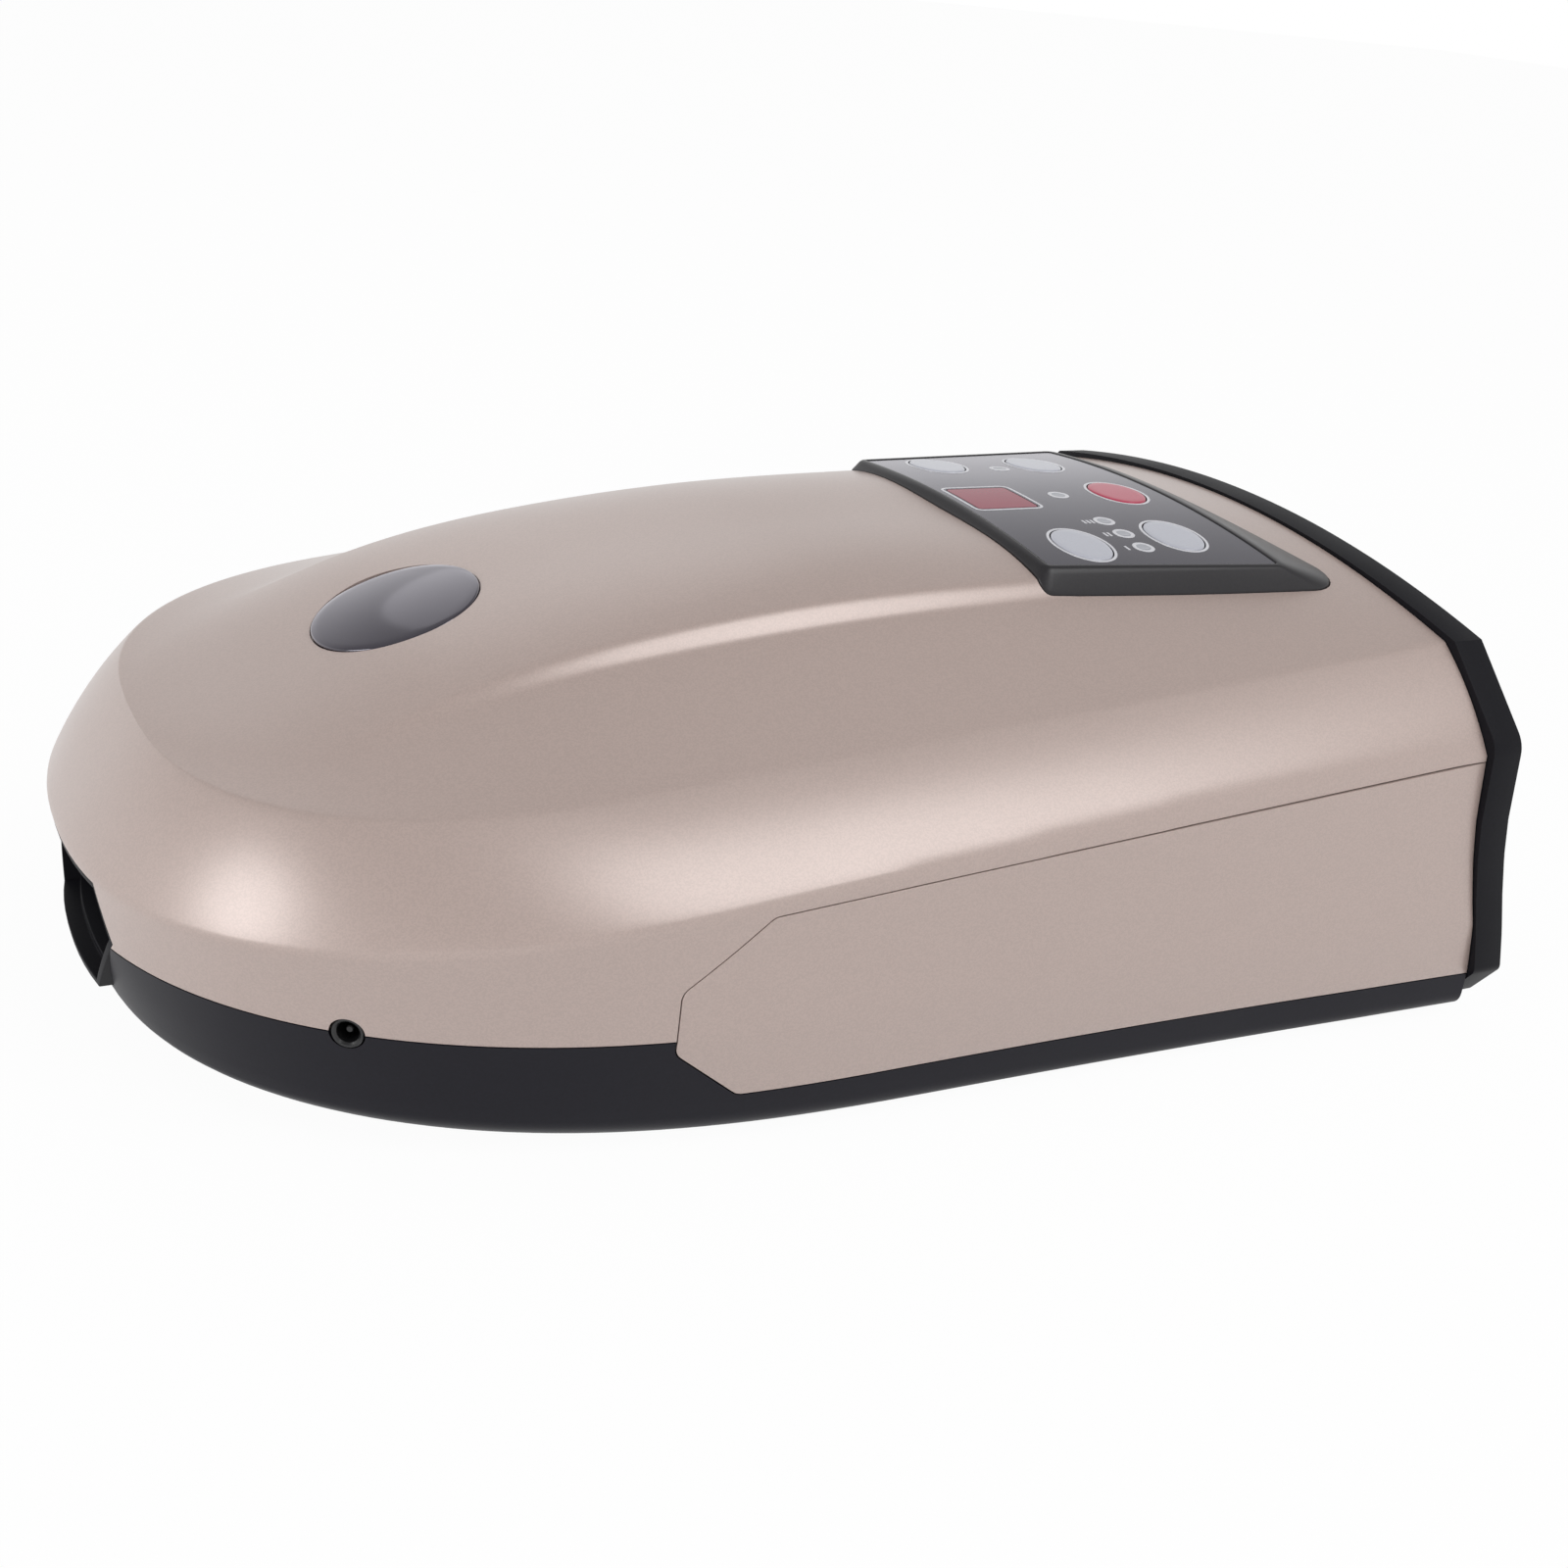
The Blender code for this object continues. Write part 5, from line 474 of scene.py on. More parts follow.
# turns a loop that is a hard edge of a closed tube into a round of its own
def softened(loops, radii, steps=4):
    softer = []
    for k, loop in enumerate(loops):
        if radii[k] <= 0:
            softer.append(loop)
            continue
        before, after = loops[k - 1], loops[(k + 1) % len(loops)]
        for step in range(steps + 1):
            t = step / steps
            arc = []
            for a, here, b in zip(before, loop, after):
                start = here + (a - here).normalized() * min(radii[k], (a - here).length / 2)
                end = here + (b - here).normalized() * min(radii[k], (b - here).length / 2)
                arc.append(start * (1 - t) ** 2 + here * (2 * t * (1 - t)) + end * t * t)
            softer.append(arc)
    return softer


# a profile of radius and height pairs, from the axis out and back to the axis
def spun(profile, segments, matrix=None):
    bm = bmesh.new()
    verts = [bm.verts.new((radius, 0.0, height)) for radius, height in profile]
    edges = [bm.edges.new(pair) for pair in zip(verts, verts[1:])]
    bmesh.ops.spin(
        bm, geom=verts + edges, cent=(0, 0, 0), axis=(0, 0, 1), angle=math.tau,
        steps=segments, use_merge=True, use_duplicate=False,
    )
    bmesh.ops.remove_doubles(bm, verts=bm.verts, dist=0.0005)
    faceOut(bm)
    if matrix:
        bmesh.ops.transform(bm, matrix=matrix, verts=bm.verts)
    return bm


def addCylinder(bm, radius, depth, matrix, segments):
    bmesh.ops.create_cone(
        bm, cap_ends=True, segments=segments, radius1=radius, radius2=radius, depth=depth, matrix=matrix,
    )


def addRod(bm, x, y, lowZ, highZ, radius):
    addCylinder(bm, radius, highZ - lowZ, Matrix.Translation((x, y, (lowZ + highZ) / 2)), 32)


# the verts of what an extrusion made
def newVerts(made):
    return [item for item in made["geom"] if isinstance(item, bmesh.types.BMVert)]


def drawOut(bm, made, vec):
    bmesh.ops.translate(bm, vec=vec, verts=newVerts(made))


def openEdges(bm):
    return [edge for edge in bm.edges if edge.is_boundary]


# outlines are lists of pairs that run counter-clockwise
def rounded(corners, radii, steps=6):
    points = []
    count = len(corners)
    for k in range(count):
        if radii[k] <= 0:
            points.append(Vector(corners[k]))
            continue
        here = Vector(corners[k])
        back = (Vector(corners[k - 1]) - here).normalized()
        ahead = (Vector(corners[(k + 1) % count]) - here).normalized()
        half = back.angle(ahead) / 2
        centre = here + (back + ahead).normalized() * (radii[k] / math.sin(half))
        start = here + back * (radii[k] / math.tan(half)) - centre
        end = here + ahead * (radii[k] / math.tan(half)) - centre
        sweep = start.angle_signed(end)
        for step in range(steps + 1):
            turned = start.copy()
            turned.rotate(Matrix.Rotation(-sweep * step / steps, 2))
            points.append(centre + turned)
    return points


def grown(outline, distance):
    points = []
    for k, here in enumerate(outline):
        here = Vector(here)
        back = (here - Vector(outline[k - 1])).normalized()
        ahead = (Vector(outline[(k + 1) % len(outline)]) - here).normalized()
        outBack, outAhead = Vector((back.y, -back.x)), Vector((ahead.y, -ahead.x))
        middle = (outBack + outAhead).normalized()
        points.append(here + middle * (distance / middle.dot(outBack)))
    return points


def rectangle(left, right, low, high):
    return [(left, low), (right, low), (right, high), (left, high)]


def refined(outline, steps):
    points = []
    for k, here in enumerate(outline):
        after = Vector(outline[(k + 1) % len(outline)])
        points += [Vector(here).lerp(after, step / steps) for step in range(steps)]
    return points


def oval(x, y, wide, long, steps=64):
    turns = [math.tau * k / steps for k in range(steps)]
    return [Vector((x + math.cos(t) * wide / 2, y + math.sin(t) * long / 2)) for t in turns]


# a prism from an outline: toPoint places a pair at a level
def prism(bm, outline, low, high, toPoint):
    face = bm.faces.new([bm.verts.new(toPoint(u, v, low)) for u, v in outline])
    rise = Vector(toPoint(0.0, 0.0, high)) - Vector(toPoint(0.0, 0.0, low))
    drawOut(bm, bmesh.ops.extrude_face_region(bm, geom=[face]), rise)


def upright(u, v, level):
    return (u, v, level)


def sideways(u, v, level):
    return (u, level, v)


def lengthways(u, v, level):
    return (level, u, v)


# camera at the photograph's angle
camera = {
    "azimuth": -28.992,
    "elevation": 23.921,
    "roll": 6.405,
    "target": (17.823, 0.0, 33.384),
    "distance": 513.941,
    "lens": 44.425,
}


def buildCamera():
    turn, rise, roll = (math.radians(camera[key]) for key in ("azimuth", "elevation", "roll"))
    back = Vector((math.sin(turn) * math.cos(rise), -math.cos(turn) * math.cos(rise), math.sin(rise)))
    right = Vector((math.cos(turn), math.sin(turn), 0.0))
    up = back.cross(right)
    rolledRight = right * math.cos(roll) + up * math.sin(roll)
    rolledUp = up * math.cos(roll) - right * math.sin(roll)
    data = bpy.data.cameras.new("photoCamera")
    data.sensor_width = 36.0
    data.lens = camera["lens"]
    data.clip_start = 0.01
    made = addToScene("photoCamera", data)
    place = Matrix((rolledRight, rolledUp, back)).transposed().to_4x4()
    place.translation = (Vector(camera["target"]) - boxMiddle + back * camera["distance"]) * mm
    made.matrix_world = place
    bpy.context.scene.camera = made


buildCamera()
print("camera set")


# painted shell: wall, shoulder, deck and the hood that rises to the controls
shell = {
    "spineShares": (
        (0.0, 0.0), (0.092, 0.199), (0.197, 0.535), (0.322, 0.790),
        (0.487, 0.957), (0.668, 1.0), (0.849, 0.982), (1.0, 0.953),
    ),
    "spineTop": 108.0,
    "shoulderLean": 0.40,
    "shoulderRise": 0.58,
    "crownPower": 3.0,
    "rearFlatness": 2.0,
    "footRise": 0.65,
    "hoodHalf": 47.0,
    "hoodFlank": 4.5,
    "hoodRise": 0.103,
    "hoodStart": -139.9,
    "hoodFull": -70.0,
    "heelRun": 6,
    "straightSteps": 60,
    "noseSteps": 48,
    "creasePasses": 2,
    "softPasses": 5,
    "softFrom": (-10.0, 25.0, 60.0),
    "deckPasses": 2,
    "wallShares": (0, 0.15, 0.3, 0.45, 0.6, 0.75, 0.87, 0.95, 1),
    "shoulderShares": (
        0.04, 0.1, 0.18, 0.27, 0.36, 0.45, 0.54, 0.63, 0.72, 0.8, 0.88, 0.94, 0.98, 1,
    ),
    "deckShares": (
        (0.03, 0.08, 0.15, 0.25, 0.37, 0.5, 0.63, 0.76, 0.88, 0.96, 1),
        (0.12, 0.25, 0.4, 0.55, 0.7, 0.85, 1),
        (0.03, 0.08, 0.16, 0.26, 0.38, 0.5, 0.64, 0.78, 0.9, 1),
    ),
}
controls = {
    "front": 54.5,
    "rear": 145.0,
    "frontHalf": 50.0,
    "rearHalf": 58.5,
    "corner": 11.0,
    "frontCorner": 3.0,
    "filmTop": 110.2,
    "filmCrown": 4.4,
}
bezel = {
    "frontRim": 1.5,
    "sideFlank": 2.5,
    "rearSlope": 20.0,
    "plateauCorner": 2.5,
    "rim": 1.6,
    "rimProud": 0.25,
    "proud": 0.4,
    "rearBow": 10.0,
    "skirt": 5.5,
    "wall": 2.5,
    "footRound": 0.5,
    "crestRound": 1.6,
    "lipRound": 0.35,
    "cornerLeast": 0.25,
    "cornerSteps": 8,
    "sideSteps": (48, 24, 40, 24),
    "rimInside": 1.2,
    "footInside": 3.0,
}


def controlLoop(inset, plateau=True):
    slant = (controls["rearHalf"] - controls["frontHalf"]) / (controls["rear"] - controls["front"])
    front, rear, flank = controls["front"], controls["rear"], 0.0
    frontCorner, rearCorner = controls["frontCorner"], controls["corner"]
    if plateau:
        front += bezel["frontRim"]
        rear -= bezel["rearSlope"]
        flank = bezel["sideFlank"]
        frontCorner = rearCorner = bezel["plateauCorner"]
    frontHalf = controls["frontHalf"] + slant * (front - controls["front"]) - flank - inset
    rearHalf = controls["frontHalf"] + slant * (rear - controls["front"]) - flank - inset
    front, rear = front + inset, rear - inset
    frontCorner = max(frontCorner - inset, bezel["cornerLeast"])
    rearCorner = max(rearCorner - inset, bezel["cornerLeast"])
    corners = [(rear, -rearHalf), (rear, rearHalf), (front, frontHalf), (front, -frontHalf)]
    radii, size = [rearCorner, rearCorner, frontCorner, frontCorner], bezel["cornerSteps"] + 1
    arcs = rounded(corners, radii, steps=bezel["cornerSteps"])
    points = []
    for side, steps in enumerate(bezel["sideSteps"]):
        first, last = side * size, (side + 1) * size
        after = arcs[last % len(arcs)]
        points += arcs[first:last]
        points += [arcs[last - 1].lerp(after, k / steps) for k in range(1, steps)]
    for point in points:
        if not plateau and point.x > rear - rearCorner - 0.01:
            point.x -= bezel["rearBow"] * max(1 - (point.y / (rearHalf + inset)) ** 2, 0.0)
    return points


def spineHeight(x):
    table = shell["spineShares"]
    run = (x - deckLine["nose"]) / (deckLine["rear"] - deckLine["nose"])
    run = min(max(run, 0.0), 1.0)
    last = len(table) - 1
    here = max(k for k in range(last) if table[k][0] <= run)
    before, after = table[here], table[here + 1]
    first, final = table[max(here - 1, 0)], table[min(here + 2, last)]
    width = after[0] - before[0]
    t = (run - before[0]) / width
    slopeIn = (after[1] - first[1]) / (after[0] - first[0]) * width
    slopeOut = (final[1] - before[1]) / (final[0] - before[0]) * width
    rise = before[1] * (2 * t**3 - 3 * t**2 + 1) + slopeIn * (t**3 - 2 * t**2 + t)
    rise += after[1] * (3 * t**2 - 2 * t**3) + slopeOut * (t**3 - t**2)
    return mix(deckLine["heights"][0], shell["spineTop"], rise)


def deckHeight(x, y):
    half = lineHalf(deckLine, x)
    across = min(abs(y) / half, 1.0) if half > gap else 0.0
    foot = (shell["hoodHalf"] + shell["hoodFlank"]) / deckLine["half"]
    if across < foot:
        rise = 1 - (1 - shell["footRise"]) * (across / foot) ** shell["crownPower"]
    else:
        rise = shell["footRise"] * (1 - across) / (1 - foot)
    forward = softStep((x - shell["hoodStart"]) / (shell["hoodFull"] - shell["hoodStart"]))
    inward = softStep((shell["hoodHalf"] + shell["hoodFlank"] - abs(y)) / shell["hoodFlank"])
    rise += shell["hoodRise"] * forward * inward * min(abs(y) / shell["hoodHalf"], 1.0) ** 2
    rearward = softStep((x - controls["front"]) / (controls["rear"] - controls["front"]))
    edge = lineHeight(deckLine, x)
    return edge + (spineHeight(x) - edge) * mix(rise, 1 - across ** shell["rearFlatness"], rearward)


def wallPoint(lowLine, highLine, share, station):
    return linePoint(lowLine, station).lerp(linePoint(highLine, station), share)


def shoulderPoint(share, station):
    low, high = linePoint(creaseLine, station), linePoint(deckLine, station)
    bend = low.lerp(high, shell["shoulderLean"])
    bend.z = mix(low.z, high.z, shell["shoulderRise"])
    return low * (1 - share) ** 2 + bend * (2 * share * (1 - share)) + high * share**2


def deckPoint(zone, share, station):
    edge = linePoint(deckLine, station)
    foot = edge.y * (shell["hoodHalf"] + shell["hoodFlank"]) / deckLine["half"]
    ridge = foot * shell["hoodHalf"] / (shell["hoodHalf"] + shell["hoodFlank"])
    y = (mix(edge.y, foot, share), mix(foot, ridge, share), ridge * (1 - share))[zone]
    return Vector((edge.x, y, deckHeight(edge.x, y)))


def stationList():
    straight, nose = shell["straightSteps"], shell["noseSteps"]
    near = [k / straight for k in range(straight)] + [1 + k / nose for k in range(nose + 1)]
    return [(s, -1) for s in near] + [(s, 1) for s in reversed(near[:-1])]


# rows of points from rear to nose to rear, one above another, as an open skin; the first row is
# lifted off the split line
def skin(rows, stations, lift=0.0):
    def pointAt(column, row):
        station, side = stations[column]
        point = rows[row](station)
        near = 1 - station * shell["heelRun"]
        if near > 0:
            end = rows[row](0.0)
            point.x += (casing["rear"] + rearShift(end.z) - end.x) * near
        return (point.x, point.y * side, point.z + (lift if row == 0 else 0.0))

    return drapedGrid(len(stations) - 1, len(rows) - 1, pointAt)


def closeSkin(bm, side=-1):
    bmesh.ops.remove_doubles(bm, verts=bm.verts, dist=0.01)
    bmesh.ops.dissolve_degenerate(bm, dist=0.005, edges=bm.edges)
    faceOut(bm)
    wall = max(bm.faces, key=lambda face: side * face.calc_center_median().y)
    if wall.normal.y * side < 0:
        bmesh.ops.reverse_faces(bm, faces=bm.faces)
    return bm


def smoothRows(bm, rows, passes, keep=lambda vert: True):
    layer = bm.verts.layers.int["row"]
    chosen = [v for v in bm.verts if v[layer] in rows and not v.is_boundary and keep(v)]
    for _ in range(passes):
        bmesh.ops.smooth_vert(
            bm, verts=chosen, factor=0.5, use_axis_x=True, use_axis_y=True, use_axis_z=True,
        )


panel = {
    "front": -58.0,
    "low": 13.3,
    "seam": 59.4,
    "seamSlope": 0.0823,
    "topRun": 19.3,
    "topDrop": 15.0,
    "lowRun": 15.5,
    "lowRise": 13.0,
    "corner": 3.6,
    "reach": 7.5,
    "wall": 1.6,
    "edge": 0.35,
    "lowShares": (0.75, 0.6, 0.45, 0.3, 0.15),
    "highRows": 8,
    "columns": 70,
    "lastStation": 1.45,
}


def panelOutline():
    rear = cutReach["rear"]
    seamFront = panel["front"] + panel["topRun"]
    seamFrontZ = panel["seam"] + panel["seamSlope"] * seamFront
    corners = [
        (panel["front"], panel["low"] + panel["lowRise"]),
        (panel["front"] + panel["lowRun"], panel["low"]),
        (rear, panel["low"]),
        (rear, panel["seam"] + panel["seamSlope"] * rear),
        (seamFront, seamFrontZ),
        (panel["front"], seamFrontZ - panel["topDrop"]),
    ]
    corner = panel["corner"]
    return rounded(corners, [corner, corner, 0, 0, corner, corner], steps=8)


fingerWindow = {
    "top": 44.0,
    "low": 15.0,
    "side": 32.5,
    "topHalf": 32.0,
    "sideHalf": 38.0,
    "lowHalf": 25.0,
    "ledge": 1.6,
    "step": 4.0,
    "depth": 16.0,
    "sink": 0.4,
    "lean": 2.0,
    "edge": 0.35,
    "sideSteps": 10,
}


def windowOutline(inset=0.0, steps=fingerWindow["sideSteps"]):
    low, side, top = fingerWindow["lowHalf"], fingerWindow["sideHalf"], fingerWindow["topHalf"]
    corners = [
        (-low, fingerWindow["low"]), (low, fingerWindow["low"]), (side, fingerWindow["side"]),
        (top, fingerWindow["top"]), (-top, fingerWindow["top"]), (-side, fingerWindow["side"]),
    ]
    return refined(grown(corners, -inset), steps)


# face of the finger window: on the nose wall, and nearly upright below the split
def noseWall(y, z):
    splitZ, creaseZ = splitLine["heights"][0], creaseLine["heights"][0]
    if z > splitZ:
        return mix(lineNose(splitLine, y), lineNose(creaseLine, y), (z - splitZ) / (creaseZ - splitZ))
    return lineNose(splitLine, y) + fingerWindow["lean"] * (splitZ - z) / (splitZ - fingerWindow["low"])


inlet = {
    "x": -121.2,
    "hole": 2.4,
    "collar": 3.5,
    "collarDepth": 5.6,
    "barrel": 4.8,
    "depth": 14.0,
    "socket": 9.0,
    "pin": 0.8,
    "pinEdge": 0.2,
    "sink": 0.3,
    "mouthEdge": 0.4,
    "collarEdge": 0.25,
    "cut": 12.0,
}


def inletPlace():
    ahead = lineHalf(splitLine, inlet["x"] + inlet["collar"])
    behind = lineHalf(splitLine, inlet["x"] - inlet["collar"])
    outward = Vector((behind - ahead, -2 * inlet["collar"], 0.0)).normalized()
    seat = Vector((inlet["x"], -lineHalf(splitLine, inlet["x"]), lineHeight(splitLine, inlet["x"])))
    return Matrix.Translation(seat) @ outward.to_track_quat("Z", "X").to_matrix().to_4x4()


badge = {
    "x": -88.8,
    "radius": 19.9,
    "seat": 1.0,
    "dome": 1.2,
    "edge": 0.3,
    "rim": 0.5,
    "rimTurns": (0.5, 1.0, 1.4),
    "domeSteps": 14,
    "cut": 8.0,
    "segments": 128,
}


def badgePlace():
    radius = badge["radius"]
    ahead, behind = spineHeight(badge["x"] - radius), spineHeight(badge["x"] + radius)
    height = ((ahead + behind) / 2 + spineHeight(badge["x"])) / 2
    lean = Matrix.Rotation(-math.atan((behind - ahead) / (2 * radius)), 4, "Y")
    return Matrix.Translation((badge["x"], 0.0, height)) @ lean


def wallCuts():
    panels = bmesh.new()
    for side in (-1, 1):
        span = sorted((side * (creaseLine["half"] - panel["reach"]), side * cutReach["side"]))
        prism(panels, grown(panelOutline(), gap), *span, sideways)
    window = bmesh.new()
    outline = grown(windowOutline(steps=1), gap)
    prism(window, outline, cutReach["noseFront"], cutReach["noseBack"], lengthways)
    hole = bmesh.new()
    addCylinder(hole, inlet["collar"] + gap, inlet["cut"], inletPlace(), 48)
    return [("DIFFERENCE", panels), ("DIFFERENCE", window), ("DIFFERENCE", hole)]


def crown(y):
    return controls["filmTop"] - controls["filmCrown"] * (y / controls["rearHalf"]) ** 2


def buildShell():
    rows = [lambda s, k=k: wallPoint(splitLine, creaseLine, k, s) for k in shell["wallShares"]]
    creaseRow = len(rows) - 1
    rows += [lambda s, k=k: shoulderPoint(k, s) for k in shell["shoulderShares"]]
    deckRow = len(rows) - 1
    for zone, shares in enumerate(shell["deckShares"]):
        rows += [lambda s, k=k, zone=zone: deckPoint(zone, k, s) for k in shares]
    bm = skin(rows, stationList(), gap / 2)
    closeSkin(bm)
    crease = range(creaseRow - 2, creaseRow + 3)
    smoothRows(bm, crease, shell["creasePasses"])
    for limit in shell["softFrom"]:
        smoothRows(bm, crease, shell["softPasses"], lambda v: v.co.x > limit)
    smoothRows(bm, range(deckRow - 1, deckRow + 2), shell["deckPasses"])
    piece = newObject("paintedShell", bm)
    addWall(piece, casing["wall"])
    opening = bmesh.new()
    prism(opening, controlLoop(-gap, plateau=False), *cutReach["shell"], upright)
    seat = bmesh.new()
    lift = Matrix.Translation((0, 0, badge["cut"] / 2 - badge["seat"] - gap))
    addCylinder(
        seat, badge["radius"] + gap, badge["cut"], badgePlace() @ lift, badge["segments"],
    )
    settle(piece, [("DIFFERENCE", opening), ("DIFFERENCE", seat)] + wallCuts())
    dress(piece, "lacquer", ["upper_shell"])


buildShell()
print("painted shell made")


# black base with a rounded lower edge, screw wells and seats for the feet
base = {
    "roundStart": 0.18,
    "wallRows": 6,
    "roundRows": 10,
    "floorRows": 6,
    "postRadius": 4.5,
    "postFoot": 2.6,
    "postTop": 30.0,
    "wellRadius": 3.2,
    "screwSeat": 20.0,
    "footSeat": 1.0,
    "footRadius": 7.0,
    "footEdge": 0.5,
    "footSole": ((0.0, 0.35), (4.6, 0.35), (5.0, 0.0), (6.4, 0.0), (6.8, 0.15)),
    "posts": ((-96.03, 61.891), (141.9, 83.92)),
    "feet": ((-115.5, 45.107), (118.8, 83.92)),
}


def roundPoint(share, station):
    high = linePoint(sillLine, station).lerp(linePoint(splitLine, station), base["roundStart"])
    bend = linePoint(sillLine, station) * (2 * share * (1 - share))
    return high * (1 - share) ** 2 + bend + linePoint(floorLine, station) * share**2


def floorPoint(share, station):
    edge = linePoint(floorLine, station)
    inner = edge.x if station <= 1 else sillLine["straight"]
    return Vector((mix(edge.x, inner, share), edge.y * (1 - share), edge.z))


def buildBase():
    walls, rounds, floors = base["wallRows"], base["roundRows"], base["floorRows"]
    wallShares = [k / walls * (1 - base["roundStart"]) for k in range(walls)]
    rows = [lambda s, k=k: wallPoint(splitLine, sillLine, k, s) for k in wallShares]
    rows += [lambda s, k=k: roundPoint(k / rounds, s) for k in range(rounds + 1)]
    rows += [lambda s, k=k: floorPoint(k / floors, s) for k in range(1, floors + 1)]
    piece = newObject("blackBase", closeSkin(skin(rows, stationList(), -gap / 2)))
    addWall(piece, casing["wall"])
    posts, holes = bmesh.new(), bmesh.new()
    under, seat = cutReach["under"], floorLine["heights"][0] + base["footSeat"]
    for side in (-1, 1):
        for x, y in base["posts"]:
            addRod(posts, x, y * side, base["postFoot"], base["postTop"], base["postRadius"])
            addRod(holes, x, y * side, under, base["screwSeat"], base["wellRadius"])
        for x, y in base["feet"]:
            addRod(holes, x, y * side, under, seat, base["footRadius"] + gap)
    settle(piece, [("UNION", posts), ("DIFFERENCE", holes)] + wallCuts())
    dress(piece, "base", ["base_tray"])


def buildPanels():
    high, columns = panel["highRows"], panel["columns"]
    rows = [lambda s, k=k: wallPoint(splitLine, sillLine, k, s) for k in panel["lowShares"]]
    rows += [lambda s, k=k: wallPoint(splitLine, creaseLine, k / high, s) for k in range(high + 1)]
    for name, node, side in (("nearPanel", "side_panel_near", -1), ("farPanel", "side_panel_far", 1)):
        stations = [(k / columns * panel["lastStation"], side) for k in range(columns + 1)]
        bm = closeSkin(skin(rows, stations), side)
        outline = panelOutline()
        for k, here in enumerate(outline):
            along = Vector(outline[(k + 1) % len(outline)]) - here
            cutAlong(bm, (here.x, 0.0, here.y), (along.y, 0.0, -along.x), clear=True)
        bmesh.ops.remove_doubles(bm, verts=bm.verts, dist=0.02)
        piece = newObject(name, bm)
        addWall(piece, panel["wall"])
        addRound(piece, panel["edge"])
        settle(piece)
        dress(piece, "lacquer", [node])


buildBase()
buildPanels()
print("base and side panels made")


# black ring round the hand entry
trim = {
    "depth": 9.1,
    "rear": 165.0,
    "arcTop": 107.0,
    "shoulder": (87.8, 96.8),
    "cheek": (107.9, 77.0),
    "low": (111.8, 14.4),
    "foot": (103.5, 3.2),
    "edge": 1.0,
    "mouthHalf": 70.0,
    "mouthLow": 25.0,
    "mouthTop": 72.5,
    "mouthCorner": 15.0,
    "mouthEdge": 2.4,
    "mouthMargin": 0.5,
    "mouthFront": 1.0,
    "heelStep": 3.0,
    "heelCuts": 19,
    "rounds": (2.5, 2.5, 3.5, 8.0, 0, 0, 8.0, 3.5),
    "arcSteps": 40,
    "sharpTurn": 1.2,
}


def trimOutline():
    shoulderY, shoulderZ = trim["shoulder"]
    cheek, low, foot = trim["cheek"], trim["low"], trim["foot"]
    corners = [(-foot[0], foot[1]), foot, low, cheek, (shoulderY, shoulderZ)]
    corners += [(-shoulderY, shoulderZ), (-cheek[0], cheek[1]), (-low[0], low[1])]
    points = rounded(corners, trim["rounds"])
    shoulder = Vector(trim["shoulder"])
    shoulderAt = min(range(len(points)), key=lambda k: (points[k] - shoulder).length)
    arc = []
    for k in range(1, trim["arcSteps"]):
        across = 1 - 2 * k / trim["arcSteps"]
        arc.append(Vector((shoulderY * across, mix(trim["arcTop"], shoulderZ, across * across))))
    return points[:shoulderAt + 1] + arc + points[shoulderAt + 1:]


def rimEdges(edges, x, keep=lambda vert: True):
    return [edge for edge in edges if all(abs(v.co.x - x) < 0.01 and keep(v) for v in edge.verts)]


def buildTrim():
    half, low, top = trim["mouthHalf"], trim["mouthLow"], trim["mouthTop"]
    mouth = rounded(rectangle(-half, half, low, top), [trim["mouthCorner"]] * 4, steps=12)
    front, rear = trim["rear"] - trim["depth"], trim["rear"]
    bm = bmesh.new()
    for outline in (trimOutline(), mouth):
        ring = loopEdges(bm, [(front, u, v) for u, v in outline])
        drawOut(bm, bmesh.ops.extrude_edge_only(bm, edges=ring), (rear - front, 0.0, 0.0))

    def inMouth(vert):
        margin = trim["mouthMargin"]
        return abs(vert.co.y) < half + margin and low - margin < vert.co.z < top + margin

    for x in (front, rear):
        bmesh.ops.triangle_fill(bm, edges=rimEdges(bm.edges, x), use_beauty=True)
    faceOut(bm)
    turn = trim["sharpTurn"]
    sharp = [edge for edge in bm.edges if edge.is_manifold and edge.calc_face_angle() > turn]
    mouthRim = rimEdges(sharp, rear, inMouth)
    outerRim = [edge for edge in sharp if not any(inMouth(v) for v in edge.verts)]
    for edges, width, segments in ((outerRim, trim["edge"], 4), (mouthRim, trim["mouthEdge"], 6)):
        bmesh.ops.bevel(
            bm, geom=edges, offset=width, offset_type="OFFSET", affect="EDGES", segments=segments,
            profile=0.5, material=-1, clamp_overlap=True,
        )
    for level in range(1, trim["heelCuts"] + 1):
        cutAlong(bm, (0.0, 0.0, level * trim["heelStep"]), (0.0, 0.0, 1.0))
    for vert in bm.verts:
        stays = inMouth(vert) and vert.co.x < front + trim["mouthFront"]
        lean = -casing["rearLean"] * vert.co.z / casing["height"]
        vert.co.x += lean if stays else rearShift(vert.co.z)
    piece = newObject("entryRing", bm)
    dress(piece, "trim", ["entry_trim"], sharp=26)


buildTrim()
print("entry ring made")


# raised housing of the controls, from its skirt under the deck to the rim round the overlay
overlay = {
    "thick": 0.9,
    "halfX": 50.0,
    "halfY": 62.0,
    "columns": 4,
    "rows": 72,
    "plateGap": 0.3,
    "plateLow": 2.8,
    "plateLap": 0.2,
    "plateSill": 1.2,
}


def deckLoop(inset, rise):
    return [Vector((p.x, p.y, deckHeight(p.x, p.y) + rise)) for p in controlLoop(inset, plateau=False)]


def crownLoop(inset, rise):
    return [Vector((p.x, p.y, crown(p.y) + rise)) for p in controlLoop(inset)]


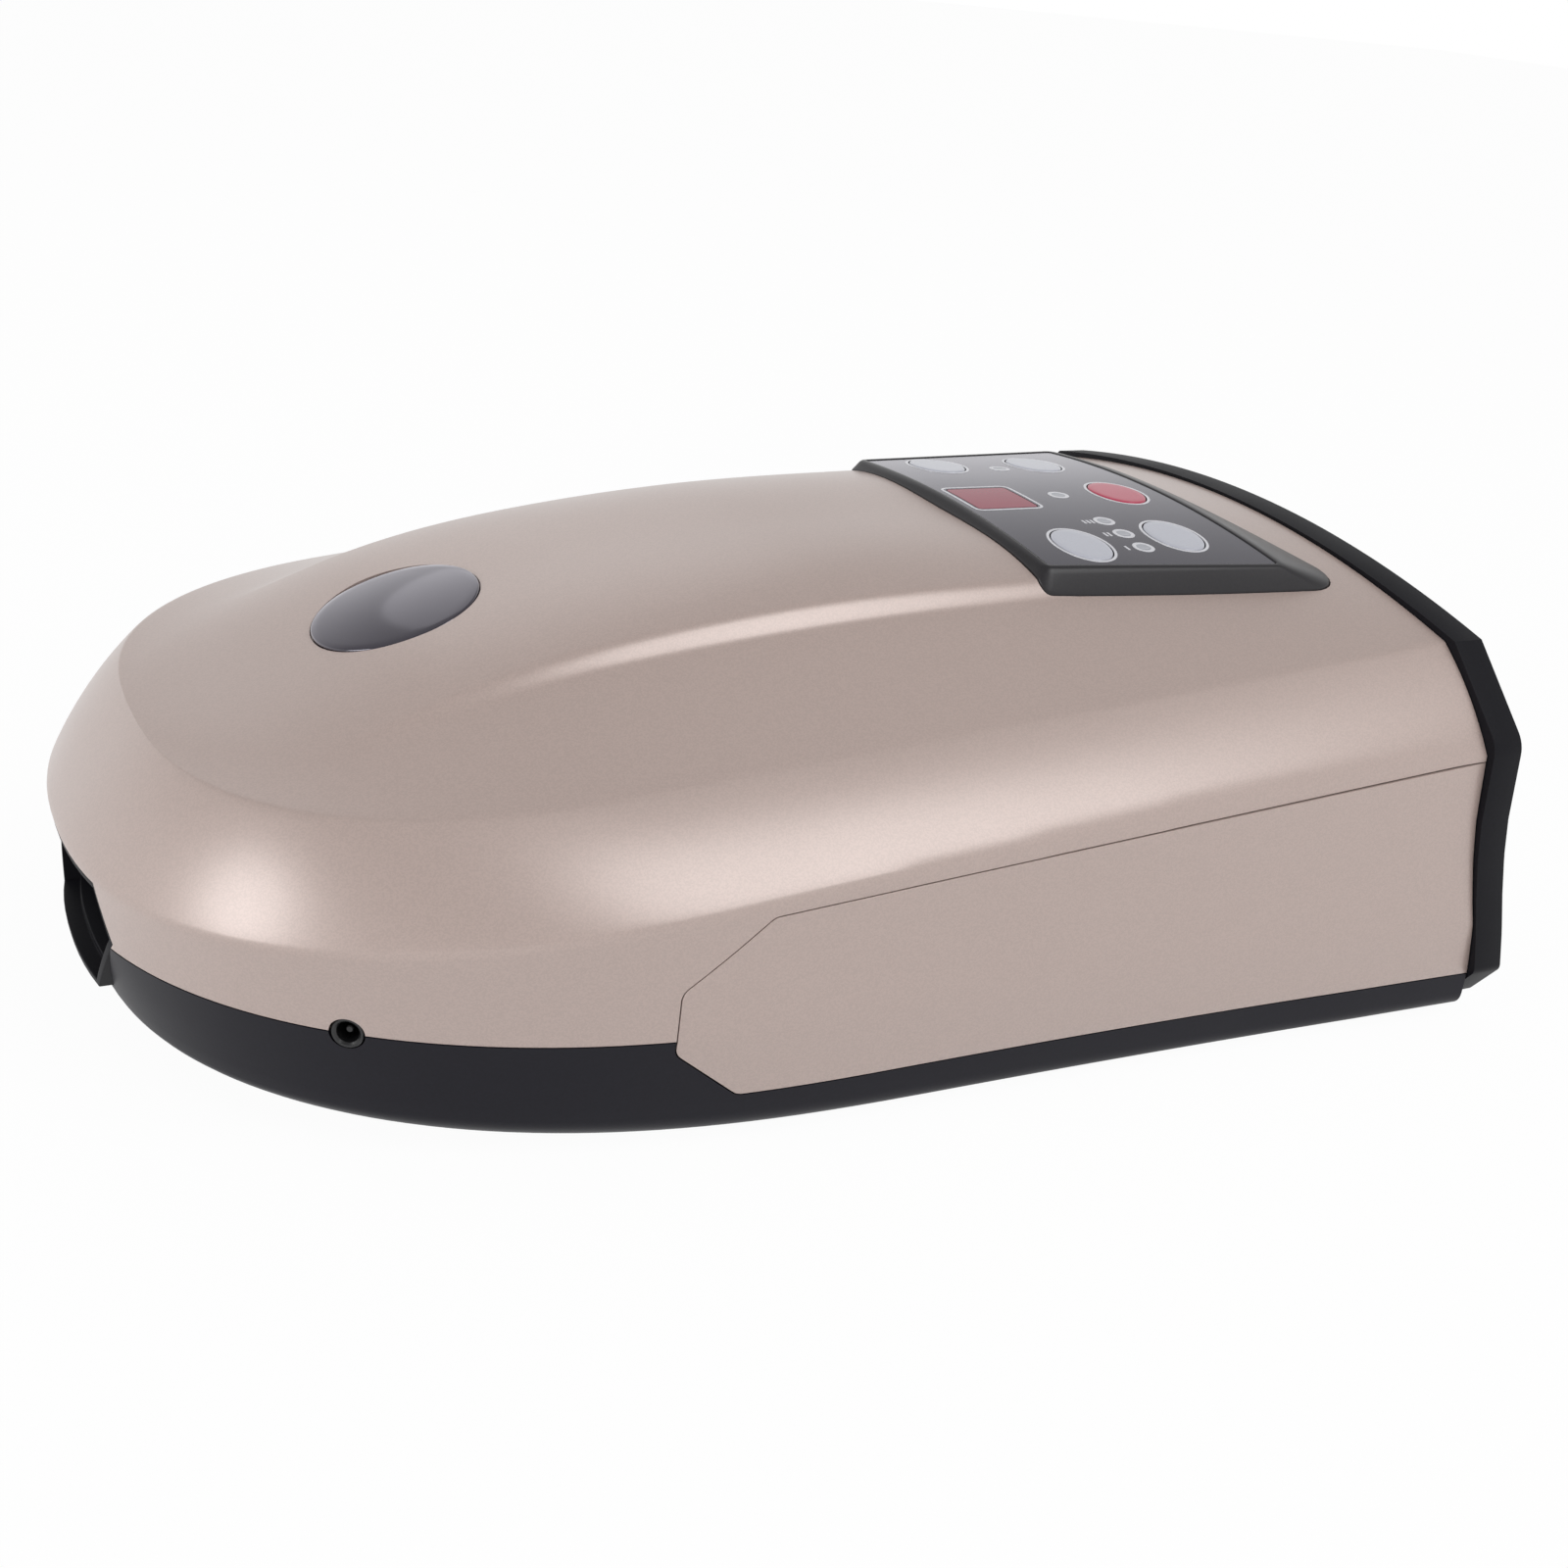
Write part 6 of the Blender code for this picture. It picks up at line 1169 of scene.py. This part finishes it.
# a slab that follows the crown of the controls, to be cut to its outline
def crownSlab(top, bottom):
    bm = bmesh.new()
    centre = (controls["front"] + controls["rear"]) / 2
    bmesh.ops.create_grid(bm, x_segments=overlay["columns"], y_segments=overlay["rows"], size=1.0)
    for vert in bm.verts:
        y = vert.co.y * overlay["halfY"]
        vert.co = (centre + vert.co.x * overlay["halfX"], y, crown(y) + top)
    drawOut(bm, bmesh.ops.extrude_face_region(bm, geom=bm.faces[:]), (0.0, 0.0, bottom - top))
    faceOut(bm)
    return bm


keys = {
    "long": 19.0,
    "wide": 14.0,
    "proud": 0.3,
    "stem": 2.0,
    "flange": 1.0,
    "flangeTop": -3.9,
    "flangeBottom": -4.8,
    "edge": 0.45,
    "ring": 0.75,
    "ringGap": 0.35,
    "edgeTurns": (0.4, 0.8, 1.2, math.pi / 2),
    "topSteps": 5,
    "stemLap": 0.2,
    "places": {
        "key_timer": (74.5, -35.5),
        "key_pressure": (104.8, -33.0),
        "key_heat": (74.5, 35.5),
        "key_mode": (104.8, 33.0),
        "key_power": (110.0, 0.0),
    },
}
lamps = {
    "radius": 1.6,
    "ring": 1.0,
    "places": ((91.0, -21.4), (91.0, -30.2), (91.0, -39.0), (91.0, 0.0), (91.0, 29.2)),
    "spotGap": 0.02,
    "spotTop": 0.02,
    "spotThick": 0.25,
    "barLong": 2.3,
    "barWide": 0.65,
    "barPitch": 1.25,
    "barAway": 5.0,
}
printing = {
    "top": 0.06,
    "low": -0.1,
}
display = {
    "x": 70.0,
    "long": 18.0,
    "wide": 17.2,
    "corner": 1.0,
    "ring": 0.7,
    "ringGap": 0.9,
}


def displayOutline(grow=0.0):
    halfX, halfY = display["long"] / 2 + grow, display["wide"] / 2 + grow
    x, corner = display["x"], display["corner"] + max(grow, 0.0)
    return rounded(rectangle(x - halfX, x + halfX, -halfY, halfY), [corner] * 4)


def keyOutline(place, grow):
    return oval(*place, keys["wide"] + 2 * grow, keys["long"] + 2 * grow)


# upright prisms over the keys, the lamps and the window, each grown by its own amount
def controlPrisms(keyGrow, lampGrow, windowGrow, levels=cutReach["controls"]):
    bm = bmesh.new()
    for place in keys["places"].values():
        prism(bm, keyOutline(place, keyGrow), *levels, upright)
    for x, y in lamps["places"]:
        addRod(bm, x, y, *levels, lamps["radius"] + lampGrow)
    prism(bm, displayOutline(windowGrow), *levels, upright)
    return bm


# a slab of the overlay's height that is kept inside an outline
def cutSlab(name, top, low, outline, holes=()):
    piece = newObject(name, crownSlab(top, low))
    inside = bmesh.new()
    prism(inside, outline, *cutReach["controls"], upright)
    settle(piece, [("INTERSECT", inside)] + [("DIFFERENCE", bm) for bm in holes])
    return piece


def buildHousing():
    loops = [
        deckLoop(0.0, -bezel["skirt"]),
        deckLoop(0.0, bezel["proud"]),
        crownLoop(0.0, bezel["rimProud"]),
        crownLoop(bezel["rim"], bezel["rimProud"]),
        crownLoop(bezel["rim"], -overlay["thick"] - bezel["rimInside"]),
        crownLoop(bezel["wall"], -overlay["thick"] - bezel["footInside"]),
        deckLoop(bezel["wall"], bezel["proud"] - bezel["wall"]),
        deckLoop(bezel["wall"], -bezel["skirt"]),
    ]
    radii = [0, bezel["footRound"], bezel["crestRound"], bezel["lipRound"], 0, 0, 0, 0]
    piece = newObject("controlHousing", loft(softened(loops, radii), closed=True))
    top, low = -overlay["thick"] - overlay["plateGap"], -overlay["thick"] - overlay["plateLow"]
    holes = [controlPrisms(gap, gap, -overlay["plateSill"])]
    plate = cutSlab("controlPlate", top, low, controlLoop(bezel["rim"] - overlay["plateLap"]), holes)
    for made in (piece, plate):
        dress(made, "housing", ["control_bezel"], sharp=50)


def buildOverlay():
    low = -overlay["thick"]
    holes = [controlPrisms(gap, gap, gap)]
    film = cutSlab("glossOverlay", 0.0, low, controlLoop(bezel["rim"] + gap), holes)
    dress(film, "overlay", ["control_film"])
    window = cutSlab("smokedWindow", 0.0, low, displayOutline())
    dress(window, "window", ["display_window"])


# silver printing on the overlay: a frame round the window, rings round keys and lamps, bar marks
def buildPrinting():
    levels = cutReach["printing"]
    inner = (keys["ringGap"], gap, display["ringGap"])
    outer = [grow + part["ring"] for grow, part in zip(inner, (keys, lamps, display))]
    marks, cut = controlPrisms(*outer, levels), controlPrisms(*inner, levels)
    for count, (x, y) in zip((3, 2, 1), lamps["places"]):
        for k in range(count):
            barX = x - lamps["barAway"] + (k - (count - 1) / 2) * lamps["barPitch"]
            halfX, halfY = lamps["barWide"] / 2, lamps["barLong"] / 2
            bar = rectangle(barX - halfX, barX + halfX, y - halfY, y + halfY)
            prism(marks, bar, *levels, upright)
    piece = newObject("silverPrinting", crownSlab(printing["top"], printing["low"]))
    settle(piece, [("INTERSECT", marks), ("DIFFERENCE", cut)])
    dress(piece, "silver", ["control_film"])


# clear spots of the overlay over the lamps, pale like the pipes under them
def buildLampSpots():
    spots = bmesh.new()
    for x, y in lamps["places"]:
        addRod(spots, x, y, *cutReach["printing"], lamps["radius"] + gap - lamps["spotGap"])
    piece = newObject("lampSpots", crownSlab(lamps["spotTop"], -lamps["spotThick"]))
    settle(piece, [("INTERSECT", spots)])
    dress(piece, "pipe", ["control_film"])


def buildKeys():
    for number, (node, (x, y)) in enumerate(keys["places"].items()):
        half, edge, steps = keys["wide"] / 2, keys["edge"], keys["topSteps"]
        stretch = keys["long"] / keys["wide"]
        profile = [((half - edge) * k / steps, 0.0) for k in range(steps + 1)]
        for t in keys["edgeTurns"]:
            profile.append((half - edge + edge * math.sin(t), -edge * (1 - math.cos(t))))
        flange = half + keys["flange"]
        top, low = keys["flangeTop"] - keys["proud"], keys["flangeBottom"] - keys["proud"]
        profile += [(half, top), (flange, top), (flange, low), (0.0, low)]
        bm = spun(profile, 96)
        for vert in bm.verts:
            vert.co.y *= stretch
            vert.co.z += crown(y + vert.co.y) + keys["proud"]
        bmesh.ops.translate(bm, vec=(x, y, 0.0), verts=bm.verts)
        stemTop = crown(y) + keys["flangeBottom"] + keys["stemLap"]
        addRod(bm, x, y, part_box(node)[0].z / mm, stemTop, keys["stem"])
        piece = newObject(f"keyCap{number + 1}", bm)
        finish, slot = ("keyRed", "key_red") if node == "key_power" else ("keyPale", "key_white")
        dress(piece, finish, [node], body=f"{node}_cap")


buildHousing()
buildOverlay()
buildPrinting()
buildLampSpots()
buildKeys()
print("controls made")


# round gloss badge on the nose deck, left bare
def buildBadge():
    radius, rim, low = badge["radius"], badge["rim"], badge["edge"] - badge["rim"]
    profile = [(0.0, -badge["seat"]), (radius, -badge["seat"]), (radius, low)]
    profile += [(radius - rim * (1 - math.cos(t)), low + rim * math.sin(t)) for t in badge["rimTurns"]]
    for k in range(1, badge["domeSteps"] + 1):
        share = (1 - k / badge["domeSteps"]) * (radius - rim) / radius
        profile.append((radius * share, badge["edge"] + badge["dome"] * (1 - share * share)))
    piece = newObject("glossBadge", spun(profile, badge["segments"], matrix=badgePlace()))
    dress(piece, "badge", ["badge_cap"], sharp=40)


def windowLoop(inset, depth):
    points = windowOutline(inset)
    return [Vector((noseWall(y, z) + fingerWindow["sink"] + depth, y, z)) for y, z in points]


# stepped frame of the finger window
def buildWindowFrame():
    ledge, step, edge = fingerWindow["ledge"], fingerWindow["step"], fingerWindow["edge"]
    loops = [windowLoop(0.0, fingerWindow["depth"])]
    radii = [0]
    for k in range(3):
        loops += [windowLoop(ledge * k, step * k), windowLoop(ledge * (k + 1), step * k)]
        radii += [edge, edge]
    loops.append(windowLoop(ledge * 3, fingerWindow["depth"]))
    radii.append(0)
    piece = newObject("fingerWindowFrame", loft(softened(loops, radii), closed=True))
    dress(piece, "trim", ["finger_window_frame"], sharp=24)


liner = {
    "rearX": -48.3,
    "half": 64.0,
    "narrow": 58.0,
    "low": 27.0,
    "top": 69.0,
    "wall": 1.6,
    "steps": 40,
    "pleatDepth": 0.35,
    "pleats": 9,
}


# cloth duct from the finger window back to the tunnel, drawn in a little at its pleats
def buildLiner():
    narrow, half, low, top = liner["narrow"], liner["half"], liner["low"], liner["top"]
    level = (low + top) / 2
    corners = [(-narrow, low), (narrow, low), (half, level)]
    corners += [(-y, low + top - z) for y, z in corners]
    frontInset = fingerWindow["ledge"] * 2 - liner["wall"]

    def section(share, inset):
        front = windowLoop(frontInset + inset, fingerWindow["depth"] + gap)
        outline = refined(grown(corners, -inset), fingerWindow["sideSteps"])
        rear = [Vector((liner["rearX"], y, z)) for y, z in outline]
        swell = softStep(share)
        centre = sum(front, Vector()) / len(front)
        pleat = liner["pleatDepth"] * math.sin(math.pi * share * liner["pleats"]) ** 2
        loop = []
        for a, b in zip(front, rear):
            point = Vector((mix(a.x, b.x, share), mix(a.y, b.y, swell), mix(a.z, b.z, swell)))
            out = Vector((0.0, point.y - centre.y, point.z - centre.z)).normalized()
            loop.append(point - out * pleat if inset else point)
        return loop

    shares = [k / liner["steps"] for k in range(liner["steps"] + 1)]
    loops = [section(s, 0.0) for s in shares] + [section(s, liner["wall"]) for s in reversed(shares)]
    piece = newObject("tunnelLiner", loft(loops, closed=True))
    dress(piece, "liner", ["tunnel_liner"], sharp=60)


def buildJack():
    hole, collar, barrel, pin = inlet["hole"], inlet["collar"], inlet["barrel"], inlet["pin"]
    tip, pinEdge, bottom = -inlet["collarDepth"] / 3, inlet["pinEdge"], -inlet["socket"]
    sink, mouthEdge, collarEdge = inlet["sink"], inlet["mouthEdge"], inlet["collarEdge"]
    profile = [
        (0.0, tip), (pin - pinEdge, tip), (pin, tip - pinEdge), (pin, bottom), (hole, bottom),
        (hole, -sink - mouthEdge), (hole + mouthEdge, -sink), (collar - collarEdge, -sink),
        (collar, -sink - collarEdge), (collar, -inlet["collarDepth"]),
        (barrel, -inlet["collarDepth"]), (barrel, -inlet["depth"]), (0.0, -inlet["depth"]),
    ]
    piece = newObject("powerInlet", spun(profile, 64, matrix=inletPlace()))
    dress(piece, "socket", ["dc_jack"])


def buildFeet():
    radius = base["footRadius"]
    for number in range(1, 2 * len(base["feet"]) + 1):
        low, high = (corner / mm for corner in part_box(f"rubber_foot_{number}"))
        centre, height = (low + high) / 2, high.z
        profile = [*base["footSole"], (radius, base["footEdge"]), (radius, height), (0.0, height)]
        place = Matrix.Translation((centre.x + boxMiddle.x, centre.y, 0.0))
        piece = newObject(f"rubberFoot{number}", spun(profile, 56, matrix=place))
        dress(piece, "rubber", [f"rubber_foot_{number}"])


buildBadge()
buildWindowFrame()
buildLiner()
buildJack()
buildFeet()
print("badge, window, liner, inlet and feet made")


# pads that press the hand, and the bags behind them
pads = {
    "front": -40.0,
    "rear": 148.0,
    "half": 63.0,
    "columns": 188,
    "rows": 126,
    "edgePower": 6,
    "edgeShare": 0.45,
    "cornerShare": 0.06,
    "nubPitch": 24.0,
    "nubHeight": 1.1,
    "nubRun": 6,
    "seamInset": 6.0,
    "seamDepth": 0.5,
    "seamWidth": 0.9,
    "palmLevel": 23.6,
    "palmThick": 3.2,
    "pressLevel": 73.1,
    "pressThick": 3.4,
}
bags = {
    "front": -32.0,
    "rear": 140.0,
    "half": 55.0,
    "corner": 8.0,
    "weld": 5.0,
    "weldThick": 0.5,
    "weldShares": (0.0, 0.55),
    "wallFrom": 0.6,
    "wallShares": (0.2, 0.4, 0.6, 0.8, 1.0),
    "topShares": (0.25, 0.5, 0.75, 0.97),
}


def buildPad(name, node, baseZ, thick, direction, nubs, body):
    centre, halfX = (pads["front"] + pads["rear"]) / 2, (pads["rear"] - pads["front"]) / 2

    def pointAt(column, row):
        u, v = column / pads["columns"] * 2 - 1, row / pads["rows"] * 2 - 1
        edge = (1 - abs(u) ** pads["edgePower"]) * (1 - abs(v) ** pads["edgePower"])
        pull = 1 - pads["cornerShare"] * u * u * v * v
        x, y = centre + halfX * u * pull, pads["half"] * v * pull
        rise = thick * (pads["edgeShare"] + (1 - pads["edgeShare"]) * math.sqrt(edge))
        if nubs and edge > pads["edgeShare"]:
            turn = math.pi / pads["nubPitch"]
            wave = math.cos(turn * (x - centre)) * math.cos(turn * y)
            inward = softStep((edge - pads["edgeShare"]) * pads["nubRun"])
            rise += pads["nubHeight"] * (wave * wave - 1) * inward
        away = min(halfX * (1 - abs(u)), pads["half"] * (1 - abs(v))) - pads["seamInset"]
        rise -= pads["seamDepth"] * math.exp(-(away / pads["seamWidth"]) ** 2)
        return (x, y, baseZ + direction * rise)

    bm = drapedGrid(pads["columns"], pads["rows"], pointAt)
    for vert in newVerts(bmesh.ops.extrude_edge_only(bm, edges=openEdges(bm))):
        vert.co.z = baseZ
    bmesh.ops.holes_fill(bm, edges=openEdges(bm))
    faceOut(bm)
    piece = newObject(name, bm)
    dress(piece, "pad", [node], body, sharp=50)


def buildBag(name, node):
    low, high = (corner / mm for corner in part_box(node))
    half, front, rear = bags["half"], bags["front"], bags["rear"]
    centre = (front + rear) / 2
    corners = rounded(rectangle(front, rear, -half, half), [bags["corner"]] * 4, steps=8)
    outline = refined(corners, 4)
    centreZ, thick = (low.z + high.z) / 2, (high.z - low.z) / 2

    def level(share, rise):
        loop = []
        for x, y in grown(outline, -bags["weld"] * min(share, 1.0)):
            pull = 1 - max(share - 1.0, 0.0)
            loop.append(Vector((mix(centre, x, pull), y * pull, centreZ + rise)))
        return loop

    weld = bags["weldThick"] / 2
    upper = [level(share, weld) for share in bags["weldShares"]]
    for t in bags["wallShares"]:
        rise = mix(weld, thick, math.sin(t * math.pi / 2))
        upper.append(level(mix(bags["wallFrom"], 1.0, t), rise))
    upper += [level(1.0 + t, thick) for t in bags["topShares"]]
    lower = [[Vector((p.x, p.y, 2 * centreZ - p.z)) for p in loop] for loop in upper]
    bm = loft(list(reversed(lower)) + upper)
    bmesh.ops.edgeloop_fill(bm, edges=openEdges(bm))
    faceOut(bm)
    piece = newObject(name, bm)
    piece.data.materials.clear()
    piece.data.materials.append(finishes["bag"])
    piece.data.shade_smooth()
    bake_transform(piece)
    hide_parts(node)


buildPad("palmPad", "palm_pad", pads["palmLevel"], pads["palmThick"], 1, True, "lower_press")
buildPad("pressPad", "press_pad", pads["pressLevel"], pads["pressThick"], -1, False, "upper_press")
buildBag("upperBag", "upper_airbag")
buildBag("lowerBag", "lower_airbag")
print("pads and bags made")


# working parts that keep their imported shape
carried = {
    "pale": (
        "press_plate", "palm_plate", "battery_cradle", "pump_cradle",
        "front_valve_plunger", "rear_valve_plunger",
    ),
    "tray": ("upper_tray", "lower_tray", "pump_head", "air_manifold"),
    "module": ("display_module", "front_valve_body", "rear_valve_body"),
    "steel": ("pump_motor", "motor_rotor"),
    "cells": ("battery_pack",),
    "heater": ("heating_film",),
    "board": ("control_board", "main_board"),
    "pipe": ("light_guide",),
    "hose": ("pump_hose", "upper_bag_hose", "lower_bag_hose"),
    "lead": ("control_lead", "battery_lead", "motor_lead", "jack_lead"),
}
for finish, members in carried.items():
    for member in members:
        for holder in nodes[member].material_slots:
            holder.material = finishes[finish]
for member, node in nodes.items():
    if "screw" in member:
        for holder in node.material_slots:
            holder.material = finishes["steel"]
print("working parts finished")


# studio: pale floor, soft lights, white surround for the camera and for reflections
studio = {
    "floorSize": 14.0,
    "floorTone": 0.86,
    "floorGlow": 0.96,
    "floorRough": 0.7,
    "floorDrop": 0.0002,
    "aim": (0.0, 0.0, 0.05),
    "surround": 0.56,
    "ceiling": 0.40,
    "ceilingFrom": 0.15,
    "ceilingFull": 0.62,
    "lights": (
        ("noseLight", (-1.22, -0.18, 0.43), 0.60, 4.2),
        ("sideLight", (0.38, -0.80, 1.02), 0.85, 6.4),
        ("farLight", (0.2, 1.2, 0.9), 0.8, 0.6),
    ),
}


def mixBy(tree, share, first, second):
    return addNode(tree, "MixShader", {0: share, 1: first, 2: second}).outputs[0]


def seenRays(tree):
    path = addNode(tree, "LightPath", {})
    share = path.outputs["Is Camera Ray"]
    for name in ("Is Glossy Ray", "Is Transmission Ray"):
        share = addMath(tree, "MAXIMUM", share, path.outputs[name])
    return share


def buildSurround():
    world = bpy.data.worlds.new("studioWorld")
    world.use_nodes = True
    bpy.context.scene.world = world
    tree = world.node_tree
    place = addNode(tree, "TexCoord", {})
    split = addNode(tree, "SeparateXYZ", {"Vector": place.outputs["Generated"]})
    start, full = studio["ceilingFrom"], studio["ceilingFull"]
    tone = addRange(tree, split.outputs["Z"], 1.0, studio["ceiling"], start, full)
    soft = tree.nodes["Background"]
    feed(tree, soft, {"Color": (1.0, 1.0, 1.0, 1.0), "Strength": studio["surround"]})
    white = addNode(tree, "Background", {"Color": tone, "Strength": 1.0})
    seen = mixBy(tree, seenRays(tree), soft.outputs[0], white.outputs[0])
    feed(tree, tree.nodes["World Output"], {"Surface": seen})


def buildFloor():
    material = bpy.data.materials.new("paleFloor")
    material.use_nodes = True
    tree = material.node_tree
    shader = tree.nodes["Principled BSDF"]
    tone = studio["floorTone"]
    feed(tree, shader, {
        "Base Color": (tone, tone, tone, 1.0),
        "Roughness": studio["floorRough"],
        "Specular IOR Level": 0.2,
    })
    glow = addNode(tree, "Emission", {"Strength": 1.0})
    share = addMath(tree, "MULTIPLY", seenRays(tree), studio["floorGlow"])
    lit = mixBy(tree, share, shader.outputs[0], glow.outputs[0])
    feed(tree, tree.nodes["Material Output"], {"Surface": lit})
    bm = bmesh.new()
    bmesh.ops.create_grid(bm, x_segments=1, y_segments=1, size=studio["floorSize"] / 2 / mm)
    floor = newObject("studioFloor", bm)
    floor.location.z = -studio["floorDrop"]
    floor.data.materials.append(material)


def buildLights():
    for name, spot, size, power in studio["lights"]:
        data = bpy.data.lights.new(name, "AREA")
        data.shape = "DISK"
        data.size = size
        data.energy = power
        light = addToScene(name, data)
        light.location = spot
        light.rotation_mode = "QUATERNION"
        light.rotation_quaternion = (Vector(studio["aim"]) - Vector(spot)).to_track_quat("-Z", "Y")


bpy.context.scene.view_settings.view_transform = "Standard"
buildSurround()
buildFloor()
buildLights()
print("studio made")
